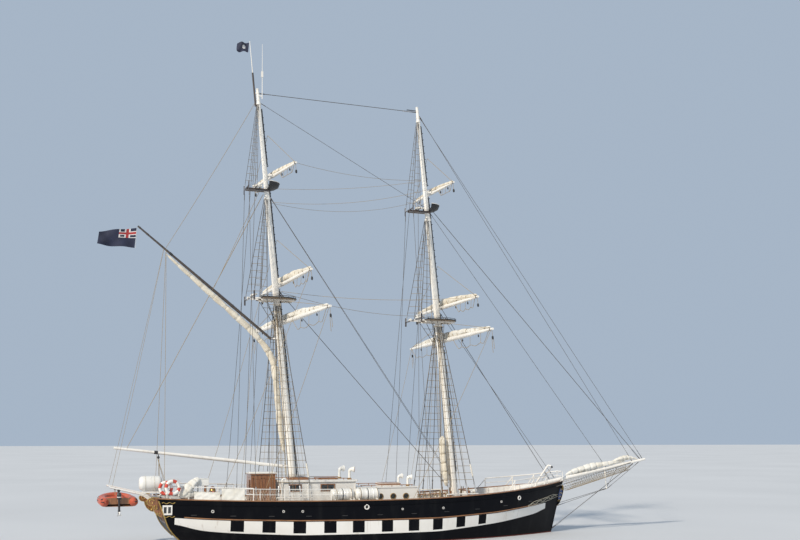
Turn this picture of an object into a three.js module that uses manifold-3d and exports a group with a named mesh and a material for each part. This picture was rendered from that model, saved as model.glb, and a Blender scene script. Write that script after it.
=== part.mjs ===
// A two-masted square-rigged sailing ship, a brig, afloat at full size.
// Millimetres. The origin is on the waterline amidships, +X points to the bow, +Y to port, +Z up.
import * as THREE from "three";
import { mergeVertices } from "three/addons/utils/BufferGeometryUtils.js";
import Module from "manifold-3d";

const wasm = await Module();
wasm.setup();

const DEGREE = Math.PI / 180;

// Clearances
const GAP = 0.5; // between pieces that touch
const PIN_GAP = 5; // around a hinge pin
const TURN_GAP = 12; // around anything that turns
const OVERLAP = 1; // between blocks that are joined side by side

// Hull
const WIDEST_X = -1000;
const BULWARK_THICK = 60;
const STEM_THICK = 200; // the bulwark's solid ends, fore and aft
const LEAST_HALF = 12; // the least half breadth of any level
const DECK_THICK = 50;
const SHEER_POWER = 2.2;

// Each level of the hull, keel to rail: its height amidships, at the bow and at the stern, where it
// meets the stem and the stern, its half breadths amidships, at the stem and at the stern, and the
// powers p and q of its plan, half = end + (mid - end) * (1 - t^p)^q, forward and aft.
const LEVEL_COLUMNS = [
  "z", "zFore", "zAft", "xFore", "xAft", "half", "halfFore", "halfAft", "pFore", "qFore", "pAft", "qAft",
];
const LEVEL_ROWS = {
  bottom: [-2100, -2100, -2100, 8600, -9350, 135, 40, 90, 2, 1, 2, 1],
  floor: [-1780, -1500, -1800, 9500, -9380, 1280, 40, 90, 1.6, 1.4, 1.6, 1.9],
  bilge: [-1200, -950, -1250, 10150, -9410, 2180, 40, 90, 1.7, 1.25, 1.7, 1.9],
  turn: [-560, -420, -600, 10600, -9450, 2700, 40, 90, 1.9, 1.15, 2, 1.4],
  waterline: [0, 0, 50, 10850, -10400, 2890, 40, 1100, 2.4, 1.05, 2.4, 1],
  wale: [700, 1150, 900, 11150, -11250, 2940, 40, 1750, 2.7, 1.05, 2.6, 1],
  deck: [1430, 2130, 1670, 11400, -11600, 2950, 40, 2050, 3, 1.05, 2.6, 1],
  rail: [2250, 2980, 2500, 11650, -11900, 2950, 40, 2200, 3, 1.05, 2.6, 1],
};
const FORE_STEPS = [0, 0.2, 0.38, 0.54, 0.68, 0.8, 0.89, 0.95, 1];
const AFT_STEPS = [1, 0.95, 0.87, 0.74, 0.58, 0.4, 0.2];

// Keel, rudder and propellers
const DRAUGHT = 2600;
const KEEL_TOP = -2100;
const KEEL_HALF = 85;
const RUDDER_SOLE = -2515; // the keel's heel below the rudder
const STOCK = { x: -9620, radius: 65, foot: -2500, top: -150 };
const SHAFT = { y: 780, z: -1350, start: -6300, tubeEnd: -7700, end: -8520, tube: 75, radius: 45 };
const STRUT = { x: -8350, barrel: 80, half: 110, radius: 34, top: -520 };
const PROPELLER = { x: -8640, radius: 390, hub: 85, blades: 4, thick: 26, chord: 210, pitch: 0.5 };

// Bowsprit
const BOWSPRIT = { heel: [8900, 0, 2560], tip: [17350, 0, 4240], radius: 150, end: 75 };
const STRIKER = { x: 14550, length: 1150, rake: 120, radius: 48, tip: 30 };
const JIB_BUNDLE = [[11900, 60], [12400, 150], [13300, 190], [14300, 160], [15300, 110], [15900, 50]];

// Masts: where each stands, its rake aft in degrees, and the heights of its fittings
const MASTS = {
  fore: { x: 4850, rake: 6, foot: 1400, top: 12070, crosstrees: 18150, truck: 23950 },
  main: { x: -4450, rake: 5.3, foot: 1400, top: 12850, crosstrees: 18600, truck: 23900 },
};
const MAST_RADII = [[0, 215], [0.45, 185], [0.7, 150], [0.97, 95], [1, 70]];
const MAST_SIDES = 14;
const SHROUD_BAR_Z = 2480;
const SHROUD_FEET = [150, -420, -990, -1560]; // ahead of the mast's foot
const TOP = { aft: 1500, fore: 100, half: 880, floorAft: 900, thick: 50 };
const TOP_SPREADER = { aft: 1450, reach: 1250, radius: 45 };
const CROSSTREES = { aft: 1110, fore: 140, half: 130, spreaders: [-1070, -630], reach: 620, radius: 35 };
const PIN_REACH = 330; // from a mast's centreline to a spar's pin
const PIN_RADIUS = 28;
const YARD_AHEAD = 160; // the yard ahead of its pin
const BRACKET_THICK = 70;
const BRACKET_HALF = 60;
const CHEEK_THICK = 30;
const CHEEK_HALF = 50;
const CHEEK_GAP = 6; // between a bracket and the cheeks above and below it

// Yards: height, half length, radius at the middle and at the tip, bracing in degrees with the
// starboard arm forward, and the radius of the furled sail at the middle
const YARD_COLUMNS = ["mast", "name", "z", "half", "radius", "tip", "brace", "sail"];
const YARD_ROWS = [
  ["fore", "fore_course", 11000, 6200, 125, 60, -1, 190],
  ["fore", "fore_topsail", 12850, 4450, 110, 55, 1, 210],
  ["fore", "fore_topgallant", 19250, 2500, 80, 45, 5, 130],
  ["main", "main_course", 11700, 6300, 125, 60, 5.5, 190],
  ["main", "main_topsail", 13700, 4800, 110, 55, 3, 210],
  ["main", "main_topgallant", 19400, 2800, 80, 45, 11, 130],
];
const SAIL_PLACES = [0.06, 0.2, 0.4, 0.6, 0.8, 0.93]; // shares of a yard's half length

// The boom and the gaff of the spanker, whose pins are aft of the mainmast: height of the pin, where
// the spar ends, and its radii at the pin, at its thickest and at its end
const SPANKER_SPARS = {
  spanker_boom: { z: 4060, endX: -13850, endZ: 5000, heel: 75, radius: 100, tip: 65 },
  gaff: { z: 10820, endX: -12670, endZ: 16250, heel: 65, radius: 85, tip: 45 },
};

// Deckhouses and their openings
const HOUSE = { aft: -5530, fore: -1500, half: 1300, wallTop: 3200, roofTop: 3290, wall: 60, eave: 50 };
const SIDE_WINDOWS = [
  { x0: -5080, x1: -4520, sides: [-1] },
  { x0: -3400, x1: -2700, sides: [-1, 1] },
];
const WINDOW = { sill: 2740, head: 3040 };
const FORE_WINDOW = { half: 900, sill: 2950 };
const DOOR = { x0: -5330, x1: -4680, foot: 1640, head: 3100, thick: 50 };
const TRUNK = { aft: -1450, fore: 2030, half: 1250, top: 2880, lip: 60, eave: 40 };
const HATCH = { aft: 200, fore: 1300, half: 450, height: 170 };
const COMPANION = { aft: -7000, fore: -5700, half: 600, top: 3650, wall: 50, roof: 60 };
const COMPANION_DOOR = { half: 330, foot: 1700, head: 3450, thick: 45 };
const HANDLE = { radius: 34, inset: 110, proud: 20 };

// Deck fittings
const PEDESTAL = { aft: -9050, fore: -8750, half: 170, top: 2720, bowl: 148 };
const WHEEL = { x: -9250, z: 2550, radius: 520, rim: 28, spokes: 8, handle: 150 };
const WINDLASS = { x: 7350, half: 620, drum: 130, height: 330 };
const ANCHOR = { x: 8350, y: 850, height: 95, shank: 550, stock: 370 };
const ANCHOR_ARMS = [[300, -350], [520, -170], [550, 0], [520, 170], [300, 350]];
const RAFT = { y: 2270, z: 2560, radius: 320, ends: [[-3170, -1980], [-1870, -550]] };
const RAFT_CHOCKS = [-3000, -2150, -1700, -720];
const CANISTER = { x: -12760, y: -1500, z: 3260, radius: 370, length: 1010 };
const LOCKERS = { aft: -11050, fore: -10150, arm: -9850, half: 1750, well: 900, top: 2150 };
const LIFEBUOY = { x: -11250, y: -2530, z: 3080, radius: 310, tube: 85 };
const PULPIT_STEPS = [0.68, 0.8, 0.89];
const PULPIT_HEIGHT = 560;
const GUARD_STEPS = [0.58, 0.74, 0.87, 0.95];
const GUARD_HEIGHT = 650;

// Stern davits and the dinghy that hangs athwartships from them
const DAVIT_Y = 1250;
const DINGHY = { x: -13700, z: 2360, tube: 235, half: 690, aftY: -1650, bowY: 1500 };
const OUTBOARD = { y: -1350, propellerZ: 1760, blades: 3 };

// Paints and finishes: colour, roughness, metalness
const FINISH = {
  black: ["#0b0d10", 0.35, 0],
  white: ["#eeebe4", 0.4, 0],
  underwater: ["#6e2420", 0.6, 0],
  teak: ["#a98255", 0.7, 0],
  varnish: ["#8a4a1e", 0.3, 0],
  canvas: ["#e9e1cd", 0.9, 0],
  steel: ["#8d8f90", 0.4, 0.9],
  bronze: ["#8c6b33", 0.4, 0.9],
  wire: ["#4a4742", 0.5, 0.6],
  orange: ["#c8452a", 0.6, 0],
  red: ["#b8322a", 0.6, 0],
  dark: ["#24262a", 0.6, 0],
};

// A row of values as an object with named columns
function named(columns, row) {
  return Object.fromEntries(columns.map((column, i) => [column, row[i]]));
}

const HULL_LEVELS = Object.values(LEVEL_ROWS).map((row) => named(LEVEL_COLUMNS, row));
const DECK = named(LEVEL_COLUMNS, LEVEL_ROWS.deck);
const RAIL = named(LEVEL_COLUMNS, LEVEL_ROWS.rail);
const YARDS = YARD_ROWS.map((row) => named(YARD_COLUMNS, row));

const ship = new THREE.Group();

// A closed three.js geometry as a solid that can be joined and cut
function solid(geometry) {
  const bare = geometry.index ? geometry.toNonIndexed() : geometry.clone();
  bare.deleteAttribute("normal");
  bare.deleteAttribute("uv");
  const merged = mergeVertices(bare, 1e-3);
  const mesh = new wasm.Mesh({
    numProp: 3,
    vertProperties: new Float32Array(merged.attributes.position.array),
    triVerts: new Uint32Array(merged.index.array),
  });
  return new wasm.Manifold(mesh);
}

// A solid as a three.js geometry
function geometryOf(body) {
  const mesh = body.getMesh();
  const geometry = new THREE.BufferGeometry();
  const positions = new Float32Array(mesh.numVert * 3);
  for (let i = 0; i < mesh.numVert; i++) {
    const start = i * mesh.numProp;
    positions.set(mesh.vertProperties.subarray(start, start + 3), i * 3);
  }
  geometry.setAttribute("position", new THREE.BufferAttribute(positions, 3));
  geometry.setIndex(new THREE.BufferAttribute(new Uint32Array(mesh.triVerts), 1));
  geometry.computeVertexNormals();
  return geometry;
}

function join(...bodies) {
  return bodies.flat().reduce((whole, body) => whole.add(body));
}

function cut(body, ...tools) {
  return tools.flat().reduce((whole, tool) => whole.subtract(tool), body);
}

// The largest body of a solid, without the crumbs that a trim leaves
function largest(body) {
  return body.decompose().reduce((best, piece) => (piece.volume() > best.volume() ? piece : best));
}

// Names a piece and puts it in the ship, or in one of its groups
function add(name, body, finish, parent = ship) {
  const [color, roughness, metalness] = FINISH[finish];
  const material = new THREE.MeshStandardMaterial({ color, roughness, metalness, flatShading: true });
  const mesh = new THREE.Mesh(geometryOf(body), material);
  mesh.name = name;
  parent.add(mesh);
}

function vec(x, y, z) {
  return new THREE.Vector3(x, y, z);
}

function lifted(point, height) {
  return vec(point.x, point.y, point.z + height);
}

// The same points on the other side of the ship, in the opposite order
function mirrored(points) {
  return points.map((point) => vec(point.x, -point.y, point.z)).reverse();
}

// A block between two values on each axis
function block(x0, x1, y0, y1, z0, z1) {
  const box = new THREE.BoxGeometry(x1 - x0, y1 - y0, z1 - z0);
  box.translate((x0 + x1) / 2, (y0 + y1) / 2, (z0 + z1) / 2);
  return solid(box);
}

// A block with the same half breadth on both sides of the centreline
function centred(x0, x1, half, z0, z1) {
  return block(x0, x1, -half, half, z0, z1);
}

// A round bar from one point to another, tapered from radius r0 to r1
function rod(from, to, r0, r1 = r0, sides = 10) {
  const along = to.clone().sub(from);
  const bar = new THREE.CylinderGeometry(r1, r0, along.length(), sides);
  bar.applyQuaternion(new THREE.Quaternion().setFromUnitVectors(vec(0, 1, 0), along.clone().normalize()));
  bar.translate((from.x + to.x) / 2, (from.y + to.y) / 2, (from.z + to.z) / 2);
  return solid(bar);
}

function ball(centre, radius, sides = 8) {
  const sphere = new THREE.SphereGeometry(radius, sides, 6);
  sphere.translate(centre.x, centre.y, centre.z);
  return solid(sphere);
}

// The same geometry with its faces turned to point out
function outward(geometry) {
  const body = solid(geometry);
  if (body.volume() > 0) {
    return body;
  }
  const flipped = geometry.index ? geometry.toNonIndexed() : geometry.clone();
  const position = flipped.attributes.position;
  const [a, b] = [vec(0, 0, 0), vec(0, 0, 0)];
  for (let i = 0; i < position.count; i += 3) {
    a.fromBufferAttribute(position, i + 1);
    b.fromBufferAttribute(position, i + 2);
    position.setXYZ(i + 1, b.x, b.y, b.z);
    position.setXYZ(i + 2, a.x, a.y, a.z);
  }
  return solid(flipped);
}

// A solid of revolution about the Z axis: profile is a list of [radius, height] from axis to axis
function turned(profile, sides = MAST_SIDES) {
  const points = profile.map(([radius, height]) => new THREE.Vector2(radius, height));
  const shape = new THREE.LatheGeometry(points, sides);
  shape.rotateX(Math.PI / 2);
  return outward(shape);
}

// A disc about the Z axis, half its thickness above the origin and half below
function disc(radius, thickness, sides) {
  const [low, high] = [-thickness / 2, thickness / 2];
  return turned([[0, low], [radius, low], [radius, high], [0, high]], sides);
}

// A flat outline of [x, z] points, extruded across the ship to a half thickness each side
function plate(outline, half) {
  const shape = new THREE.Shape(outline.map(([x, z]) => new THREE.Vector2(x, z)));
  const slab = new THREE.ExtrudeGeometry(shape, { depth: 2 * half, bevelEnabled: false });
  slab.rotateX(Math.PI / 2);
  slab.translate(0, half, 0);
  return solid(slab);
}

// A closed skin through rings of points; each end is closed by strips between a ring's two sides
function loft(rings) {
  const sides = rings[0].length;
  const positions = rings.flat().flatMap((point) => [point.x, point.y, point.z]);
  const at = (ring, k) => ring * sides + (k % sides);
  const faces = [];
  for (let i = 0; i + 1 < rings.length; i++) {
    for (let k = 0; k < sides; k++) {
      faces.push(at(i, k), at(i + 1, k), at(i + 1, k + 1));
      faces.push(at(i, k), at(i + 1, k + 1), at(i, k + 1));
    }
  }
  const last = rings.length - 1;
  for (let k = 0; k + 1 < sides / 2; k++) {
    const [a, b, c, d] = [k, k + 1, sides - 2 - k, sides - 1 - k];
    faces.push(at(0, a), at(0, b), at(0, c), at(0, a), at(0, c), at(0, d));
    faces.push(at(last, a), at(last, c), at(last, b), at(last, a), at(last, d), at(last, c));
  }
  const skin = new THREE.BufferGeometry();
  skin.setAttribute("position", new THREE.Float32BufferAttribute(positions, 3));
  skin.setIndex(faces);
  return outward(skin);
}

// A bar or bundle through a list of centres, with one radius or one for each centre
function sweep(centres, radii, sides = 8) {
  const across = vec(0, 0, 1);
  const rings = centres.map((centre, i) => {
    const before = centres[Math.max(i - 1, 0)];
    const after = centres[Math.min(i + 1, centres.length - 1)];
    const along = vec(0, 0, 0);
    along.add(centre.clone().sub(before).normalize());
    along.add(after.clone().sub(centre).normalize());
    along.normalize();
    if (i === 0 && Math.abs(along.z) > 0.9) {
      across.set(1, 0, 0);
    }
    across.addScaledVector(along, -across.dot(along)).normalize();
    const side = along.clone().cross(across);
    const radius = Array.isArray(radii) ? radii[i] : radii;
    return Array.from({ length: sides }, (_, k) => {
      const turn = ((k + 0.5) / sides) * 2 * Math.PI;
      return centre.clone()
        .addScaledVector(across, radius * Math.cos(turn))
        .addScaledVector(side, radius * Math.sin(turn));
    });
  });
  return loft(rings);
}

// A place on the hull's surface: how far along the level it lies (t = 0 amidships, 1 at the end)
function hullPoint(level, t, forward, { inset = 0, endInset = inset, rise = 0 } = {}) {
  const [power, fullness] = forward ? [level.pFore, level.qFore] : [level.pAft, level.qAft];
  const endX = forward ? level.xFore - endInset : level.xAft + endInset;
  const endHalf = Math.max(forward ? level.halfFore - inset : level.halfAft - inset, LEAST_HALF);
  const endZ = forward ? level.zFore : level.zAft;
  const mid = level.half - inset;
  const half = endHalf + (mid - endHalf) * Math.pow(1 - Math.pow(t, power), fullness);
  const x = WIDEST_X + (endX - WIDEST_X) * t;
  return vec(x, half, level.z + (endZ - level.z) * Math.pow(t, SHEER_POWER) + rise);
}

// Rings across the hull, stern to bow, through a list of [level, options]
function hullRings(levels) {
  const places = [
    ...AFT_STEPS.map((t) => [t, false]),
    ...FORE_STEPS.map((t) => [t, true]),
  ];
  return places.map(([t, forward]) => {
    const port = levels.map(([level, options]) => hullPoint(level, t, forward, options));
    return [...port, ...mirrored(port)];
  });
}

// The solid below the deck's surface raised by some height, on the hull's own deck outline
function belowDeck(rise) {
  const depth = 3000;
  return loft(hullRings([[DECK, { rise }], [DECK, { rise: -depth }]]));
}

// The space inside the bulwarks, with some more clearance at the sides
function insideBulwark(clearance) {
  const options = { inset: BULWARK_THICK + clearance, endInset: STEM_THICK + clearance };
  return loft(hullRings([[RAIL, { ...options, rise: 400 }], [DECK, { ...options, rise: -400 }]]));
}

// Everything inside the bulwarks' outer face up to the rail
function belowRail(rise) {
  return loft(hullRings([[RAIL, { rise }], [DECK, { rise: -400 }]]));
}

const deckCutter = belowDeck(DECK_THICK + GAP);
const railCutter = belowRail(GAP);
const BELOW = 1300; // a height under all of the deck, where pieces start before they are trimmed

// A piece that stands on the deck: what lies below the planking is trimmed to its sheer
function onDeck(body) {
  return cut(body, deckCutter);
}

// The height of the deck's surface at a place along the ship
function deckHeight(x) {
  const forward = x > WIDEST_X;
  const end = forward ? DECK.xFore : DECK.xAft;
  return hullPoint(DECK, (x - WIDEST_X) / (end - WIDEST_X), forward).z + DECK_THICK;
}

// Half the breadth inside the bulwark at the rail, less some clearance
function insideRail(x, clearance) {
  const forward = x > WIDEST_X;
  const end = forward ? RAIL.xFore : RAIL.xAft;
  const place = hullPoint(RAIL, (x - WIDEST_X) / (end - WIDEST_X), forward);
  return place.y - BULWARK_THICK - clearance;
}

// A place on a mast's centreline at a height, moved forward of it and to port
function onMast(mast, z, ahead = 0, side = 0) {
  return vec(mast.x - (z - mast.foot) * Math.tan(mast.rake * DEGREE) + ahead, side, z);
}

// A group whose Z axis lies along a mast at a height, a distance ahead of its centreline
function mastGroup(mast, z, ahead) {
  const group = new THREE.Group();
  const rake = mast.rake * DEGREE;
  group.position.copy(onMast(mast, z)).add(vec(ahead * Math.cos(rake), 0, ahead * Math.sin(rake)));
  group.rotation.y = -rake;
  ship.add(group);
  group.updateMatrixWorld(true);
  return group;
}

// A body made about the Z axis, laid along a mast at a height
function alongMast(body, mast, z) {
  return body.rotate([0, -mast.rake, 0]).translate([onMast(mast, z).x, 0, z]);
}

// Radius of a mast at a height
function mastRadius(mast, z) {
  const share = (z - mast.foot) / (mast.truck - mast.foot);
  const upper = Math.max(MAST_RADII.findIndex(([place]) => place >= share), 1);
  const [[a, ra], [b, rb]] = [MAST_RADII[upper - 1], MAST_RADII[upper]];
  return ra + ((rb - ra) * (share - a)) / (b - a);
}

// A mast as a tapered pole, thicker all over by some clearance
function pole(mast, clearance = 0) {
  const length = (mast.truck - mast.foot) / Math.cos(mast.rake * DEGREE);
  const profile = MAST_RADII.map(([share, radius]) => [radius + clearance, share * length]);
  profile[0][1] = -clearance;
  profile.unshift([0, -clearance]);
  profile.push([0, length + clearance]);
  return alongMast(turned(profile), mast, mast.foot);
}

const mastClear = { fore: pole(MASTS.fore, GAP), main: pole(MASTS.main, GAP) };

// The stern tube, shaft, bearing and strut on one side, thicker by some clearance
function shaftTube(side, clearance) {
  const at = (x) => vec(x, side * SHAFT.y, SHAFT.z);
  const start = at(SHAFT.start + clearance);
  const strutTop = vec(STRUT.x, side * SHAFT.y * 0.9, STRUT.top + clearance);
  return join(
    rod(start, at(SHAFT.tubeEnd), SHAFT.tube + clearance),
    rod(start, at(SHAFT.end), SHAFT.radius + clearance),
    rod(at(STRUT.x + STRUT.half), at(STRUT.x - STRUT.half), STRUT.barrel),
    rod(at(STRUT.x), strutTop, STRUT.radius + clearance, STRUT.radius + clearance, 8),
  );
}

// Hull, bulwark, deck and keel
const skinLevels = HULL_LEVELS.slice(0, -1).reverse();
const hullBody = loft(hullRings(skinLevels.map((level) => [level, {}])));
const boreRadius = STOCK.radius + TURN_GAP;
const stockBore = rod(
  vec(STOCK.x, 0, STOCK.top - 750),
  vec(STOCK.x, 0, STOCK.top + 20),
  boreRadius,
  boreRadius,
  16,
);
add("hull", cut(hullBody, stockBore, shaftTube(1, GAP), shaftTube(-1, GAP)), "black");

const heelPoint = vec(...BOWSPRIT.heel);
const tipPoint = vec(...BOWSPRIT.tip);

function bowspritBody(clearance) {
  return rod(heelPoint, tipPoint, BOWSPRIT.radius + clearance, BOWSPRIT.end + clearance, 14);
}

const bowspritClear = bowspritBody(GAP);
const bulwarkOuter = loft(hullRings([[RAIL, {}], [DECK, { rise: GAP }]]));
add("bulwark", cut(bulwarkOuter, insideBulwark(0), bowspritClear), "black");
const planking = cut(belowDeck(DECK_THICK), belowDeck(GAP)).intersect(insideBulwark(GAP));
add("deck", cut(planking, mastClear.fore, mastClear.main), "teak");

const keelSide = [
  [8450, KEEL_TOP - GAP],
  [8150, -DRAUGHT + 160],
  [7900, -DRAUGHT],
  [-9850, -DRAUGHT],
  [-9850, RUDDER_SOLE],
  [-9460, RUDDER_SOLE],
  [-9400, -2440],
  [-9400, KEEL_TOP - GAP],
];
add("keel", plate(keelSide, KEEL_HALF), "underwater");

// Rudder: the blade and its stock turn together
const rudderSide = [[-9530, -2440], [-10600, -2440], [-10720, -1500], [-10560, -110], [-9530, -610]];
const stockFoot = vec(STOCK.x, 0, STOCK.foot);
const stockTop = vec(STOCK.x, 0, STOCK.top);
const stock = rod(stockFoot, stockTop, STOCK.radius, STOCK.radius, 12);
add("rudder", join(plate(rudderSide, 45), stock), "underwater");

// One blade of a propeller about the X axis, at a turn round its hub
function propellerBlade(side, turn) {
  const root = 40;
  const blade = new THREE.BoxGeometry(PROPELLER.thick, PROPELLER.chord, PROPELLER.radius - root);
  blade.translate(0, 0, (PROPELLER.radius + root) / 2);
  blade.rotateZ(side * PROPELLER.pitch);
  blade.rotateX(turn);
  blade.translate(PROPELLER.x, side * SHAFT.y, SHAFT.z);
  return solid(blade);
}

// Shafts and propellers
for (const [side, label] of [[-1, "starboard"], [1, "port"]]) {
  add("shaft_" + label, shaftTube(side, 0), "steel");
  const hubFore = vec(PROPELLER.x + 110, side * SHAFT.y, SHAFT.z);
  const hubAft = vec(PROPELLER.x - 150, side * SHAFT.y, SHAFT.z);
  const hub = rod(hubFore, hubAft, PROPELLER.hub, 40, 12);
  const blades = [];
  for (let i = 0; i < PROPELLER.blades; i++) {
    blades.push(propellerBlade(side, (i * 2 * Math.PI) / PROPELLER.blades + 0.4));
  }
  add("propeller_" + label, join(hub, blades), "bronze");
}

// A place on the bowsprit's centreline, raised by some height
function onBowsprit(x, height = 0) {
  const share = (x - heelPoint.x) / (tipPoint.x - heelPoint.x);
  return lifted(heelPoint.clone().lerp(tipPoint, share), height);
}

// The dolphin striker below the bowsprit, thicker by some clearance
function strikerBody(clearance) {
  const top = onBowsprit(STRIKER.x, -60);
  const foot = top.clone().add(vec(STRIKER.rake, 0, -STRIKER.length));
  return rod(top, foot, STRIKER.radius + clearance, STRIKER.tip + clearance, 8);
}

// Bowsprit with its dolphin striker, bobstay and the furled headsails on the bowsprit
add("bowsprit", onDeck(join(bowspritBody(0), strikerBody(0))), "white");
const bobstay = rod(onBowsprit(16500, -60), vec(10900, 0, 150), 16, 16, 6);
const stemShell = join(hullBody, bulwarkOuter, belowRail(0)).translate([GAP, 0, 0]);
add("bobstay", largest(cut(bobstay, bowspritClear, strikerBody(GAP), stemShell)), "wire");
const jibCentres = JIB_BUNDLE.map(([x, radius]) => onBowsprit(x, BOWSPRIT.radius + radius));
const jibRadii = JIB_BUNDLE.map(([, radius]) => radius);
add("furled_headsails", cut(sweep(jibCentres, jibRadii), bowspritClear), "canvas");

// Bow pulpit: a low rail that runs round the bow, on stanchions that stand on the bulwark
const pulpitFeet = PULPIT_STEPS.map((t) => hullPoint(RAIL, t, true, { inset: 35, endInset: 35 }));
const pulpitHeads = pulpitFeet.map((foot) => lifted(foot, PULPIT_HEIGHT));
const pulpitBow = [vec(11500, 320, 3560), vec(11500, -320, 3560)];
const pulpitRail = sweep([...pulpitHeads, ...pulpitBow, ...mirrored(pulpitHeads)], 26, 6);
const pulpitLegs = [...pulpitFeet, ...mirrored(pulpitFeet)].map((foot) => {
  return rod(lifted(foot, -60), lifted(foot, PULPIT_HEIGHT), 24, 24, 6);
});
add("bow_pulpit", largest(cut(join(pulpitRail, pulpitLegs), railCutter)), "white");

// Anchor davit, windlass and anchor on the foredeck
const anchorDavit = [
  vec(9380, -700, 1700),
  vec(9560, -740, 2950),
  vec(10030, -1300, 3970),
  vec(10110, -1520, 3910),
];
add("anchor_davit", onDeck(sweep(anchorDavit, 50)), "white");

const windlassZ = deckHeight(WINDLASS.x) + WINDLASS.height;
const drumEnds = [-1, 1].map((side) => vec(WINDLASS.x, side * WINDLASS.half, windlassZ));
const cheeks = [-420, 420].map((y) => {
  return block(WINDLASS.x - 190, WINDLASS.x + 190, y - 40, y + 40, BELOW, windlassZ + 130);
});
const windlassBed = centred(WINDLASS.x - 240, WINDLASS.x + 240, 480, BELOW, windlassZ - 250);
const windlassDrum = rod(...drumEnds, WINDLASS.drum, WINDLASS.drum, 12);
add("windlass", onDeck(join(windlassDrum, cheeks, windlassBed)), "dark");

const anchorZ = deckHeight(ANCHOR.x) + ANCHOR.height;
const anchorAt = (dx, dy) => vec(ANCHOR.x + dx, ANCHOR.y + dy, anchorZ);
const anchorBody = join(
  rod(anchorAt(-ANCHOR.shank, 0), anchorAt(ANCHOR.shank, 0), 38, 38, 8),
  rod(anchorAt(-430, -ANCHOR.stock), anchorAt(-430, ANCHOR.stock), 30, 30, 8),
  sweep(ANCHOR_ARMS.map(([dx, dy]) => anchorAt(dx, dy)), 40, 6),
);
add("anchor", onDeck(anchorBody), "dark");

// Deckhouse: walls with windows and a doorway, a roof round the mainmast, and a door
const inner = HOUSE.half - HOUSE.wall;
const wallsOuter = centred(HOUSE.aft, HOUSE.fore, HOUSE.half, BELOW, HOUSE.wallTop);
const wallsInner = centred(HOUSE.aft + HOUSE.wall, HOUSE.fore - HOUSE.wall, inner, BELOW - 100, 3400);
const sideWindows = SIDE_WINDOWS.flatMap(({ x0, x1, sides }) => sides.map((side) => {
  const y = side * HOUSE.half;
  return block(x0, x1, y - 100, y + 100, WINDOW.sill, WINDOW.head);
}));
const doorway = block(DOOR.x0, DOOR.x1, inner - 40, HOUSE.half + 100, DOOR.foot, DOOR.head);
const [foreIn, foreOut] = [HOUSE.fore - 100, HOUSE.fore + 100];
const foreWindow = centred(foreIn, foreOut, FORE_WINDOW.half, FORE_WINDOW.sill, WINDOW.head);
const walls = cut(wallsOuter, wallsInner, sideWindows, doorway, foreWindow);
add("deckhouse_walls", onDeck(walls), "white");
const roof = centred(
  HOUSE.aft - HOUSE.eave,
  HOUSE.fore + HOUSE.eave - 10,
  HOUSE.half + HOUSE.eave,
  HOUSE.wallTop + GAP,
  HOUSE.roofTop,
);
add("deckhouse_roof", cut(roof, pole(MASTS.main, TURN_GAP)), "white");

const doorMiddle = (DOOR.foot + DOOR.head) / 2;
const doorLeaf = block(
  DOOR.x0 + TURN_GAP,
  DOOR.x1 - TURN_GAP,
  HOUSE.half - DOOR.thick,
  HOUSE.half,
  DOOR.foot + TURN_GAP,
  DOOR.head - TURN_GAP,
);
const doorHandle = vec(DOOR.x0 + HANDLE.inset, HOUSE.half + HANDLE.proud, doorMiddle);
add("deckhouse_door", join(doorLeaf, ball(doorHandle, HANDLE.radius)), "varnish");

// Forward trunk cabin with a hatch on top
const trunkLip = TRUNK.top - TRUNK.lip;
const trunk = join(
  centred(TRUNK.aft, TRUNK.fore, TRUNK.half, BELOW, trunkLip),
  centred(TRUNK.aft, TRUNK.fore + TRUNK.eave, TRUNK.half + TRUNK.eave, trunkLip, TRUNK.top),
  centred(HATCH.aft, HATCH.fore, HATCH.half, trunkLip, TRUNK.top + HATCH.height),
);
add("forward_trunk", onDeck(trunk), "white");

// Companionway: a varnished wooden house with a door aft
const companionWall = COMPANION.top - COMPANION.roof;
const [cabinAft, cabinFore] = [COMPANION.aft - COMPANION.roof, COMPANION.fore + COMPANION.roof];
const companionShell = join(
  centred(COMPANION.aft, COMPANION.fore, COMPANION.half, BELOW, companionWall),
  centred(cabinAft, cabinFore, COMPANION.half + COMPANION.roof, companionWall, COMPANION.top),
);
const companionSpace = centred(
  COMPANION.aft + COMPANION.wall,
  COMPANION.fore - COMPANION.wall,
  COMPANION.half - COMPANION.wall,
  BELOW - 100,
  COMPANION.top - 100,
);
const companionDoorway = centred(
  COMPANION.aft - 30,
  COMPANION.aft + 80,
  COMPANION_DOOR.half,
  COMPANION_DOOR.foot,
  COMPANION_DOOR.head,
);
add("companionway", onDeck(cut(companionShell, companionSpace, companionDoorway)), "varnish");
const companionLeaf = centred(
  COMPANION.aft,
  COMPANION.aft + COMPANION_DOOR.thick,
  COMPANION_DOOR.half - TURN_GAP,
  COMPANION_DOOR.foot + TURN_GAP,
  COMPANION_DOOR.head - TURN_GAP,
);
const companionHandle = vec(COMPANION.aft - HANDLE.proud, COMPANION_DOOR.half - HANDLE.inset, 2550);
add("companionway_door", join(companionLeaf, ball(companionHandle, HANDLE.radius)), "varnish");

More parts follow.
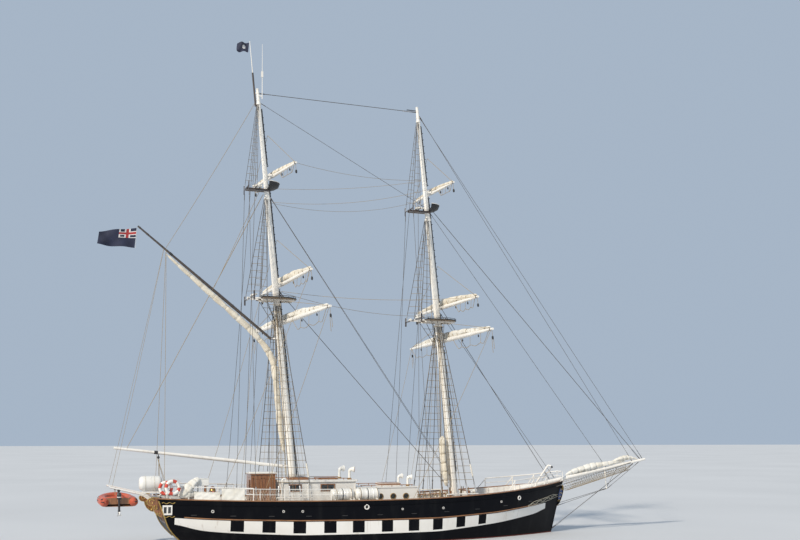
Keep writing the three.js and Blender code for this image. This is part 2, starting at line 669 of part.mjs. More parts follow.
// Steering pedestal with its binnacle, and the wheel on its aft side
const binnacleX = (PEDESTAL.aft + PEDESTAL.fore) / 2;
const binnacle = vec(binnacleX, 0, PEDESTAL.top + 140);
const pedestal = join(
  centred(PEDESTAL.aft, PEDESTAL.fore, PEDESTAL.half, BELOW, PEDESTAL.top),
  rod(vec(binnacleX, 0, PEDESTAL.top - 20), binnacle, PEDESTAL.bowl + 2, PEDESTAL.bowl + 2, 12),
  ball(binnacle, PEDESTAL.bowl, 12),
  rod(vec(PEDESTAL.aft + 10, 0, WHEEL.z), vec(WHEEL.x + 40, 0, WHEEL.z), 35),
);
add("steering_pedestal", onDeck(pedestal), "varnish");
const wheelRim = new THREE.TorusGeometry(WHEEL.radius, WHEEL.rim, 5, 16);
wheelRim.rotateY(Math.PI / 2);
wheelRim.translate(WHEEL.x, 0, WHEEL.z);
const wheelCentre = vec(WHEEL.x, 0, WHEEL.z);
const wheelHub = rod(vec(WHEEL.x + 32, 0, WHEEL.z), vec(WHEEL.x - 45, 0, WHEEL.z), 75, 60, 12);
const reach = WHEEL.radius + WHEEL.handle;
const spokes = [];
for (let i = 0; i < WHEEL.spokes; i++) {
  const turn = (i * 2 * Math.PI) / WHEEL.spokes;
  const handle = wheelCentre.clone().add(vec(0, reach * Math.cos(turn), reach * Math.sin(turn)));
  spokes.push(rod(wheelCentre, handle, 20, 16, 4));
}
add("steering_wheel", join(outward(wheelRim), wheelHub, spokes), "varnish");

// Lockers at the stern
const lockerArm = [LOCKERS.fore - OVERLAP, LOCKERS.arm];
const lockers = join(
  centred(LOCKERS.aft, LOCKERS.fore, LOCKERS.half, BELOW, LOCKERS.top),
  block(...lockerArm, -LOCKERS.half, -LOCKERS.well, BELOW, LOCKERS.top),
  block(...lockerArm, LOCKERS.well, LOCKERS.half, BELOW, LOCKERS.top),
);
add("stern_lockers", onDeck(lockers), "white");

// Two liferaft canisters on a cradle at each side
for (const [side, label] of [[-1, "starboard"], [1, "port"]]) {
  const y = side * RAFT.y;
  const canisters = RAFT.ends.map(([x0, x1]) => {
    return rod(vec(x0, y, RAFT.z), vec(x1, y, RAFT.z), RAFT.radius, RAFT.radius, 16);
  });
  const chocks = RAFT_CHOCKS.map((x) => block(x - 30, x + 30, y - 280, y + 280, BELOW, 2330));
  const rails = [-240, 240].map((dy) => block(-3030, -690, y + dy - 30, y + dy + 30, 2180, 2250));
  add("liferafts_" + label, onDeck(join(canisters, chocks, rails)), "white");
}

// Stern canister: a large white drum that lies fore and aft over the starboard quarter
const drumEdge = [[0, 0], [260, 0], [350, 90], [CANISTER.radius, 200]];
const drumEnd = drumEdge.map(([radius, along]) => [radius, CANISTER.length - along]).reverse();
const drum = turned([...drumEdge, ...drumEnd], 18)
  .rotate([0, 90, 0])
  .translate([CANISTER.x, CANISTER.y, CANISTER.z]);
const drumPost = { aft: -11480, fore: -11390 };
const [drumLow, drumHigh] = [CANISTER.y - 180, CANISTER.y + 180];
const drumCradle = join(
  block(CANISTER.x + 160, drumPost.fore, drumLow, drumHigh, 2850, 2920),
  block(drumPost.aft, drumPost.fore, drumLow + 30, drumHigh - 30, BELOW, 2880),
);
add("stern_canister", onDeck(join(drum, drumCradle)), "white");

// Guard rail round the stern, on stanchions that stand on the bulwark; it dips under the drum
const guardX = RAIL.xAft + 35;
const guardFeet = GUARD_STEPS.map((t) => hullPoint(RAIL, t, false, { inset: 30, endInset: 30 }));
guardFeet.push(vec(guardX, 2100, RAIL.zAft), vec(guardX, 700, RAIL.zAft));
const starboardFeet = mirrored(guardFeet).slice(2);
const raised = (point) => lifted(point, GUARD_HEIGHT);
const guardLine = [
  ...guardFeet.map(raised),
  raised(vec(guardX, -850, RAIL.zAft)),
  vec(guardX, -1000, RAIL.zAft + 130),
  vec(guardX, -1950, RAIL.zAft + 130),
  ...starboardFeet.map(raised),
];
const guardLegs = [...guardFeet, ...starboardFeet].map((foot) => {
  return rod(lifted(foot, -60), raised(foot), 22, 22, 6);
});
const guardRail = join(sweep(guardLine, 24, 6), guardLegs);
add("stern_guard_rail", largest(cut(guardRail, railCutter)), "white");

// Stern davits, joined by a spreader, each with a fall that carries the dinghy
const sternShell = join(hullBody, belowRail(0)).translate([-GAP, 0, 0]);
const davits = [-DAVIT_Y, DAVIT_Y].map((y) => join(
  sweep([vec(-11500, y, 2250), vec(-12350, y, 2640), vec(-14150, y, 3080)], 59),
  rod(vec(DINGHY.x, y * 0.8, 2960), vec(DINGHY.x, y * 0.8, DINGHY.z - 110 + GAP), 18, 18, 5),
  rod(vec(DINGHY.x, y * 0.78, 2960), vec(DINGHY.x, y * 1.02, 2960), 40, 40, 6),
));
const davitSpreader = rod(vec(-14050, -DAVIT_Y, 3055), vec(-14050, DAVIT_Y, 3055), 35, 35, 8);
add("stern_davits", cut(join(davits, davitSpreader), sternShell, railCutter), "white");

// Dinghy: two side tubes that meet at the bow, a floor and a transom
const dinghySide = (way) => [
  vec(DINGHY.x + way * DINGHY.half, DINGHY.aftY, DINGHY.z),
  vec(DINGHY.x + way * DINGHY.half, 500, DINGHY.z),
  vec(DINGHY.x + way * 480, 1150, DINGHY.z + 60),
];
const dinghyLine = [
  ...dinghySide(-1),
  vec(DINGHY.x, DINGHY.bowY, DINGHY.z + 120),
  ...dinghySide(1).reverse(),
];
const [dinghyAft, dinghyFore] = [DINGHY.x - DINGHY.half, DINGHY.x + DINGHY.half];
const transomY = DINGHY.aftY + 300;
const dinghyBody = join(
  sweep(dinghyLine, DINGHY.tube, 10),
  block(dinghyAft, dinghyFore, transomY, 600, DINGHY.z - 190, DINGHY.z - 110),
  block(dinghyAft, dinghyFore, transomY, transomY + 50, DINGHY.z - 230, DINGHY.z + 200),
);
add("dinghy", dinghyBody, "orange");

// Outboard motor clamped on the dinghy's transom, with its own propeller
const outboardAt = (y) => vec(DINGHY.x, y, OUTBOARD.propellerZ);
const motorPart = (half, aft, fore, low, high) => {
  return block(DINGHY.x - half, DINGHY.x + half, OUTBOARD.y - aft, OUTBOARD.y - fore, low, high);
};
const motor = join(
  motorPart(110, 330, 40, DINGHY.z + 140, DINGHY.z + 480),
  motorPart(70, 230, 90, OUTBOARD.propellerZ - 60, DINGHY.z + 160),
  motorPart(60, 110, GAP, DINGHY.z + 20, DINGHY.z + 180),
  rod(outboardAt(OUTBOARD.y - 60), outboardAt(OUTBOARD.y - 300), 50, 42),
);
add("outboard_motor", motor, "dark");
const outboardHub = rod(outboardAt(OUTBOARD.y - 308), outboardAt(OUTBOARD.y - 400), 42, 30);
const outboardBlades = [];
for (let i = 0; i < OUTBOARD.blades; i++) {
  const blade = new THREE.BoxGeometry(90, 10, 115);
  blade.translate(0, 0, 80);
  blade.rotateZ(0.5);
  blade.rotateY((i * 2 * Math.PI) / OUTBOARD.blades);
  blade.translate(DINGHY.x, OUTBOARD.y - 350, OUTBOARD.propellerZ);
  outboardBlades.push(solid(blade));
}
add("outboard_propeller", join(outboardHub, outboardBlades), "white");

// Lifebuoy hung on the starboard quarter
const buoyRing = new THREE.TorusGeometry(LIFEBUOY.radius, LIFEBUOY.tube, 8, 20);
buoyRing.rotateX(Math.PI / 2);
buoyRing.translate(LIFEBUOY.x, LIFEBUOY.y, LIFEBUOY.z);
add("lifebuoy", outward(buoyRing), "red");

// A bracket that reaches ahead of a mast, or aft of it, to the pin that a spar turns on
function bracket(mast, z, ahead) {
  const [low, high] = ahead > 0 ? [0, ahead] : [ahead, 0];
  const arm = centred(low, high, BRACKET_HALF, -BRACKET_THICK / 2, BRACKET_THICK / 2);
  const nose = disc(BRACKET_HALF, BRACKET_THICK, 10).translate([ahead, 0, 0]);
  const hole = disc(PIN_RADIUS + PIN_GAP, 2 * BRACKET_THICK, 8).translate([ahead, 0, 0]);
  return alongMast(cut(join(arm, nose), hole), mast, z);
}

// A spar with cheeks above and below its bracket and a pin through them, about the pin's own axis
function pinned(spar, cheekEnd) {
  const gap = BRACKET_THICK / 2 + CHEEK_GAP;
  const [low, high] = cheekEnd > 0 ? [-CHEEK_HALF, cheekEnd] : [cheekEnd, CHEEK_HALF];
  const pair = [-gap - CHEEK_THICK, gap].map((z) => centred(low, high, CHEEK_HALF, z, z + CHEEK_THICK));
  const nose = BRACKET_HALF + TURN_GAP;
  const slot = centred(-nose, nose, 90, -gap, gap);
  const pin = disc(PIN_RADIUS, 2 * (gap + CHEEK_THICK), 8);
  return join(cut(join(spar, pair), slot), pin);
}

// A bar athwartships at a mast, to the same reach on both sides
function spreader(x, z, half, radius) {
  return rod(vec(x, -half, z), vec(x, half, z), radius, radius, 8);
}

// The crosstrees of a mast: two fore-and-aft bars that carry two spreaders
function crosstrees(mast) {
  const { x, z } = onMast(mast, mast.crosstrees);
  const bars = [-1, 1].map((side) => {
    const y = side * CROSSTREES.half;
    return block(x - CROSSTREES.aft, x + CROSSTREES.fore, y - 40, y + 40, z - 60, z + 60);
  });
  const arms = CROSSTREES.spreaders.map((dx) => {
    return spreader(x + dx, z + 70, CROSSTREES.reach, CROSSTREES.radius);
  });
  return join(bars, arms);
}

// The platform at the head of the lower mast, with a spreader under it and one on two arms aft
function topPlatform(mast) {
  const { x, z } = onMast(mast, mast.top);
  const arms = [-1, 1].map((side) => {
    return block(x - TOP.aft, x - TOP.floorAft + OVERLAP, side * 300 - 45, side * 300 + 45, z, z + TOP.thick);
  });
  const spreaders = [-TOP_SPREADER.aft, 0].map((dx) => {
    return spreader(x + dx, z + 20, TOP_SPREADER.reach, TOP_SPREADER.radius);
  });
  return join(centred(x - TOP.floorAft, x + TOP.fore, TOP.half, z, z + TOP.thick), arms, spreaders);
}

// Lower shrouds: wires each side from a bar at the rail to a band on the mast below the top
function shrouds(mast) {
  const bandZ = mast.top - 260;
  const band = alongMast(disc(mastRadius(mast, bandZ) + 45, 140, MAST_SIDES), mast, bandZ);
  const wires = [-1, 1].flatMap((side) => {
    const feet = SHROUD_FEET.map((dx) => {
      const x = mast.x + dx;
      return vec(x, side * insideRail(x, 90), SHROUD_BAR_Z);
    });
    const [first, last] = [feet[0], feet[feet.length - 1]];
    const bar = rod(first.clone().lerp(last, -0.07), first.clone().lerp(last, 1.07), 38, 38, 6);
    const fan = feet.map((foot, i) => {
      return rod(foot, onMast(mast, bandZ, 90 - i * 75, side * (185 - i * 12)), 20, 20, 4);
    });
    const drops = feet.map((foot) => rod(vec(foot.x, foot.y, BELOW), foot, 18, 18, 4));
    return [bar, ...fan, ...drops];
  });
  return join(band, wires);
}

// The flagpole aft of the mainmast's head and the aerial ahead of it, each on its straps
function mastheadPoles(mast) {
  const flagpole = rod(onMast(mast, 23000, -175), onMast(mast, 26400, -175), 30, 12, 8);
  const aerial = rod(onMast(mast, 23400, 190, -90), onMast(mast, 26300, 470, -90), 22, 10, 6);
  const straps = [23150, 23700].map((z) => {
    const { x } = onMast(mast, z);
    return centred(x - 180, x, 28, z - 25, z + 25);
  });
  const { x } = onMast(mast, 23550);
  const arm = block(x, x + 205, -110, -40, 23530, 23570);
  return join(flagpole, aerial, straps, arm);
}

// Masts with their tops, crosstrees, shrouds and the brackets that the spars hang from
for (const [label, mast] of Object.entries(MASTS)) {
  const pins = YARDS.filter((yard) => yard.mast === label).map((yard) => [yard.z, PIN_REACH]);
  const extras = [];
  if (label === "main") {
    const boomBracket = bracket(mast, SPANKER_SPARS.spanker_boom.z, -PIN_REACH);
    add("boom_bracket", cut(boomBracket, mastClear.main), "white");
    pins.push([SPANKER_SPARS.gaff.z, -PIN_REACH]);
    extras.push(mastheadPoles(mast));
  }
  const brackets = pins.map(([z, ahead]) => bracket(mast, z, ahead));
  add(label + "mast", onDeck(join(pole(mast), brackets, crosstrees(mast), extras)), "white");
  add(label + "_top", cut(topPlatform(mast), mastClear[label]), "white");
  add(label + "_shrouds", onDeck(cut(shrouds(mast), mastClear[label])), "wire");
}

// Yards and their furled sails, each on its pin ahead of the mast
for (const yard of YARDS) {
  const swung = new THREE.Group();
  swung.rotation.z = yard.brace * DEGREE;
  mastGroup(MASTS[yard.mast], yard.z, PIN_REACH).add(swung);
  const shoulder = yard.radius * 0.92;
  const spar = sweep(
    [-1, -0.45, 0, 0.45, 1].map((share) => vec(YARD_AHEAD, share * yard.half, 0)),
    [yard.tip, shoulder, yard.radius, shoulder, yard.tip],
    12,
  );
  add(yard.name + "_yard", pinned(spar, YARD_AHEAD), "white", swung);

  const places = [...SAIL_PLACES.map((share) => -share).reverse(), ...SAIL_PLACES];
  const radii = places.map((share) => {
    return yard.sail * (0.36 + 0.64 * Math.pow(Math.cos((share * Math.PI) / 2), 1.5));
  });
  const centres = places.map((share, i) => {
    const taper = Math.max(0, (Math.abs(share) - 0.3) / 0.7);
    const out = yard.radius + (yard.tip - yard.radius) * taper + radii[i] + 6;
    return vec(YARD_AHEAD + out * 0.55, share * yard.half, out * 0.835);
  });
  add(yard.name + "_furled", sweep(centres, radii), "canvas", swung);
}

// Spanker boom and gaff, each on a pin aft of the mainmast
for (const [name, spar] of Object.entries(SPANKER_SPARS)) {
  const hung = mastGroup(MASTS.main, spar.z, -PIN_REACH);
  const heel = vec(-170, 0, 0);
  const end = hung.worldToLocal(vec(spar.endX, 0, spar.endZ));
  const centres = [heel, heel.clone().lerp(end, 0.35), end];
  add(name, pinned(sweep(centres, [spar.heel, spar.radius, spar.tip], 12), -240), "white", hung);
}

// The spanker brailed up: a bundle that hangs under the gaff and down the after side of the mast
const gaffHeel = onMast(MASTS.main, SPANKER_SPARS.gaff.z, -PIN_REACH);
const gaffEnd = vec(SPANKER_SPARS.gaff.endX, 0, SPANKER_SPARS.gaff.endZ);
// Share of the gaff's length, distance below it, radius
const UNDER_GAFF = [
  [0.8, 240, 60],
  [0.62, 350, 130],
  [0.42, 430, 165],
  [0.24, 530, 180],
  [0.1, 740, 180],
  [0.035, 1020, 185],
];
// Distance aft of the mast's centreline, height, radius
const DOWN_MAST = [
  [450, 9300, 190],
  [440, 7900, 180],
  [430, 6500, 165],
  [400, 5500, 130],
  [360, 4750, 80],
];
const bundleCentres = [
  ...UNDER_GAFF.map(([share, drop]) => lifted(gaffHeel.clone().lerp(gaffEnd, share), -drop)),
  ...DOWN_MAST.map(([aft, z]) => onMast(MASTS.main, z, -aft)),
];
const bundleRadii = [...UNDER_GAFF, ...DOWN_MAST].map(([, , radius]) => radius);
add("furled_spanker", sweep(bundleCentres, bundleRadii), "canvas");

// Main stays
const STAY_RADIUS = 18;
const STAYS = {
  fore_stay: [onMast(MASTS.fore, 13030), vec(10900, 0, 2900)],
  jib_stay: [onMast(MASTS.fore, 18500), onBowsprit(17000)],
  main_stay: [onMast(MASTS.main, 13350), onMast(MASTS.fore, 2600)],
  triatic_stay: [onMast(MASTS.main, 23700), onMast(MASTS.fore, 23700)],
};
for (const [name, [from, to]] of Object.entries(STAYS)) {
  const wire = rod(from, to, STAY_RADIUS, STAY_RADIUS, 8);
  add(name, cut(wire, mastClear.fore, mastClear.main, bowspritClear, railCutter), "wire");
}

export default ship;
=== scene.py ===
# %% [markdown]
# # A two-masted brig at full size
# This lesson dresses a square-rigged ship whose plain solids are already in place. Each step says what
# a part is on the real ship, how it could be made in Blender, and why it is made the way it is. Lengths
# are in metres, +X points to the bow, +Y to port, +Z up, and the water's surface is at z = 0.

import bpy
import numpy as np
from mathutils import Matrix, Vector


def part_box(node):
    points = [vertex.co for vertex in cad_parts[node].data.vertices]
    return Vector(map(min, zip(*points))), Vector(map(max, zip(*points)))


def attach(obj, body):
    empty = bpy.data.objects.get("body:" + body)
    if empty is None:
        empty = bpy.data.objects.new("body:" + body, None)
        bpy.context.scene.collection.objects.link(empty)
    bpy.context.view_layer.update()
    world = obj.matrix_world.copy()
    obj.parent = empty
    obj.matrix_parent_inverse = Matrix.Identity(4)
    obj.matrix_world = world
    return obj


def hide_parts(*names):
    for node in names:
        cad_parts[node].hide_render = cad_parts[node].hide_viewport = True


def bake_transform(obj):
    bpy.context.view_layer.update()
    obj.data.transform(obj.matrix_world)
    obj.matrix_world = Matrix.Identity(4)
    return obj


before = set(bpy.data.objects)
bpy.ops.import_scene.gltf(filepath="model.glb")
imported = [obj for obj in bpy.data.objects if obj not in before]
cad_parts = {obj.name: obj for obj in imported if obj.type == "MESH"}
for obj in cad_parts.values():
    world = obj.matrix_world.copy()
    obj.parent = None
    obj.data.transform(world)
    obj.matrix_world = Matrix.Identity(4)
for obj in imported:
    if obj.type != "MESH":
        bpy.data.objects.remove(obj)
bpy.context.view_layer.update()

# %% [markdown]
# ## The camera
# The ship was seen from 55 m off her starboard quarter, with the lens level, so masts stay upright and
# only their own rake shows. A tilted camera would lean them; a level one with its frame shifted up shows
# the trucks and still keeps the horizon low.

# %% Camera
camera_data = bpy.data.cameras.new("camera")
camera_data.lens = 45
camera_data.shift_y = 0.2125
camera_data.clip_end = 2000
camera = bpy.data.objects.new("camera", camera_data)
camera.location = (-17.52, -52.19, 5.4)
camera.rotation_euler = (np.pi / 2, 0, np.radians(-20))
bpy.context.scene.collection.objects.link(camera)
bpy.context.scene.camera = camera

# %% [markdown]
# ## Light and floor
# A low warm sun from the left models the round masts, and a pale sky fills the shadows. The floor is one
# large plain sheet at the waterline, so it stands for calm water without being it.

# %% Sun, sky and floor
sun_data = bpy.data.lights.new("sun", "SUN")
sun_data.energy = 3.4
sun_data.angle = np.radians(4)
sun_data.color = (1.0, 0.91, 0.78)
sun = bpy.data.objects.new("sun", sun_data)
sun.rotation_euler = (np.radians(58), 0, np.radians(-55))
bpy.context.scene.collection.objects.link(sun)

world = bpy.data.worlds.new("sky")
world.use_nodes = True
world.node_tree.nodes["Background"].inputs["Color"].default_value = (0.62, 0.75, 0.92, 1)
world.node_tree.nodes["Background"].inputs["Strength"].default_value = 0.62
bpy.context.scene.world = world
bpy.context.scene.view_settings.view_transform = "Standard"

# %% [markdown]
# ## Surfaces as arrays
# Every new piece is a surface worked out with numpy. A surface is kept as its points, its faces' corners
# in one row with the number of corners of each face, a place on a flat pattern for each corner, and the
# number of the finish of each face. The helpers below are the few kinds of surface that a ship needs.

# %% A surface and its outside
class Surface:
    """Points, corner numbers of all faces in one row, corners per face, flat places, finish numbers."""

    def __init__(self, points, corners, sizes, flat=None, finish=0):
        self.points = np.asarray(points, float).reshape(-1, 3)
        self.corners = np.asarray(corners, int).ravel()
        self.sizes = np.asarray(sizes, int).ravel()
        self.flat = np.zeros((len(self.corners), 2)) if flat is None else np.asarray(flat, float)
        self.finish = np.broadcast_to(finish, len(self.sizes)).astype(int)


def unit(vectors):
    """Vectors divided by their lengths."""
    vectors = np.asarray(vectors, float)
    return vectors / np.linalg.norm(vectors, axis=-1, keepdims=True)


def corner_table(sizes):
    """For each corner its face and its place in the face, and where each face starts."""
    starts = np.cumsum(sizes) - sizes
    face = np.repeat(np.arange(len(sizes)), sizes)
    return face, np.arange(len(face)) - starts[face], starts


def volume(surface):
    """The volume inside: a sixth of the sum of a . (b x c) over the triangles of every face's fan."""
    face, place, starts = corner_table(surface.sizes)
    at = np.flatnonzero((place >= 1) & (place <= surface.sizes[face] - 2))
    corner = surface.points[surface.corners]
    return np.sum(corner[starts[face[at]]] * np.cross(corner[at], corner[at + 1])) / 6


def flipped(surface):
    """The same surface with each face's corners in the opposite order."""
    face, place, starts = corner_table(surface.sizes)
    order = starts[face] + surface.sizes[face] - 1 - place
    return Surface(surface.points, surface.corners[order], surface.sizes, surface.flat[order], surface.finish)


def outward(surface):
    """A closed surface whose faces point out."""
    return surface if volume(surface) > 0 else flipped(surface)


def together(surfaces):
    """Several surfaces as one."""
    shift = np.cumsum([0] + [len(s.points) for s in surfaces[:-1]])
    return Surface(
        np.concatenate([s.points for s in surfaces]),
        np.concatenate([s.corners + k for s, k in zip(surfaces, shift)]),
        np.concatenate([s.sizes for s in surfaces]),
        np.concatenate([s.flat for s in surfaces]),
        np.concatenate([s.finish for s in surfaces]),
    )


def placed(surface, axes=np.eye(3), origin=(0, 0, 0)):
    """The surface with its x, y and z laid along the three rows of axes, from an origin."""
    moved = surface.points @ np.asarray(axes, float) + origin
    return outward(Surface(moved, surface.corners, surface.sizes, surface.flat, surface.finish))


def both_sides(surfaces):
    """Surfaces with their mirror images across the centreline: y becomes -y."""
    return surfaces + [placed(s, np.diag([1, -1, 1])) for s in surfaces]


# %% Turns, bands and posts
def full_turn(count):
    """Angles of a full turn in equal steps, without the last one, which is the first again."""
    return np.arange(count) / count * 2 * np.pi


def oval(centre, wide, tall, turn, plane="yz"):
    """Points of an oval or a spiral round a centre: cosine x wide one way, sine x tall the other way."""
    first, second, none = wide * np.cos(turn), tall * np.sin(turn), np.zeros(len(turn))
    ways = {"yz": (none, first, second), "xz": (first, none, second), "xy": (first, second, none)}
    return np.asarray(centre, float) + np.stack(ways[plane], -1)


def band_profile(inner, outer, half):
    """The profile of a flat band: out from the inner radius to the outer one, along, and in again."""
    return [[inner, -half], [outer, -half], [outer, half], [inner, half]]


def post(x, y, half, low, high):
    """The row of a square post for blocks."""
    return [x - half, x + half, y - half, y + half, low, high]


# %% Skins, tubes and bars
def skin(rings, loop=False, finish=0, tiles=(1, 1)):
    """A closed skin through rings of points: a face between each pair of neighbours, and flat ends."""
    rings = np.asarray(rings, float)
    n, k = rings.shape[:2]
    i, j = np.meshgrid(np.arange(n if loop else n - 1), np.arange(k), indexing="ij")
    i2, j2 = (i + 1) % n, (j + 1) % k
    corners = np.stack([i * k + j, i2 * k + j, i2 * k + j2, i * k + j2], -1).ravel()
    u = np.stack([i, i + 1, i + 1, i], -1) / n * tiles[0]
    v = np.stack([j, j, j + 1, j + 1], -1) / k * tiles[1]
    flat = np.stack([u, v], -1).reshape(-1, 2)
    sizes = np.full(i.size, 4)
    if not loop:
        corners = np.concatenate([corners, np.arange(k), (n - 1) * k + np.arange(k)[::-1]])
        sizes = np.concatenate([sizes, [k, k]])
        flat = np.concatenate([flat, np.zeros((2 * k, 2))])
    return outward(Surface(rings, corners, sizes, flat, finish))


def tube(path, radius, sides=8, loop=False, finish=0, tiles=(1, 1), shape=(1, 1)):
    """A bar along a path: each ring lies across the path's direction, at the radius of its point."""
    path = np.asarray(path, float)
    ahead = unit(np.roll(path, -1, 0) - np.roll(path, 1, 0) if loop else np.gradient(path, axis=0))
    least = np.linalg.svd(ahead)[2][-1]
    side = unit(np.cross(ahead, least))[:, None]
    up = np.cross(side, ahead[:, None])
    turn = ((np.arange(sides) + 0.5) / sides * 2 * np.pi)[:, None]
    radius = np.broadcast_to(radius, len(path))[:, None, None]
    rings = path[:, None] + radius * (shape[0] * np.cos(turn) * side + shape[1] * np.sin(turn) * up)
    return skin(rings, loop, finish, tiles)


def bars(starts, ends, radius, sides=6, finish=0):
    """Many straight bars at once: each is a ring round its start joined to a ring round its end."""
    a, b = np.broadcast_arrays(np.atleast_2d(starts).astype(float), np.atleast_2d(ends).astype(float))
    ahead = unit(b - a)
    guide = np.where(np.abs(ahead[:, 2:]) < 0.9, [0.0, 0.0, 1.0], [1.0, 0.0, 0.0])
    side = unit(np.cross(ahead, guide))[:, None]
    up = np.cross(side, ahead[:, None])
    turn = full_turn(sides)[:, None]
    radius = np.broadcast_to(np.asarray(radius, float).reshape(-1, 1), (len(a), 1))[:, None]
    ring = radius * (np.cos(turn) * side + np.sin(turn) * up)
    points = np.stack([a[:, None] + ring, b[:, None] + ring], 1)
    j = np.arange(sides)
    j2 = (j + 1) % sides
    wall = np.stack([j, j + sides, j2 + sides, j2], -1).ravel()
    one = np.concatenate([wall, j, j[::-1] + sides])
    corners = one[None] + 2 * sides * np.arange(len(a))[:, None]
    sizes = np.tile([4] * sides + [sides, sides], len(a))
    return Surface(points, corners, sizes, None, finish)


def bent(corners, reach, steps=6):
    """A path with its corners rounded: a parabola from reach before each corner to reach after it."""
    c = np.asarray(corners, float)
    before, after = unit(c[:-2] - c[1:-1])[:, None], unit(c[2:] - c[1:-1])[:, None]
    t = np.linspace(0, 1, steps)[:, None]
    arcs = c[1:-1, None] + reach * ((1 - t) ** 2 * before + t ** 2 * after)
    return np.concatenate([c[:1], arcs.reshape(-1, 3), c[-1:]])


def hanging(start, end, drop, steps=12):
    """A path that sags between two points: a parabola whose middle is drop below the straight line."""
    t = np.linspace(0, 1, steps)[:, None]
    start, end = np.asarray(start, float), np.asarray(end, float)
    return start + (end - start) * t - 4 * drop * t * (1 - t) * np.array([0, 0, 1])


# %% Turned shapes, plates, blocks and slabs
def lathe(profile, origin=(0, 0, 0), axis=(0, 0, 1), sides=24, loop=False, finish=0):
    """A turned shape: each radius and height of the profile is carried round an axis."""
    profile = np.asarray(profile, float)
    axis = unit(axis)
    side = unit(np.cross(axis, [0, 1, 0] if abs(axis[1]) < 0.9 else [1, 0, 0]))
    up = np.cross(axis, side)
    turn = full_turn(sides)[:, None]
    round_it = np.cos(turn) * side + np.sin(turn) * up
    rings = np.asarray(origin) + profile[:, :1, None] * round_it + profile[:, 1, None, None] * axis
    return skin(rings, loop, finish)


def ring(centre, axis, radius, thick, sides=32, around=10, finish=0):
    """A round ring: a small circle of radius thick carried round a circle of radius radius."""
    turn = full_turn(around)
    profile = np.stack([radius + thick * np.cos(turn), thick * np.sin(turn)], -1)
    return lathe(profile, centre, axis, sides, loop=True, finish=finish)


def plate(outline, low, high, plane="xz", finish=0):
    """A flat outline in one plane, carried from one value to another across it."""
    outline = np.asarray(outline, float)
    first, second, across = {"xz": (0, 2, 1), "xy": (0, 1, 2), "yz": (1, 2, 0)}[plane]
    rings = np.zeros((2, len(outline), 3))
    rings[:, :, first] = outline[:, 0]
    rings[:, :, second] = outline[:, 1]
    rings[0, :, across], rings[1, :, across] = low, high
    return skin(rings, finish=finish)


def blocks(rows, finish=0):
    """Blocks, each from a row of x0, x1, y0, y1, z0, z1."""
    c = np.asarray(rows, float).reshape(-1, 3, 2)
    pick = np.array([[0, 0, 0], [1, 0, 0], [1, 1, 0], [0, 1, 0], [0, 0, 1], [1, 0, 1], [1, 1, 1], [0, 1, 1]])
    points = np.stack([c[:, k, pick[:, k]] for k in range(3)], -1)
    faces = [[0, 3, 2, 1], [4, 5, 6, 7], [0, 1, 5, 4], [1, 2, 6, 5], [2, 3, 7, 6], [3, 0, 4, 7]]
    corners = np.array(faces)[None] + 8 * np.arange(len(c))[:, None, None]
    return Surface(points, corners, np.full(6 * len(c), 4), None, finish)


def slab(front, back, finish=0, edge=0):
    """A thin solid between two grids of the same size: both faces, and a rim round their edge."""
    n, k = front.shape[:2]
    i, j = np.meshgrid(np.arange(n - 1), np.arange(k - 1), indexing="ij")
    quads = np.stack([i * k + j, (i + 1) * k + j, (i + 1) * k + j + 1, i * k + j + 1], -1).reshape(-1, 4)
    u = np.stack([i, i + 1, i + 1, i], -1).reshape(-1, 4) / (n - 1)
    v = np.stack([j, j, j + 1, j + 1], -1).reshape(-1, 4) / (k - 1)
    near = np.arange(k - 1)
    right = np.arange(n - 1) * k + k - 1
    border = np.concatenate([near, right, (n - 1) * k + near[::-1] + 1, (np.arange(n - 1)[::-1] + 1) * k])
    following = np.roll(border, -1)
    rim = np.stack([border, following, following + n * k, border + n * k], -1)
    flat = np.concatenate([np.stack([u, v], -1), np.stack([u, v], -1)[:, ::-1], np.zeros((len(rim), 4, 2))])
    corners = np.concatenate([quads, quads[:, ::-1] + n * k, rim])
    count = len(quads)
    finishes = np.concatenate([np.broadcast_to(finish, count), np.full(count + len(rim), edge)])
    points = np.concatenate([front.reshape(-1, 3), back.reshape(-1, 3)])
    return outward(Surface(points, corners, np.full(len(corners), 4), flat.reshape(-1, 2), finishes))


# %% [markdown]
# ## A piece from its surfaces
# `foreach_set` hands whole arrays to the mesh, which is far quicker than adding faces one by one. Faces
# that meet at a shallow angle are shaded smooth and the others keep a crisp edge.

# %% Make a piece
def piece(name, surfaces, finishes, body="ship", stands_for=(), crease=38, bevel=0):
    """A mesh object from surfaces, with its finishes, riding on a body."""
    whole = together(surfaces)
    mesh = bpy.data.meshes.new(name)
    mesh.vertices.add(len(whole.points))
    mesh.vertices.foreach_set("co", whole.points.ravel())
    mesh.loops.add(len(whole.corners))
    mesh.loops.foreach_set("vertex_index", whole.corners)
    mesh.polygons.add(len(whole.sizes))
    mesh.polygons.foreach_set("loop_start", np.cumsum(whole.sizes) - whole.sizes)
    mesh.polygons.foreach_set("material_index", whole.finish)
    mesh.uv_layers.new(name="flat").data.foreach_set("uv", whole.flat.ravel())
    mesh.update(calc_edges=True)
    mesh.polygons.foreach_set("use_smooth", np.ones(len(whole.sizes), bool))
    mesh.set_sharp_from_angle(angle=np.radians(crease))
    for finish in finishes:
        mesh.materials.append(finish)
    made = bpy.data.objects.new(name, mesh)
    bpy.context.scene.collection.objects.link(made)
    if bevel:
        edge = made.modifiers.new("rounded edges", "BEVEL")
        edge.width = bevel
        edge.segments = 2
        edge.limit_method = "ANGLE"
    if stands_for:
        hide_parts(*stands_for)
    if body:
        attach(made, body)
    return made


# %% [markdown]
# ## Finishes
# A finish is one shader with patterns that vary it: patches where paint has aged, streaks where rain
# runs, grain, weave. Patterns read Object coordinates, so they stay fixed to the ship.

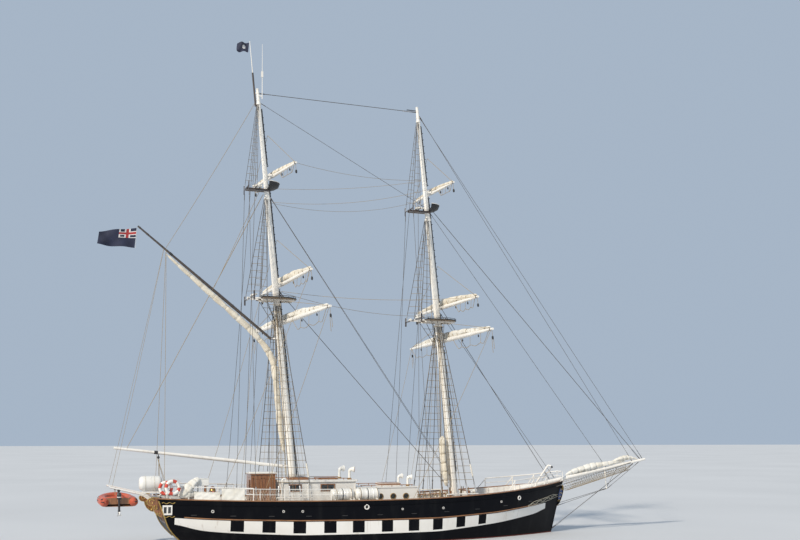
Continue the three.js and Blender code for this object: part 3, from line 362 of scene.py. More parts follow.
# %% Nodes
def node(material, kind, inputs=(), **settings):
    """A node with its settings; an input is linked when it is given a socket, and set otherwise."""
    made = material.node_tree.nodes.new(kind)
    for key, value in settings.items():
        setattr(made, key, value)
    for key, value in dict(inputs).items():
        if isinstance(value, bpy.types.NodeSocket):
            material.node_tree.links.new(value, made.inputs[key])
        else:
            made.inputs[key].default_value = value
    return made


def coordinates(material, stretch=(1, 1, 1), turn=(0, 0, 0), source="Object"):
    """Places on the piece, stretched and turned."""
    places = node(material, "ShaderNodeTexCoord").outputs[source]
    mapping = {"Vector": places, "Scale": stretch, "Rotation": turn}
    return node(material, "ShaderNodeMapping", mapping).outputs["Vector"]


def patches(material, scale, detail=3.0, stretch=(1, 1, 1), source="Object"):
    """Soft random patches, about 1 / scale metres across."""
    inputs = {"Vector": coordinates(material, stretch, source=source), "Scale": scale, "Detail": detail}
    return node(material, "ShaderNodeTexNoise", inputs).outputs["Fac"]


def stops(material, value, marks):
    """A value turned into colours, through marks of place and colour."""
    made = node(material, "ShaderNodeValToRGB", {"Fac": value})
    ramp = made.color_ramp
    for at, (place, color) in enumerate(marks):
        mark = ramp.elements[at] if at < 2 else ramp.elements.new(place)
        mark.position = place
        mark.color = (*color, 1)
    return made.outputs["Color"]


def blend_colors(material, share, first, second, kind="MIX"):
    """Two colours mixed by a share."""
    made = node(material, "ShaderNodeMix", data_type="RGBA", blend_type=kind)
    colors = [s for s in made.inputs if s.type == "RGBA"]
    for socket, value in zip([made.inputs["Factor"], *colors], [share, first, second]):
        if isinstance(value, bpy.types.NodeSocket):
            material.node_tree.links.new(value, socket)
        else:
            socket.default_value = value if isinstance(value, float) else (*value, 1)
    return [s for s in made.outputs if s.type == "RGBA"][0]


def arithmetic(material, operation, first, second=0.0):
    """One sum on one or two values."""
    made = node(material, "ShaderNodeMath", operation=operation)
    for socket, value in zip(made.inputs, (first, second)):
        if isinstance(value, bpy.types.NodeSocket):
            material.node_tree.links.new(value, socket)
        else:
            socket.default_value = value
    return made.outputs["Value"]


def finish(name, color, roughness, metallic=0.0, coat=0.0):
    """A material with its one shader, set to plain values."""
    material = bpy.data.materials.new(name)
    material.use_nodes = True
    shader = material.node_tree.nodes["Principled BSDF"]
    shader.inputs["Base Color"].default_value = (*color, 1)
    shader.inputs["Roughness"].default_value = roughness
    shader.inputs["Metallic"].default_value = metallic
    shader.inputs["Coat Weight"].default_value = coat
    shader.inputs["Coat Roughness"].default_value = 0.15
    return material


def dress(material, color=None, roughness=None, height=None, depth=0.002):
    """Links patterns to the shader: its colour, its roughness between two values, and its relief."""
    links = material.node_tree.links
    shader = material.node_tree.nodes["Principled BSDF"]
    if color is not None:
        links.new(color, shader.inputs["Base Color"])
    if roughness is not None:
        value, low, high = roughness
        spread = node(material, "ShaderNodeMapRange", {"Value": value, "To Min": low, "To Max": high})
        links.new(spread.outputs["Result"], shader.inputs["Roughness"])
    if height is not None:
        relief = node(material, "ShaderNodeBump", {"Height": height, "Strength": 0.6, "Distance": depth})
        links.new(relief.outputs["Normal"], shader.inputs["Normal"])
    return material


# %% Paint
def paint(name, color, aged, stain, roughness=0.35, coat=0.3, streaks=(6, 6, 0.5), spread=0.5):
    """Paint: broad patches that have aged, narrow stains that run down, and a faint brushed relief."""
    made = finish(name, color, roughness, coat=coat)
    broad = stops(made, patches(made, 0.7, 4), [(0.35, color), (0.72, aged)])
    run = stops(made, patches(made, 1.0, 5, streaks), [(0.60, (0, 0, 0)), (0.78, (spread,) * 3)])
    dress(
        made,
        blend_colors(made, run, broad, stain),
        (patches(made, 3, 3), roughness - 0.08, roughness + 0.14),
        patches(made, 40, 2, (1, 1, 0.3)),
        0.0006,
    )
    return made


white_paint = paint("white_paint", (0.86, 0.84, 0.80), (0.78, 0.75, 0.69), (0.42, 0.33, 0.24), 0.42)
mast_paint = paint("mast_paint", (0.90, 0.875, 0.82), (0.83, 0.79, 0.72), (0.45, 0.37, 0.28), 0.42, 0.2,
                   (5, 5, 0.35), 0.45)
white_gloss = paint("white_gloss", (0.84, 0.83, 0.79), (0.76, 0.74, 0.68), (0.5, 0.44, 0.36), 0.25, 0.5)
black_iron = paint("black_iron", (0.022, 0.023, 0.026), (0.04, 0.038, 0.036), (0.10, 0.045, 0.02), 0.5, 0.0)
cream_paint = paint("cream_paint", (0.78, 0.72, 0.56), (0.70, 0.63, 0.47), (0.40, 0.30, 0.2), 0.45)
print("paints made")


# %% [markdown]
# ### Enamel, antifouling and planks
# The topsides are black enamel that shows salt and rain streaks, and the bottom is matt red-brown. One
# material holds both, split by height in the ship's own frame, so the line stays level however the mesh
# runs. Deck planks are a brick pattern with very long bricks, whose joints are the dark caulking.

# %% Hull paint and teak
def hull_paint():
    """Black enamel above the waterline and antifouling below it."""
    made = finish("hull_paint", (0.004, 0.0045, 0.007), 0.35, coat=0.0)
    places = node(made, "ShaderNodeTexCoord").outputs["Object"]
    height = node(made, "ShaderNodeSeparateXYZ", {"Vector": places}).outputs["Z"]
    above = node(made, "ShaderNodeMapRange", {"Value": height, "From Min": 0.055, "From Max": 0.065})
    salt = stops(made, patches(made, 1.0, 6, (2.2, 2.2, 0.5)),
                 [(0.52, (0.003, 0.0034, 0.0055)), (0.82, (0.011, 0.0115, 0.013))])
    fouling = stops(made, patches(made, 1.4, 6), [(0.35, (0.13, 0.03, 0.024)), (0.7, (0.20, 0.06, 0.045))])
    color = blend_colors(made, above.outputs["Result"], fouling, salt)
    weather = patches(made, 2.0, 4)
    rough = node(made, "ShaderNodeMapRange", {"Value": weather, "To Min": 0.30, "To Max": 0.48})
    matt = arithmetic(made, "MULTIPLY", arithmetic(made, "SUBTRACT", 1.0, above.outputs["Result"]), 0.4)
    dress(made, color, None, patches(made, 1.6, 2, (0.8, 1, 1.6)), 0.004)
    shader = made.node_tree.nodes["Principled BSDF"]
    shader.inputs["Specular IOR Level"].default_value = 0.1
    rougher = arithmetic(made, "ADD", rough.outputs["Result"], matt)
    made.node_tree.links.new(rougher, shader.inputs["Roughness"])
    return made


def planks(name, width, length, first, second, seam, roughness, coat=0.0, turn=(0, 0, 0)):
    """Boards with caulked joints, each a little different, with grain along them."""
    made = finish(name, first, roughness, coat=coat)
    inputs = {
        "Vector": coordinates(made, turn=turn), "Color1": (*first, 1), "Color2": (*second, 1),
        "Mortar": (*seam, 1), "Scale": 1.0, "Mortar Size": width * 0.06, "Brick Width": length,
        "Row Height": width,
    }
    boards = node(made, "ShaderNodeTexBrick", inputs, offset=0.37)
    grain = stops(made, patches(made, 9, 5, (0.25, 3, 3)), [(0.3, (0.62, 0.60, 0.57)), (0.7, (1, 1, 1))])
    color = blend_colors(made, 1.0, boards.outputs["Color"], grain, "MULTIPLY")
    joints = arithmetic(made, "SUBTRACT", 1.0, boards.outputs["Fac"])
    return dress(made, color, (patches(made, 4, 3), roughness - 0.1, roughness + 0.1), joints, 0.004)


def varnish(name, light, dark, stretch=(1, 1, 0.12)):
    """Varnished hardwood: grain drawn out along the timber under a clear coat."""
    made = finish(name, light, 0.3, coat=0.8)
    grain = stops(made, patches(made, 14, 6, stretch), [(0.3, dark), (0.68, light)])
    return dress(made, grain, (patches(made, 2, 2), 0.24, 0.42), patches(made, 30, 2, stretch), 0.0005)


black_enamel = hull_paint()
teak = planks("deck_teak", 0.12, 2.6, (0.46, 0.34, 0.22), (0.38, 0.27, 0.165), (0.05, 0.045, 0.04), 0.65)
varnished = varnish("varnished_wood", (0.34, 0.15, 0.055), (0.17, 0.06, 0.02))
dark_varnish = varnish("dark_varnish", (0.085, 0.062, 0.048), (0.035, 0.026, 0.022), (0.15, 1, 1))
varnished_fore_aft = varnish("varnished_timber", (0.36, 0.17, 0.065), (0.19, 0.075, 0.025), (0.12, 1, 1))

# %% [markdown]
# ### Cloth, rope and metal
# Sailcloth is off-white with a soft sheen, creases and damp marks. Rope and wire get a diagonal band
# pattern, which reads as the lay of the strands. Metals vary in roughness where they are worn.

# %% Canvas, rope, wire, metals and covers
def cloth(name, color, shade, roughness=0.9, weave=160.0, crease=0.03, sheen=0.25):
    """Cloth: broad soiled patches, creases and a fine weave of two crossed waves."""
    made = finish(name, color, roughness)
    shader = made.node_tree.nodes["Principled BSDF"]
    shader.inputs["Sheen Weight"].default_value = sheen
    marks = stops(made, patches(made, 2.2, 6), [(0.32, shade), (0.66, color)])
    threads = coordinates(made, source="Object")
    across = node(made, "ShaderNodeTexWave", {"Vector": threads, "Scale": weave}, bands_direction="X")
    along = node(made, "ShaderNodeTexWave", {"Vector": threads, "Scale": weave}, bands_direction="Z")
    woven = arithmetic(made, "MULTIPLY",
                       arithmetic(made, "ADD", across.outputs["Fac"], along.outputs["Fac"]), 0.04)
    creased = arithmetic(made, "ADD", patches(made, 6, 5, (1, 1, 1.6)), woven)
    gloss = (patches(made, 5, 3), roughness - 0.1, min(roughness + 0.05, 1.0))
    return dress(made, marks, gloss, creased, crease)


def laid(name, color, shade, scale, roughness=0.7, metallic=0.0):
    """Rope or wire: diagonal bands for the strands, darker between them."""
    made = finish(name, color, roughness, metallic)
    turned = coordinates(made, turn=(0.5, 0.6, 0.4))
    strands = node(made, "ShaderNodeTexWave", {"Vector": turned, "Scale": scale}).outputs["Fac"]
    dress(made, stops(made, strands, [(0.2, shade), (0.6, color)]),
          (patches(made, 3, 2), roughness - 0.15, roughness + 0.1), strands, 0.002)
    return made


def metal(name, color, worn, roughness):
    """Metal: brighter where it is rubbed, duller where it has weathered."""
    made = finish(name, color, roughness, 1.0)
    marks = stops(made, patches(made, 7, 6), [(0.4, color), (0.65, worn)])
    return dress(made, marks, (patches(made, 12, 4), roughness - 0.1, roughness + 0.2),
                 patches(made, 50, 3), 0.0005)


canvas = cloth("canvas", (0.80, 0.75, 0.64), (0.62, 0.55, 0.43))
white_canvas = cloth("white_canvas", (0.84, 0.82, 0.76), (0.68, 0.64, 0.55))
wire = laid("wire_rope", (0.13, 0.115, 0.10), (0.055, 0.048, 0.043), 30, 0.6)
hemp = laid("hemp", (0.42, 0.33, 0.20), (0.22, 0.16, 0.09), 34, 0.85)
white_rope = laid("white_rope", (0.78, 0.75, 0.68), (0.5, 0.46, 0.38), 34, 0.8)
steel = metal("bare_steel", (0.42, 0.43, 0.45), (0.6, 0.6, 0.6), 0.4)
bronze = metal("bronze", (0.40, 0.24, 0.09), (0.58, 0.40, 0.18), 0.35)
gilt = metal("gilt", (0.62, 0.42, 0.13), (0.75, 0.55, 0.22), 0.38)
orange_cover = cloth("orange_fabric", (0.62, 0.12, 0.05), (0.42, 0.07, 0.035), 0.55, 120.0, 0.012, 0.1)
ring_red = paint("red_plastic", (0.62, 0.06, 0.035), (0.5, 0.09, 0.06), (0.3, 0.08, 0.05), 0.45, 0.1)
cowl = paint("dark_plastic", (0.03, 0.03, 0.034), (0.06, 0.06, 0.06), (0.10, 0.09, 0.08), 0.32, 0.3)
blue_paint = paint("blue_paint", (0.035, 0.07, 0.22), (0.05, 0.09, 0.22), (0.1, 0.1, 0.12), 0.4)
glass = finish("window_glass", (0.012, 0.016, 0.018), 0.06, coat=1.0)
dress(glass, stops(glass, patches(glass, 3, 3), [(0.35, (0.008, 0.011, 0.012)), (0.7, (0.03, 0.036, 0.038))]),
      (patches(glass, 8, 3), 0.04, 0.16))
print("finishes:", len(bpy.data.materials))

# %% [markdown]
# ## The floor
# The floor lies at the waterline and stops well beyond the view on all sides. It rides on no body of the
# ship.

# %% Floor
floor_paint = finish("floor", (0.62, 0.63, 0.64), 0.8)
dress(floor_paint, stops(floor_paint, patches(floor_paint, 0.05, 2),
                         [(0.3, (0.60, 0.61, 0.62)), (0.7, (0.65, 0.66, 0.67))]))
floor_grid = np.stack(np.meshgrid(np.linspace(-900, 900, 7), np.linspace(-900, 900, 7), [0.0],
                                  indexing="ij"), -1)[:, :, 0]
floor = piece("floor", [slab(floor_grid, floor_grid - [0, 0, 0.2])], [floor_paint], body=None)

# %% [markdown]
# ## The shape of the hull
# A hull is drawn as lines at several heights, each running from the stern to the stem. Each line here is
# a short formula, and the surface between the lines is a smooth curve through all of them. This is how a
# loftsman fairs a ship: a few lines, then battens through them.

# %% Lines of the hull
WIDEST = -1.0
COLUMNS = ("z", "z_fore", "z_aft", "x_fore", "x_aft", "half", "half_fore", "half_aft",
           "p_fore", "q_fore", "p_aft", "q_aft")
LEVELS = np.array([
    [-2.10, -2.10, -2.10, 8.60, -9.35, 0.135, 0.04, 0.09, 2.0, 1.00, 2.0, 1.0],
    [-1.78, -1.50, -1.80, 9.50, -9.38, 1.280, 0.04, 0.09, 1.6, 1.40, 1.6, 1.9],
    [-1.20, -0.95, -1.25, 10.15, -9.41, 2.180, 0.04, 0.09, 1.7, 1.25, 1.7, 1.9],
    [-0.56, -0.42, -0.60, 10.60, -9.45, 2.700, 0.04, 0.09, 1.9, 1.15, 2.0, 1.4],
    [0.00, 0.00, 0.05, 10.85, -10.40, 2.890, 0.04, 1.10, 2.4, 1.05, 2.4, 1.0],
    [0.70, 1.15, 0.90, 11.15, -11.25, 2.940, 0.04, 1.75, 2.7, 1.05, 2.6, 1.0],
    [1.43, 2.13, 1.67, 11.40, -11.60, 2.950, 0.04, 2.05, 3.0, 1.05, 2.6, 1.0],
    [2.25, 2.98, 2.50, 11.65, -11.90, 2.950, 0.04, 2.20, 3.0, 1.05, 2.6, 1.0],
])
DECK_LEVEL, RAIL_LEVEL = 6, 7


def level_points(s, inset=0.0, end_inset=None):
    """Points on all lines at places s, from -1 at the stern to 1 at the stem, on the port side.

    With t = |s|: half breadth = end + (middle - end) (1 - t^p)^q, and the height rises with t^2.2."""
    s = np.atleast_1d(np.asarray(s, float))
    t, fore = np.abs(s), s >= 0
    row = dict(zip(COLUMNS, LEVELS.T[:, :, None]))
    end_inset = inset if end_inset is None else end_inset
    end_x = np.where(fore, row["x_fore"] - end_inset, row["x_aft"] + end_inset)
    end_half = np.maximum(np.where(fore, row["half_fore"], row["half_aft"]) - inset, 0.012)
    power = np.where(fore, row["p_fore"], row["p_aft"])
    fullness = np.where(fore, row["q_fore"], row["q_aft"])
    half = end_half + (row["half"] - inset - end_half) * np.clip(1 - t ** power, 0, 1) ** fullness
    end_z = np.where(fore, row["z_fore"], row["z_aft"])
    return np.stack([WIDEST + (end_x - WIDEST) * t, half, row["z"] + (end_z - row["z"]) * t ** 2.2], -1)


def cubic(a, b, c, d, f):
    """A smooth curve from b to c at the share f of the way, led by a before b and d after c."""
    square, cube = 2 * a - 5 * b + 4 * c - d, 3 * b - a - 3 * c + d
    return 0.5 * (2 * b + (c - a) * f + square * f ** 2 + cube * f ** 3)


def hull_at(s, v):
    """The hull between its lines: the curve through four neighbours, v = 0 at the keel, 7 at the rail."""
    s, v = (a.ravel() for a in np.broadcast_arrays(np.asarray(s, float), np.asarray(v, float)))
    lines = level_points(s)
    lines = np.concatenate([2 * lines[:1] - lines[1:2], lines, 2 * lines[-1:] - lines[-2:-1]])
    low = np.clip(np.floor(v).astype(int), 0, 6)
    f = (v - low)[:, None]
    return cubic(*(lines[low + k, np.arange(len(s))] for k in range(4)), f)


NEWTON_STEPS, NUDGE = 14, 1e-4


def hull_spot(x, z, proud=0.0):
    """The port side's surface at given x and z, moved out along its normal: solved by Newton's steps."""
    x, z = (a.ravel() for a in np.broadcast_arrays(np.asarray(x, float), np.asarray(z, float)))
    s = np.clip((x - WIDEST) / np.where(x > WIDEST, 12.4, 10.6), -0.99, 0.99)
    v = np.interp(z, LEVELS[:, 0], np.arange(8.0))
    for _step in range(NEWTON_STEPS):
        here = hull_at(s, v)
        by_s, by_v = (hull_at(s + NUDGE, v) - here) / NUDGE, (hull_at(s, v + NUDGE) - here) / NUDGE
        dx, dz = x - here[:, 0], z - here[:, 2]
        whole = by_s[:, 0] * by_v[:, 2] - by_v[:, 0] * by_s[:, 2]
        s = np.clip(s + (dx * by_v[:, 2] - dz * by_v[:, 0]) / whole, -0.999, 0.999)
        v = np.clip(v + (by_s[:, 0] * dz - by_s[:, 2] * dx) / whole, 0, 6.999)
    normal = unit(np.cross(by_s, by_v))
    normal *= np.where(normal[:, 1:2] < 0, -1, 1)
    return hull_at(s, v) + proud * normal


def deck_height(x):
    """The deck's upper surface at a place along the ship."""
    x = np.asarray(x, float)
    fore = x > WIDEST
    t = (x - WIDEST) / (np.where(fore, 11.4, -11.6) - WIDEST)
    return 1.43 + np.where(fore, 0.70, 0.24) * np.abs(t) ** 2.2 + 0.05


def rail_points(x):
    """Points of the rail at places along the ship: s is the share of the length fore or aft of the middle."""
    x = np.asarray(x, float)
    s = (x - WIDEST) / np.where(x > WIDEST, 12.65, 10.9)
    return level_points(s)[RAIL_LEVEL]


def rail_half(x):
    """Half breadths at the rail at places along the ship."""
    return rail_points(x)[:, 1]


def rail_height(x):
    """Heights of the rail at places along the ship."""
    return rail_points(x)[:, 2]


def by_rail(x, side, inset, rise=0.0):
    """Points beside the rail of one side: moved in by an inset and up by a rise."""
    return np.stack([x, side * (rail_half(x) - inset), rail_height(x) + rise], -1)


print("deck at the mainmast:", round(float(deck_height(-4.45)), 3))

# %% [markdown]
# ## The hull's shell
# Plates welded on frames make the real hull. One skin over cross sections is enough here: each section
# runs up inside the bulwark, over the rail, down the side to the keel and up the other side.

# %% Hull
stations = np.linspace(-1, 1, 161)
down = np.linspace(7, 0, 40)
side_points = hull_at(stations[:, None], down[None, :]).reshape(161, 40, 3)
inner = level_points(stations, 0.06, 0.2)
half_ring = np.concatenate([inner[DECK_LEVEL, :, None], inner[RAIL_LEVEL, :, None], side_points], 1)
other_half = half_ring[:, ::-1] * [1, -1, 1]
hull_rings = np.concatenate([half_ring, other_half], 1)
ring_size = hull_rings.shape[1]
hull_skin = skin(hull_rings)
k = np.arange(ring_size // 2 - 1)
end_strip = np.stack([k, k + 1, ring_size - 2 - k, ring_size - 1 - k], -1)
last_strip = (160 * ring_size + end_strip)[:, ::-1]
wall_sizes, wall_corners = hull_skin.sizes[:-2], hull_skin.corners[: 4 * len(hull_skin.sizes[:-2])]
strip_corners = np.concatenate([end_strip.ravel(), last_strip.ravel()])
painted_inside = np.isin(np.tile(np.arange(ring_size), 160), [0, ring_size - 2]).astype(int)
hull_surface = outward(Surface(
    hull_rings,
    np.concatenate([wall_corners, strip_corners]),
    np.concatenate([wall_sizes, np.full(2 * len(k), 4)]),
    None,
    np.concatenate([painted_inside, np.zeros(2 * len(k), int)]),
))
piece("hull_shell", [hull_surface], [black_enamel, white_paint],
      stands_for=("hull", "bulwark"), crease=45)
print("hull volume, cubic metres:", round(float(volume(hull_surface)), 1))

# %% [markdown]
# ## The chequered band, the rail and the deck
# The band is painted plating a few millimetres proud, laid on the hull by solving for the place of each
# corner. Its columns run along the squares' edges, so each square is a whole number of faces and its
# finish can be picked face by face.

# %% Chequered band
# BAND: place along the ship, top height, bottom height. SQUARES: after end, length.
BAND = np.array([
    [-11.10, 1.57, 1.28], [-9.94, 1.46, 0.90], [-8.50, 1.38, 0.76], [-5.00, 1.25, 0.57],
    [-1.00, 1.20, 0.53], [2.70, 1.20, 0.535], [6.50, 1.39, 0.84], [9.60, 1.70, 1.24], [10.15, 1.80, 1.52],
])
SQUARES = np.array([
    [-8.42, 0.66], [-6.85, 0.66], [-5.29, 0.65], [-3.70, 0.65], [-2.18, 0.64], [-0.60, 0.62], [0.90, 0.60],
    [2.30, 0.57], [3.71, 0.54], [5.11, 0.50],
])


def band_edges(x):
    """Heights of the band's top and bottom edges at a place along the ship, rounded between the marks."""
    grid = np.linspace(-11.1, 10.15, 400)
    soft = np.exp(-np.linspace(-2, 2, 41) ** 2)
    soft /= soft.sum()
    edges = []
    for column in (1, 2):
        line = np.interp(grid, BAND[:, 0], BAND[:, column])
        padded_line = np.concatenate([np.full(20, line[0]), line, np.full(20, line[-1])])
        edges.append(np.interp(x, grid, np.convolve(padded_line, soft, "valid")))
    return edges


square_ends = np.concatenate([SQUARES[:, 0], SQUARES.sum(1)])
columns = np.unique(np.round(np.concatenate([np.linspace(-11.1, 10.15, 86), square_ends]), 3))
shares = np.array([0, 0.07, 0.13, 0.4, 0.7, 1.0])
top_edge, bottom_edge = band_edges(columns)
band_x = np.repeat(columns[:, None], len(shares), 1)
band_z = bottom_edge[:, None] + (top_edge - bottom_edge)[:, None] * shares[None]
front = hull_spot(band_x, band_z, 0.006).reshape(*band_x.shape, 3)
back = hull_spot(band_x, band_z, -0.004).reshape(*band_x.shape, 3)
middle_x = (columns[:-1] + columns[1:]) / 2
in_square = np.any((middle_x[:, None] > SQUARES[:, 0]) & (middle_x[:, None] < SQUARES.sum(1)), 1)
black = np.zeros((len(middle_x), len(shares) - 1), int)
black[in_square, 2:] = 1
band = slab(front, back, finish=black.ravel())
piece("chequered_band", both_sides([band]), [white_paint, black_enamel])
print("squares a side:", len(SQUARES))

# %% [markdown]
# The rail is a varnished timber cap with rounded edges. Below it a half-round strake runs round the hull,
# and a second, varnished one along the band's upper edge, whose lighter colour is partly its own and partly
# a painted highlight of the light along that edge. Each is one section carried along the hull's own lines.

# %% Rail cap and strakes
run = np.linspace(-1, 1, 121)
rail_out, rail_in = level_points(run, -0.045)[RAIL_LEVEL], level_points(run, 0.115)[RAIL_LEVEL]
section = np.array([[0, 0], [0, 0.8], [0.12, 1], [0.88, 1], [1, 0.8], [1, 0]])
cap_rings = rail_out[:, None] + (rail_in - rail_out)[:, None] * section[None, :, :1]
cap_rings = cap_rings + section[None, :, 1:] * [0, 0, 0.055]
stern_cap = blocks([[-12.0, -11.78, -2.26, 2.26, 2.5, 2.555]], 0)
piece("rail_cap", both_sides([skin(cap_rings)]) + [stern_cap], [varnished_fore_aft],
      bevel=0.008)

strake_x = np.linspace(-11.4, 10.9, 120)
under_rail = rail_height(strake_x) - 0.22
upper_strake = tube(hull_spot(strake_x, under_rail, 0.005), 0.032, 8)
band_top = band_edges(np.clip(strake_x, -11.1, 10.15))[0] + 0.06
# The lower strake's varnished colour is partly its own and partly a painted highlight along the band's top
# edge.
lower_strake_with_painted_glint = tube(hull_spot(strake_x[4:-8], band_top[4:-8], 0.004), 0.03, 8, finish=1)
piece("strakes", both_sides([upper_strake, lower_strake_with_painted_glint]), [black_enamel, varnished_fore_aft])

# %% [markdown]
# The deck is planked fore and aft. It is cut to the same formula as the hull, so it meets the bulwark all
# round, and a painted waterway covers the planks' ends along the sides.

# %% Deck planking and waterway
deck_run = np.linspace(-0.995, 0.992, 90)
edge = level_points(deck_run, 0.055, 0.19)[DECK_LEVEL]
across = np.array([1, 0.5, 0, -0.5, -1, -1, 0, 1.0])
rise = np.array([0.052, 0.052, 0.052, 0.052, 0.052, 0, 0, 0])
deck_rings = np.stack([
    np.repeat(edge[:, :1], 8, 1), edge[:, 1:2] * across, edge[:, 2:3] + rise[None],
], -1)
piece("deck_planking", [skin(deck_rings)], [teak], stands_for=("deck",))
inner_edge = level_points(deck_run, 0.26, 0.35)[DECK_LEVEL]
water_rings = np.stack([edge, edge + [0, 0, 0.09], inner_edge + [0, 0, 0.075], inner_edge], 1)
piece("waterway", both_sides([skin(water_rings)]), [white_paint], bevel=0.01)

# %% [markdown]
# Inside the bulwark stand steel stanchions, a frame apart. The fairleads are round rings let into the
# plating, each a turned ring with a black disc in its mouth, and the scuppers are short black slots at the
# deck's height. The black discs and slots are painted shade: they stand for the dark inside the openings.

# %% Stanchions, fairleads and scuppers
stanchion_x = np.arange(-11.0, 10.4, 0.85)
inside = level_points((stanchion_x - WIDEST) / np.where(stanchion_x > WIDEST, 12.4, 10.6), 0.065)
foot, head = inside[DECK_LEVEL], inside[RAIL_LEVEL]
foot = np.stack([stanchion_x, foot[:, 1] - 0.16, deck_height(stanchion_x)], -1)
head = np.stack([stanchion_x, head[:, 1] - 0.02, head[:, 2] - 0.01], -1)
ribs = bars(foot, head, 0.022, 4)
piece("bulwark_stanchions", both_sides([ribs]), [white_paint])

# each fairlead's place along the ship, its height and its radius
port_x = np.array([-9.3, -5.8, -4.82, -1.42, 0.55, 2.9, 6.6, 7.9])
port_z = np.array([1.86, 1.80, 1.78, 1.93, 1.78, 1.78, 2.0, 2.16])
port_r = np.array([0.06, 0.05, 0.05, 0.11, 0.045, 0.05, 0.05, 0.1])
fairleads = []
for x, z, r in zip(port_x, port_z, port_r):
    spot = hull_spot([x, x], [z, z], 0.0)[0]
    out = unit(hull_spot(x, z, 1.0)[0] - spot)
    fairleads.append(ring(spot + 0.008 * out, out, r, r * 0.28, 20, 8))
    # The black disc in each fairlead's mouth is painted shade: it stands for the dark of the opening.
    mouth = [[0.002, -0.02], [r * 0.9, -0.02], [r * 0.9, 0.012], [0.002, 0.012]]
    fairleads.append(lathe(mouth, spot, out, 16, finish=1))
# The black scupper slots are painted shade: they stand for the dark of the openings at the deck.
slot_x = np.arange(-10.2, 9.0, 1.9)
slot_z = deck_height(slot_x) + 0.03
scupper_shade_slots = []
for x, z in zip(slot_x, slot_z):
    a, b = hull_spot([x - 0.14, x + 0.14], [z, z], 0.002)
    scupper_shade_slots.append(tube(np.stack([a, a + (b - a) * 0.5, b]), 0.02, 6, finish=1))
piece("fairleads", both_sides(fairleads + scupper_shade_slots), [white_paint, black_iron])

# %% [markdown]
# ## Masts
# Each mast is one steel pole that tapers to its truck, and rakes aft. Everything on it is placed along its
# own axis, so a small frame of reference is worked out for any height: x ahead, y to port, z up the mast.

# %% Places on the masts
MAST_COLUMNS = ("x", "rake", "foot", "top", "crosstrees", "truck")
MASTS = {
    "fore": dict(zip(MAST_COLUMNS, (4.85, 6.0, 1.4, 12.07, 18.15, 23.95))),
    "main": dict(zip(MAST_COLUMNS, (-4.45, 5.3, 1.4, 12.85, 18.60, 23.90))),
}
MAST_RADII = np.array([[0, 0.215], [0.45, 0.185], [0.70, 0.150], [0.97, 0.095], [1, 0.070]])
PIN_REACH, YARD_AHEAD = 0.33, 0.16
BOOM_Z, GAFF_Z, SHEET_SHARE, STAFF_AFT = 4.06, 10.82, 0.76, 0.175


def on_mast(mast, z, ahead=0.0, side=0.0):
    """A place on a mast's centreline at a height, moved ahead and to port: x falls by the rake's tangent."""
    m = MASTS[mast]
    z = np.asarray(z, float)
    x = m["x"] - (z - m["foot"]) * np.tan(np.radians(m["rake"])) + ahead
    return np.stack(np.broadcast_arrays(x, np.asarray(side, float), z), -1)


def mast_radius(mast, z):
    """The mast's radius at a height."""
    m = MASTS[mast]
    return np.interp((z - m["foot"]) / (m["truck"] - m["foot"]), MAST_RADII[:, 0], MAST_RADII[:, 1])


def mast_frame(mast, z, ahead=0.0, brace=0.0):
    """Three directions at a height on a mast, turned about the mast's axis, and their origin."""
    rake, turn = np.radians(MASTS[mast]["rake"]), np.radians(brace)
    fore = np.array([np.cos(rake), 0, np.sin(rake)])
    port = np.array([0.0, 1.0, 0.0])
    axes = np.stack([
        np.cos(turn) * fore + np.sin(turn) * port,
        -np.sin(turn) * fore + np.cos(turn) * port,
        [-np.sin(rake), 0, np.cos(rake)],
    ])
    return axes, on_mast(mast, z) + ahead * fore


def hoop(mast, z, proud=0.012, height=0.07, finish=0):
    """A band round a mast at a height."""
    r = float(mast_radius(mast, z))
    profile = band_profile(r - 0.02, r + proud, height / 2)
    return lathe(profile, on_mast(mast, z), mast_frame(mast, z)[0][2], 24, finish=finish)


# %% [markdown]
# Round the pole go welded bands, one for each set of eyes, and the brackets that carry the yards' pins.
# Steps climb the fore side on a black track; the black of track and steps is partly their own colour and
# partly painted shade along the mast's shaded fore edge. At the deck a canvas coat is lashed over the wedges.

# %% Mast poles
# mast, name, height, half length, radius in the middle and at the tips, brace in degrees, sail's radius
YARD_ROWS = [
    ("fore", "fore_course", 11.00, 6.20, 0.125, 0.060, -1.0, 0.19),
    ("fore", "fore_topsail", 12.85, 4.45, 0.110, 0.055, 1.0, 0.21),
    ("fore", "fore_topgallant", 19.25, 2.50, 0.080, 0.045, 5.0, 0.13),
    ("main", "main_course", 11.70, 6.30, 0.125, 0.060, 5.5, 0.19),
    ("main", "main_topsail", 13.70, 4.80, 0.110, 0.055, 3.0, 0.21),
    ("main", "main_topgallant", 19.40, 2.80, 0.080, 0.045, 11.0, 0.13),
]
nose_turn = np.linspace(-np.pi / 2, np.pi / 2, 9)
nose = np.stack([PIN_REACH + 0.06 * np.cos(nose_turn), 0.06 * np.sin(nose_turn)], -1)
BRACKET = np.concatenate([[[0, -0.06]], nose, [[0, 0.06]]])


def bracket(mast, z, ahead):
    """A flat arm with a round nose from the mast to a pin, with a web under it."""
    outline = BRACKET * [np.sign(ahead), 1]
    web = np.array([[0.05, -0.035], [0.24, -0.035], [0.05, -0.26]]) * [np.sign(ahead), 1]
    axes, origin = mast_frame(mast, z)
    return [placed(q, axes, origin)
            for q in (plate(outline, -0.035, 0.035, "xy"), plate(web, -0.01, 0.01, "xz"))]


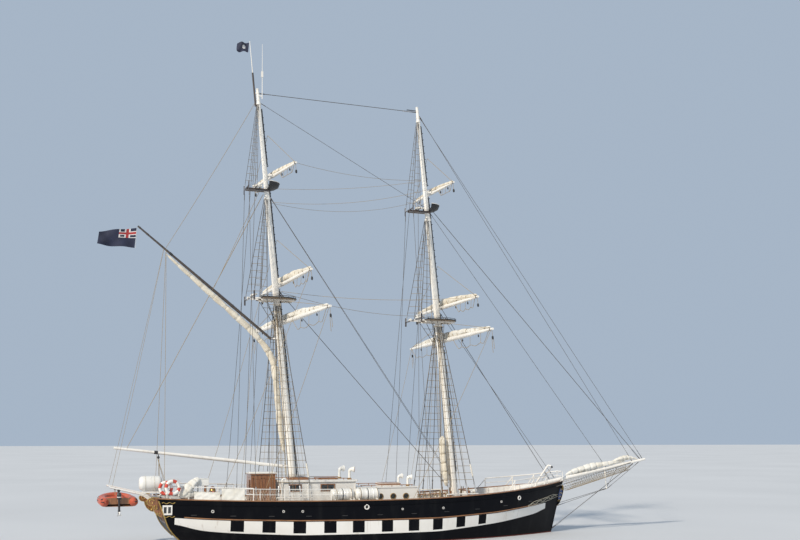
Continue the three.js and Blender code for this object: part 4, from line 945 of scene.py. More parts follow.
def head_poles():
    """Poles above the mainmast's truck: the flag's staff abaft it and an aerial ahead, with their straps."""
    button = [[0.004, 0], [0.03, 0.0], [0.034, 0.02], [0.004, 0.035]]
    low, high = on_mast("main", 23.0, -STAFF_AFT), on_mast("main", 24.75, -STAFF_AFT)
    staff_low, staff_high = on_mast("main", 24.7, -STAFF_AFT), on_mast("main", 26.36, -STAFF_AFT)
    aerial_low, aerial_high = on_mast("main", 23.4, 0.19, -0.09), on_mast("main", 26.3, 0.47, -0.09)
    box_x, strap_x = (float(on_mast("main", z, ahead)[0]) for z, ahead in ((24.7, 0.31), (23.55, 0)))
    poles = [
        tube(np.linspace(low, high, 5), 0.05, 12, finish=3),
        tube(np.linspace(staff_low, staff_high, 6), np.linspace(0.024, 0.014, 6), 10),
        lathe(button, on_mast("main", 26.355, -STAFF_AFT), (0, 0, 1), 12),
        tube(np.linspace(aerial_low, aerial_high, 6), np.linspace(0.022, 0.008, 6), 8),
        blocks([[box_x - 0.05, box_x + 0.05, -0.13, -0.05, 24.55, 24.85]]),
    ]
    straps = [(float(on_mast("main", z)[0]), z) for z in (23.15, 23.7)]
    poles.append(blocks([[x - 0.18, x, -0.028, 0.028, z - 0.025, z + 0.025] for x, z in straps]))
    poles.append(blocks([[strap_x, strap_x + 0.2, -0.11, -0.04, 23.53, 23.57]]))
    return poles


for label, m in MASTS.items():
    length = (m["truck"] - m["foot"]) / np.cos(np.radians(m["rake"]))
    share = np.linspace(0, 1, 60)
    radii = np.interp(share, MAST_RADII[:, 0], MAST_RADII[:, 1])
    profile = np.stack([radii, share * length], -1)
    crown = [[0.085, length], [0.085, length + 0.02], [0.06, length + 0.045], [0.004, length + 0.055]]
    pole = lathe(np.concatenate([profile, crown]), on_mast(label, m["foot"]), mast_frame(label, 5)[0][2], 36)
    bands = np.concatenate([
        np.arange(3.2, m["top"] - 1.2, 1.35), m["top"] - np.array([0.95, 0.3]),
        m["top"] + np.array([0.35, 2.4, 3.9]), m["crosstrees"] + np.array([-0.3, 0.2, 1.6, 2.9]),
        m["truck"] - np.array([0.9, 0.55, 0.2]),
    ])
    parts = [pole] + [hoop(label, z) for z in bands]
    pins = [row[2] for row in YARD_ROWS if row[0] == label]
    parts += [b for z in pins for b in bracket(label, z, 1)]
    if label == "main":
        parts += bracket(label, GAFF_Z, -1)
    z0 = m["crosstrees"]
    x0 = float(on_mast(label, z0)[0])
    trees = blocks([[x0 - 1.11, x0 + 0.14, y - 0.04, y + 0.04, z0 - 0.06, z0 + 0.06]
                    for y in (-0.13, 0.13)], 3)
    arms = [tube([[x0 + dx, y, z0 + 0.07] for y in (-0.62, -0.3, 0, 0.3, 0.62)], 0.033, 10, finish=3)
            for dx in (-1.07, -0.63)]
    parts += [trees, *arms]
    coat = [[0.235, 0.0], [0.36, 0.06], [0.33, 0.16], [0.27, 0.26], [0.235, 0.34]]
    foot_z = float(deck_height(m["x"]))
    skirt = lathe(coat, on_mast(label, foot_z), mast_frame(label, 5)[0][2], 28, finish=1)
    track_z = np.linspace(foot_z + 2.0, m["truck"] - 1.0, 60)
    ahead = mast_radius(label, track_z) + 0.03
    clear = np.all(np.abs(track_z[:, None] - np.array(pins)[None]) > 0.22, 1)
    step_z = np.arange(foot_z + 2.2, m["truck"] - 1.2, 0.36)
    step_z = step_z[np.all(np.abs(step_z[:, None] - np.array(pins)[None]) > 0.25, 1)]
    reach = mast_radius(label, step_z) + 0.06
    step_from, step_to = (on_mast(label, step_z, reach, y) for y in (-0.12, 0.12))
    # The black steps, posts and track stand for the real steps, and their black also paints the shade along
    # the mast's fore edge.
    steps = bars(step_from, step_to, 0.017, 5, finish=2)
    posts = bars(on_mast(label, step_z, reach - 0.09), on_mast(label, step_z, reach), 0.02, 4, finish=2)
    rail_from, rail_to = on_mast(label, track_z, ahead)[:-1], on_mast(label, track_z, ahead)[1:]
    both = clear[:-1] & clear[1:]
    rail = bars(rail_from[both], rail_to[both], 0.04, 4, finish=2)
    parts += [skirt, steps, posts, rail]
    if label == "main":
        parts += head_poles()
    piece(f"{label}mast_pole", parts, [mast_paint, canvas, black_iron, dark_varnish],
          stands_for=(f"{label}mast",))
print("mast poles made")

# %% [markdown]
# ## Tops and crosstrees
# A top is a small working platform: a rounded floor of boards on steel bearers, with a dark toe rail round
# its edge and spreaders that hold the topmast shrouds out. At the crosstrees, higher up, a shallow steel
# bowl ahead of the mast holds the furled sail's bight. The bowl is a half turn of one profile.

# %% Tops
BOWL = np.array([[0.14, 0.10], [0.42, 0.13], [0.62, 0.24], [0.70, 0.44], [0.67, 0.44], [0.59, 0.27],
                 [0.40, 0.165], [0.14, 0.14]])

for label, m in MASTS.items():
    x0, z0 = float(on_mast(label, m["top"])[0]), m["top"]
    front = np.linspace(-np.pi / 2, np.pi / 2, 17)
    outline = np.concatenate([
        [[x0 - 0.9, 0.86]], [[x0 - 0.9, -0.86]],
        np.stack([x0 + 0.12 + 0.92 * np.cos(front), 0.86 * np.sin(front)], -1),
    ])
    floor_plate = plate(outline, z0, z0 + 0.045, "xy", finish=1)
    edge_path = np.column_stack([outline, np.full(len(outline), z0 + 0.035)])
    toe = tube(edge_path, 0.035, 8, loop=True, finish=2)
    toe_high = tube(edge_path + [0, 0, 0.09], 0.015, 6, loop=True, finish=2)
    posts_at = np.concatenate([edge_path[2::2], edge_path[:2]])
    toe_posts = bars(posts_at, posts_at + [0, 0, 0.09], 0.012, 5, finish=2)
    beams = blocks([[x0 - 1.5, x0 - 0.85, y - 0.045, y + 0.045, z0 - 0.02, z0 + 0.05] for y in (-0.3, 0.3)]
                   + [[x0 - 0.88, x0 + 0.9, y - 0.04, y + 0.04, z0 - 0.1, z0 - 0.005] for y in (-0.32, 0.32)])
    arms = [tube([[x0 + dx, y, z0 + 0.02] for y in (-1.25, -0.6, 0, 0.6, 1.25)],
                 [0.03, 0.042, 0.045, 0.042, 0.03], 10, finish=3)
            for dx in (-1.45, 0)]
    boards = blocks([[x0 - 1.49, x0 - 1.41, s * 1.24 - 0.03, s * 1.24 + 0.03, z0 - 0.22, z0 + 0.26]
                     for s in (-1, 1)], 3)
    lumps = [tube([[x0 - 1.45 + 0.03 * k, s * (0.35 + 0.17 * k), z0 + 0.09 + 0.02 * (k % 2)]
                   for k in range(6)],
                  [0.04, 0.07, 0.06, 0.075, 0.05, 0.03], 9, finish=4) for s in (-1, 1)]
    piece(f"{label}_top_platform", [floor_plate, toe, toe_high, toe_posts, beams, *arms, boards, *lumps],
          [mast_paint, teak, black_iron, dark_varnish, white_canvas],
          stands_for=(f"{label}_top",), bevel=0.004)

    c0 = m["crosstrees"]
    xc = float(on_mast(label, c0)[0])
    around = np.linspace(-np.pi / 2, np.pi / 2, 19)[:, None]
    bowl_z = np.broadcast_to(c0 + BOWL[:, 1] - 0.06, (19, 8))
    rings = np.stack([xc + BOWL[:, 0] * np.cos(around), BOWL[:, 0] * np.sin(around), bowl_z], -1)
    rim = tube(oval((xc, 0, c0 + 0.385), 0.69, 0.69, around[:, 0], "xy"), 0.018, 8, finish=1)
    ends = blocks([[xc - 1.10, xc - 1.05, s * 0.63 - 0.025, s * 0.63 + 0.025, c0 - 0.16, c0 + 0.30]
                   for s in (-1, 1)], 2)
    bags = [tube([[xc - 0.8 + 0.12 * k, s * (0.25 + 0.05 * k), c0 + 0.12 + 0.015 * (k % 2)]
                  for k in range(5)],
                 [0.03, 0.06, 0.07, 0.055, 0.03], 9, finish=3) for s in (-1, 1)]
    piece(f"{label}_crosstree_bowl", [skin(rings), rim, ends, *bags],
          [black_iron, mast_paint, dark_varnish, white_canvas], bevel=0.004)

# %% [markdown]
# ## Yards and furled sails
# A yard is a tapered steel tube that turns on a pin ahead of its mast, between two cheeks. It carries its
# lifts, its footropes and the jackstay that the sail is bent to, so all of these ride with it. A furled
# sail is a bundle: a tube whose radius swells between the gaskets and is nipped where they are passed.

# %% A furled bundle and its gaskets
def bundle(path, radius, spacing=0.55, nip=0.2, around=26, seed=0.0, finish=0):
    """A lumpy roll along a path: radius x (1 + waves round it and along it - a dip at each gasket)."""
    path = np.asarray(path, float)
    along = np.concatenate([[0], np.cumsum(np.linalg.norm(np.diff(path, axis=0), axis=1))])
    ahead = unit(np.gradient(path, axis=0))
    least = np.linalg.svd(ahead)[2][-1]
    side = unit(np.cross(ahead, least))
    up = np.cross(side, ahead)
    turn = full_turn(around)
    a = along[:, None]
    waves = 0.07 * np.sin(3 * turn + 1.7 * a + seed) + 0.05 * np.sin(5 * turn - 2.9 * a + 2 * seed)
    waves = waves + 0.05 * np.sin(2 * turn + 4.3 * a) * np.cos(1.1 * a + seed)
    waves = waves + 0.03 * np.sin(9 * turn + 0.8 * a)
    puff = 0.06 * np.sin(2.3 * a + seed) + 0.05 * np.sin(5.1 * a + 1.3 * seed)
    phase = (along / spacing) % 1
    dip = nip * np.exp(-(np.minimum(phase, 1 - phase) * spacing / 0.05) ** 2)
    whole = np.asarray(radius)[:, None] * (1 + waves + puff - dip[:, None])
    round_it = np.cos(turn)[:, None] * side[:, None] + np.sin(turn)[:, None] * up[:, None]
    rings = path[:, None] + whole[..., None] * round_it
    nips = np.arange(spacing, along[-1] - 0.1, spacing)
    centres = np.stack([np.interp(nips, along, path[:, c]) for c in range(3)], -1)
    sides = unit(np.stack([np.interp(nips, along, side[:, c]) for c in range(3)], -1))
    ups = unit(np.stack([np.interp(nips, along, up[:, c]) for c in range(3)], -1))
    sizes = np.interp(nips, along, np.asarray(radius)) * (1 - nip) * 1.07
    cosine, sine = np.cos(full_turn(12))[:, None], np.sin(full_turn(12))[:, None]
    loops = [tube(c + r * (cosine * s + sine * u), 0.011, 5, loop=True, finish=1)
             for c, s, u, r in zip(centres, sides, ups, sizes)]
    return skin(rings, finish=finish), loops


# %% Yards
PIVOT_PIN = [[0.002, -0.09], [0.028, -0.09], [0.028, 0.09], [0.04, 0.09], [0.04, 0.11], [0.002, 0.115]]


def cheeks(reach, low, high):
    """Two flat cheeks, each with a round nose about the pin, and the pin: reach is the far edge's place."""
    turn = np.linspace(0, np.pi, 8) + (np.pi / 2 if reach > 0 else -np.pi / 2)
    outline = np.concatenate([
        np.stack([0.05 * np.cos(turn), 0.05 * np.sin(turn)], -1),
        np.sign(reach) * np.array([[abs(reach), -0.05], [abs(reach), 0.05]]),
    ])
    pin = lathe(PIVOT_PIN, (0, 0, 0), (0, 0, 1), 14, finish=1)
    return [plate(outline, low, low + 0.03, "xy"), plate(outline, high, high + 0.03, "xy"), pin]


SAG = {"course": 0.62, "topsail": 0.5, "topgallant": 0.34}
LIFT = {"fore_course": 0.98, "fore_topsail": 2.3, "fore_topgallant": 1.9,
        "main_course": 1.08, "main_topsail": 2.3, "main_topgallant": 2.1}
START = {"course": 0.14, "topsail": 0.36, "topgallant": 0.3}
PENDANT_BLOCK = [[0.003, -0.10], [0.045, -0.07], [0.055, 0], [0.045, 0.07], [0.003, 0.10]]
YARD_BLOCK = [[0.003, -0.07], [0.032, -0.05], [0.04, 0], [0.032, 0.05], [0.003, 0.07]]

for mast, name, z, half, radius, tip, brace, sail in YARD_ROWS:
    kind = name.split("_")[1]
    axes, origin = mast_frame(mast, z, PIN_REACH, brace)
    share = np.linspace(-1, 1, 65)
    r = np.interp(np.abs(share), [0, 0.45, 1], [radius, 0.92 * radius, tip])
    waist = np.minimum(r, 0.092)
    r = np.where(np.abs(share * half) < 0.12, waist, r)
    line = np.stack([np.full(65, YARD_AHEAD), share * half, np.zeros(65)], -1)
    local = [tube(line, r, 16), *cheeks(YARD_AHEAD, -0.071, 0.041)]
    bands = np.array([0.05, 0.3, 0.55, 0.8, 0.955])
    for b in np.concatenate([-bands, bands]):
        rb = float(np.interp(abs(b), [0, 0.45, 1], [radius, 0.92 * radius, tip])) + 0.008
        profile = band_profile(rb - 0.012, rb, 0.03)
        local.append(lathe(profile, (YARD_AHEAD, b * half, 0), (0, 1, 0), 16, finish=int(abs(b) > 0.9)))
    for s in (-1, 1):
        local.append(lathe([[tip * 0.98, -0.06], [tip * 1.1, 0.0], [tip * 0.7, 0.03], [0.002, 0.035]],
                           (YARD_AHEAD, s * (half - 0.07), 0), (0, s, 0), 14))
    jack_y = np.linspace(-0.93 * half, 0.93 * half, 25)
    jack_r = np.interp(np.abs(jack_y) / half, [0, 0.45, 1], [radius, 0.92 * radius, tip]) + 0.045
    jack = np.stack([np.full(25, YARD_AHEAD) + 0.25 * jack_r, jack_y, jack_r * 0.97], -1)
    local.append(tube(jack, 0.012, 6, finish=1))
    piece(f"{name}_spar", [placed(s, axes, origin) for s in local], [mast_paint, black_iron], f"{name}_yard",
          (f"{name}_yard",))

    ropes = []
    for s in (-1, 1):
        start, end = START[kind], 0.95
        t = np.linspace(0, 1, 26)
        y = (start + (end - start) * t) * half
        stirrups = 0.12 * np.abs(np.sin(np.pi * t * 4))
        down = SAG[kind] * (np.minimum(1, np.minimum(t, 1 - t) * 6))
        if kind != "topgallant":
            down = down + stirrups - 0.12
        low = np.stack([np.full(26, 0.09), s * y, -0.05 - np.maximum(down, 0)], -1)
        ropes.append(tube(low, 0.013, 6))
        at = np.array([6, 12, 19])
        ropes.append(bars(low[at] * [1, 1, 0] + [0.06, 0, -0.04], low[at], 0.009, 5))
        top_end = np.array([[0.0, s * 0.012, LIFT[name]]])
        ropes.append(bars([[YARD_AHEAD - 0.03, s * 0.955 * half, tip]], top_end, 0.011, 6))
        hang = np.array([YARD_AHEAD + 0.02, s * (half - 0.16), -tip])
        ropes.append(bars([hang], [hang - [0, 0, 0.30]], 0.010, 5, finish=1))
        ropes.append(placed(lathe(PENDANT_BLOCK, hang - [0, 0, 0.38], (0, 0, 1), 10, finish=2)))
        if kind == "course":
            for dx, drop in ((-0.04, 0.95), (0.05, 1.15)):
                ropes.append(bars([hang - [dx, 0, 0.42]], [hang - [dx, 0, drop]], 0.012, 5, finish=1))
        for b in (0.35, 0.7):
            rb = float(np.interp(b, [0, 0.45, 1], [radius, 0.92 * radius, tip]))
            under = np.array([YARD_AHEAD, s * b * half, -rb])
            ropes.append(lathe(YARD_BLOCK, under - [0, 0, 0.1], (0, 0, 1), 8, finish=2))
            ropes.append(bars(under + [0, 0, 0.01], under - [0, 0, 0.05], 0.009, 5, finish=1))

    share = np.linspace(-0.93, 0.93, 240)
    full = sail * (0.36 + 0.64 * np.cos(np.abs(share) * np.pi / 2) ** 1.5)
    size = full * np.minimum(1, 0.25 + 14 * (1 - np.abs(share) / 0.93) ** 0.9)
    taper = np.maximum(0, (np.abs(share) - 0.3) / 0.7)
    out = radius + (tip - radius) * taper + full * 0.93 + 0.006
    roll = np.stack([YARD_AHEAD + out * 0.55, share * half, out * 0.835], -1)
    body, gaskets = bundle(roll, size, 0.62 if kind != "topgallant" else 0.5, 0.17, seed=z)
    furled = piece(f"{name}_furled_sail", [placed(body, axes, origin)],
                   [white_canvas if kind == "course" else canvas], f"{name}_yard",
                   (f"{name}_furled",), crease=60)
    piece(f"{name}_gear", [placed(s, axes, origin) for s in ropes + gaskets], [hemp, hemp, black_iron],
          f"{name}_yard")
print("yards:", len(YARD_ROWS))

# %% [markdown]
# ## The spanker
# The boom and the gaff turn on pins aft of the mainmast. The spanker is brailed up: it hangs in a long
# roll under the gaff and falls down the mast's after side, tight at each brail.

# %% Boom, gaff and brailed spanker
def spar(z, end, radii):
    """A spar from its pin to its end, swelling in the middle, with its cheeks and pin."""
    axes, origin = mast_frame("main", z, -PIN_REACH)
    local_end = (np.asarray(end, float) - origin) @ axes.T
    heel = np.array([-0.17, 0, 0])
    t = np.linspace(0, 1, 50)
    line = heel + (local_end - heel) * t[:, None]
    r = np.interp(t, [0, 0.35, 1], radii)
    parts = [tube(line, r, 18)]
    parts += cheeks(-0.24, -0.071, 0.041)
    ahead = unit(local_end - heel)
    for share in (0.04, 0.3, 0.55, SHEET_SHARE, 0.93, 0.985):
        rb = float(np.interp(share, [0, 0.35, 1], radii)) + 0.01
        sheet_band = share == SHEET_SHARE
        band = band_profile(rb - 0.015, rb, 0.09 if sheet_band else 0.035)
        parts.append(lathe(band, heel + (local_end - heel) * share, ahead, 18, finish=int(sheet_band)))
    tip = radii[2]
    parts.append(lathe([[tip * 0.98, -0.05], [tip * 1.12, 0.0], [tip * 0.7, 0.03], [0.002, 0.035]],
                       local_end - ahead * 0.04, ahead, 14))
    return [placed(p, axes, origin) for p in parts]


BOOM_END, GAFF_END = np.array([-13.85, 0, 5.0]), np.array([-12.67, 0, 16.25])
piece("spanker_boom_spar", spar(BOOM_Z, BOOM_END, [0.075, 0.10, 0.065]), [mast_paint, black_iron],
      "spanker_boom", ("spanker_boom",))
piece("gaff_spar", spar(GAFF_Z, GAFF_END, [0.065, 0.085, 0.045]), [dark_varnish, black_iron], "gaff",
      ("gaff",))
boom_origin = mast_frame("main", BOOM_Z)[1]
piece("boom_bracket_arm", bracket("main", BOOM_Z, -1)[:1], [mast_paint],
      stands_for=("boom_bracket",), bevel=0.004)

gaff_heel = on_mast("main", GAFF_Z, -PIN_REACH)
# UNDER_GAFF: share of the gaff, drop below it, radius. DOWN_MAST: distance abaft the mast, height, radius.
UNDER_GAFF = np.array([[0.8, 0.24, 0.06], [0.62, 0.35, 0.13], [0.42, 0.43, 0.165], [0.24, 0.53, 0.18],
                       [0.1, 0.74, 0.18], [0.035, 1.02, 0.185]])
DOWN_MAST = np.array([[0.45, 9.30, 0.19], [0.44, 7.90, 0.18], [0.43, 6.50, 0.165], [0.40, 5.50, 0.13],
                      [0.36, 4.75, 0.08]])
upper = gaff_heel + (GAFF_END - gaff_heel) * UNDER_GAFF[:, :1] - UNDER_GAFF[:, 1:2] * [0, 0, 1]
lower = on_mast("main", DOWN_MAST[:, 1], -DOWN_MAST[:, 0])
marks = np.concatenate([upper, lower])
sizes = np.concatenate([UNDER_GAFF[:, 2], DOWN_MAST[:, 2]])


def through(marks, steps):
    """A smooth path through marks: each span is a cubic that follows its neighbours' directions."""
    marks = np.asarray(marks, float)
    p = np.concatenate([2 * marks[:1] - marks[1:2], marks, 2 * marks[-1:] - marks[-2:-1]])
    u = np.linspace(0, len(marks) - 1, steps)
    low = np.clip(u.astype(int), 0, len(marks) - 2)
    f = (u - low)[:, None]
    return cubic(p[low], p[low + 1], p[low + 2], p[low + 3], f)


roll = through(np.column_stack([marks, sizes]), 300)
ends = np.minimum(1, 0.3 + 0.14 * np.minimum(np.arange(300), np.arange(300)[::-1]))
body, gaskets = bundle(roll[:, :3], roll[:, 3] * ends * 0.88, 0.8, 0.22, seed=2.0)
spanker = piece("brailed_spanker", [body], [canvas], "gaff", ("furled_spanker",), crease=60)
lace = np.linspace(0.08, 0.8, 22)
lace_top = gaff_heel + (GAFF_END - gaff_heel) * lace[:, None]
drop = np.interp(lace, [0.08, 0.12, 0.24, 0.42, 0.62, 0.8], [0.72, 0.56, 0.35, 0.27, 0.22, 0.18])
lacing = bars(lace_top, lace_top - drop[:, None] * [0, 0, 1] - [0.02, 0, 0], 0.009, 5)
piece("spanker_gaskets", [*gaskets, lacing], [white_rope, white_rope], "gaff")
print("spanker brailed")

# %% [markdown]
# ## Standing rigging
# Wires hold the masts: shrouds to the sides, stays ahead, backstays aft. Ratlines across the shrouds are
# the ladders. All of them are straight bars between known places, so whole fans are made in one call, and
# each fan stays a few thousand faces.

# %% Shrouds and ratlines
SHROUD_FEET = np.array([0.15, -0.42, -0.99, -1.56])


def ratlines(feet, heads, heights, radius=0.011, finish=1):
    """Rungs between neighbouring wires: each wire's place at a height is found by its share of the climb."""
    share = (heights[:, None] - feet[None, :, 2]) / (heads[None, :, 2] - feet[None, :, 2])
    places = feet[None] + (heads - feet)[None] * share[..., None]
    return bars(places[:, :-1].reshape(-1, 3), places[:, 1:].reshape(-1, 3), radius, 4, finish=finish)


for label, m in MASTS.items():
    band_z = m["top"] - 0.26
    parts = [hoop(label, band_z, 0.04, 0.14, finish=3)]
    for s in (-1, 1):
        x = m["x"] + SHROUD_FEET
        feet = np.stack([x, s * (rail_half(x) - 0.15), np.full(4, 2.48)], -1)
        index = np.arange(4)
        heads = on_mast(label, np.full(4, band_z), 0.09 - 0.075 * index, s * (0.185 - 0.012 * index))
        parts.append(bars(feet, heads, 0.019, 7))
        ahead = unit(heads - feet)
        parts.append(bars(feet + ahead * 0.08, feet + ahead * 0.55, 0.034, 8, finish=2))
        parts.append(bars(feet + ahead * 0.05, feet + ahead * 0.12, 0.045, 8, finish=2))
        parts.append(bars(feet + ahead * 0.52, feet + ahead * 0.60, 0.045, 8, finish=2))
        bar_ends = feet[0] + (feet[3] - feet[0]) * np.array([[-0.07], [0.5], [1.07]])
        parts.append(tube(bar_ends, 0.034, 10, finish=3))
        parts.append(bars(np.column_stack([feet[:, :2], deck_height(x)]), feet, 0.02, 6, finish=2))
        parts.append(ratlines(feet, heads, np.arange(3.25, band_z - 0.9, 0.37)))
        lash = feet[0] + (heads[0] - feet[0]) * np.array([[0.10], [0.135], [0.17]])
        parts.append(tube(lash, 0.045, 8, finish=4))
        top_x = float(on_mast(label, m["top"])[0])
        edge_feet = on_mast(label, np.full(3, m["top"] - 1.5), 0.1 * np.arange(3) - 0.12, s * 0.19)
        edge_heads = np.array([[top_x + dx, s * 0.84, m["top"] - 0.02] for dx in (-0.75, -0.35, 0.05)])
        parts.append(bars(edge_feet, edge_heads, 0.015, 6))
        parts.append(ratlines(edge_feet, edge_heads,
                              np.array([m["top"] - 1.1, m["top"] - 0.72, m["top"] - 0.36])))
    piece(f"{label}_lower_shrouds", parts, [wire, hemp, steel, mast_paint, white_rope],
          stands_for=(f"{label}_shrouds",))

    tree_band, truck_band = m["crosstrees"] - 0.42, m["truck"] - 0.75
    parts = [hoop(label, tree_band, 0.035, 0.12, finish=2), hoop(label, truck_band, 0.03, 0.10, finish=2)]
    for s in (-1, 1):
        x0, z0 = float(on_mast(label, m["top"])[0]), m["top"]
        feet = np.array([[x0 - 1.45, s * 1.2, z0 + 0.06], [x0 - 1.05, s * 1.0, z0 + 0.05],
                         [x0 - 0.7, s * 0.86, z0 + 0.05]])
        heads = on_mast(label, np.full(3, tree_band), np.array([-0.15, -0.09, -0.02]),
                        s * np.array([0.10, 0.13, 0.15]))
        parts.append(bars(feet, heads, 0.015, 6))
        parts.append(bars(feet, feet + unit(heads - feet) * 0.35, 0.026, 7, finish=3))
        parts.append(ratlines(feet, heads, np.arange(z0 + 0.55, m["crosstrees"] - 1.0, 0.36), 0.010))
        x1, z1 = float(on_mast(label, m["crosstrees"])[0]), m["crosstrees"] + 0.1
        feet = np.array([[x1 - 1.07, s * 0.60, z1], [x1 - 0.63, s * 0.60, z1]])
        heads = on_mast(label, np.full(2, truck_band), np.array([-0.09, -0.02]), s * np.array([0.06, 0.09]))
        parts.append(bars(feet, heads, 0.012, 6))
        parts.append(bars(feet, feet + unit(heads - feet) * 0.28, 0.02, 7, finish=3))
        parts.append(ratlines(feet, heads, np.arange(z1 + 0.5, m["truck"] - 1.3, 0.36), 0.009))
    piece(f"{label}_upper_shrouds", parts, [wire, hemp, mast_paint, steel])

# %% [markdown]
# The four main stays take the place of plain rods of the same line. The others are added between the same
# masts: topmast stays, backstays down to the rail, each with its bottle screw.

# %% Stays and backstays
HEEL, TIP = np.array([8.9, 0, 2.56]), np.array([17.35, 0, 4.24])


def on_bowsprit(x, height=0.0):
    """A place on the bowsprit's centreline, raised by a height."""
    share = (np.asarray(x, float)[..., None] - HEEL[0]) / (TIP[0] - HEEL[0])
    return HEEL + (TIP - HEEL) * share + np.asarray(height, float)[..., None] * [0, 0, 1]


def stay(start, end, radius=0.016, screw=0.5):
    """A wire with a sleeve at each end and a bottle screw at its lower one."""
    start, end = np.asarray(start, float), np.asarray(end, float)
    ahead = unit(start - end)
    sleeves = start - ahead * 0.3, end + ahead * 0.3
    wires = bars([start, start, end], [end, *sleeves], [radius, radius * 1.7, radius * 1.7], 8)
    return [wires, bars([end + ahead * 0.3], [end + ahead * (0.3 + screw)], radius * 2.2, 10, finish=1)]


MAIN_STAYS = {
    "fore_stay": (on_mast("fore", 13.03, 0.17), [10.9, 0, 2.96]),
    "jib_stay": (on_mast("fore", 18.5, 0.13), on_bowsprit(17.0, 0.08)),
    "main_stay": (on_mast("main", 13.35, 0.15), on_mast("fore", 2.6, -0.2)),
    "triatic_stay": (on_mast("main", 23.7, 0.08), on_mast("fore", 23.7, -0.08)),
}
for name, (start, end) in MAIN_STAYS.items():
    piece(f"{name}_wire", stay(start, end), [wire, steel], stands_for=(name,))

OTHER_STAYS = [
    (on_mast("main", 23.2, 0.1), on_mast("fore", 18.45, -0.15)),
    (on_mast("main", 18.3, 0.14), on_mast("fore", 3.4, -0.2, 0.1)),
    (on_mast("main", 18.3, 0.14, -0.05), on_mast("fore", 3.4, -0.2, -0.1)),
    (on_mast("fore", 23.5, 0.08, 0.04), on_bowsprit(17.2, 0.07) + [0, 0.05, 0]),
    (on_mast("fore", 23.5, 0.08, -0.04), on_bowsprit(16.4, 0.09) - [0, 0.05, 0]),
    (on_mast("fore", 18.2, 0.13), on_bowsprit(14.6, 0.11)),
    (on_mast("fore", 12.6, 0.19, 0.06), np.array([11.3, 0.12, 3.03])),
]
parts = [p for a, b in OTHER_STAYS for p in stay(a, b, 0.011, 0.3)]
piece("upper_stays", parts, [wire, steel])

# mast, height on it, place ahead and to the side there, foot's place along the rail
BACKSTAYS = [
    ("main", 18.45, -1.07, 0.62, -7.15), ("main", 23.1, -0.06, 0.07, -7.75),
    ("main", 18.2, -0.1, 0.14, -6.45), ("fore", 18.0, -1.07, 0.62, 2.2), ("fore", 23.1, -0.06, 0.07, 1.55),
    ("fore", 17.8, -0.1, 0.14, 2.85),
]
parts = []
for label, z, dx, y, foot_x in BACKSTAYS:
    for s in (-1, 1):
        foot = by_rail([foot_x], s, 0.14, -0.02)[0]
        parts += stay(on_mast(label, z, dx, s * y), foot, 0.011, 0.45)
piece("backstays", parts, [wire, steel])
print("stays:", len(MAIN_STAYS) + len(OTHER_STAYS) + 2 * len(BACKSTAYS))

# %% [markdown]
# ## Running rigging
# Braces, vangs and lifts run from a fixed place to a spar that turns. Each is a line that sags between
# its two ends at rest and rides on no body. The falls that come down beside the masts are fixed, and end
# on the pins of the fife rails.

# %% Lines to the spars
def yard_tip(name, side, share=0.97):
    """The place of a yard's end at rest."""
    row = next(r for r in YARD_ROWS if r[1] == name)
    axes, origin = mast_frame(row[0], row[2], PIN_REACH, row[6])
    return np.array([YARD_AHEAD, side * share * row[3], 0.0]) @ axes + origin


def line_between(name, fixed, moving, radius=0.010, drop=0.15):
    """A line from a fixed place to one on a turning spar, sagging between them and riding on no body."""
    fixed, moving = np.asarray(fixed, float), np.asarray(moving, float)
    made = piece(name, [tube(hanging(fixed, moving, drop, 24), radius, 6)], [hemp], body=None)
    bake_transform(made)


def at_rail(x, side, inset=0.12):
    """A place on the rail."""
    return by_rail([x], side, inset, 0.02)[0]


gaff_place = gaff_heel + (GAFF_END - gaff_heel) * 0.8
boom_place = boom_origin + (BOOM_END - boom_origin) * 0.93
for side, word in ((-1, "starboard"), (1, "port")):
    braces = (
        ("main_course", at_rail(-6.9, side), 0.010, 0.15),
        ("fore_course", at_rail(1.2, side), 0.010, 0.15),
        ("main_topsail", at_rail(-9.0, side), 0.010, 0.25),
        ("fore_topsail", on_mast("main", 13.3, 0.25, side * 0.1), 0.010, 0.3),
        ("main_topgallant", on_mast("fore", 19.9, -0.2, side * 0.1), 0.008, 0.25),
        ("fore_topgallant", on_mast("main", 18.0, 0.2, side * 0.1), 0.008, 0.5),
    )
    for yard, lead, radius, drop in braces:
        line_between(f"{yard}_brace_{word}", lead, yard_tip(yard, side), radius, drop)
    vang_end, outer_end = gaff_place + [0, side * 0.05, 0], gaff_place + [-0.1, side * 0.05, 0.06]
    line_between(f"gaff_vang_{word}", at_rail(-11.6, side, 0.2), vang_end, drop=0.1)
    line_between(f"gaff_outer_vang_{word}", [-14.0, side * 1.25, 3.16], outer_end, 0.008, drop=0.1)
    lift_end = boom_place + [0, side * 0.05, 0.06]
    lift_lead = on_mast("main", 18.4, -0.2, side * 0.12)
    line_between(f"boom_lift_{word}", lift_lead, lift_end, 0.009, drop=0.05)
line_between("peak_span", on_mast("main", 23.3, -0.12), gaff_place + [0, 0, 0.08], 0.012, drop=0.1)
halyard_end = gaff_heel + (GAFF_END - gaff_heel) * 0.45 + [0, 0, 0.09]
line_between("peak_halyard", on_mast("main", 18.9, -0.2), halyard_end, 0.012, drop=0.05)

# %% Falls beside the masts, fife rails and belaying pins
BELAYING_PIN = np.array([[0.002, -0.19], [0.012, -0.17], [0.016, -0.02], [0.016, 0.04], [0.02, 0.05],
                         [0.024, 0.12], [0.018, 0.19], [0.002, 0.2]])
FALL_Y = np.array([-0.66, -0.5, 0.5, 0.66])

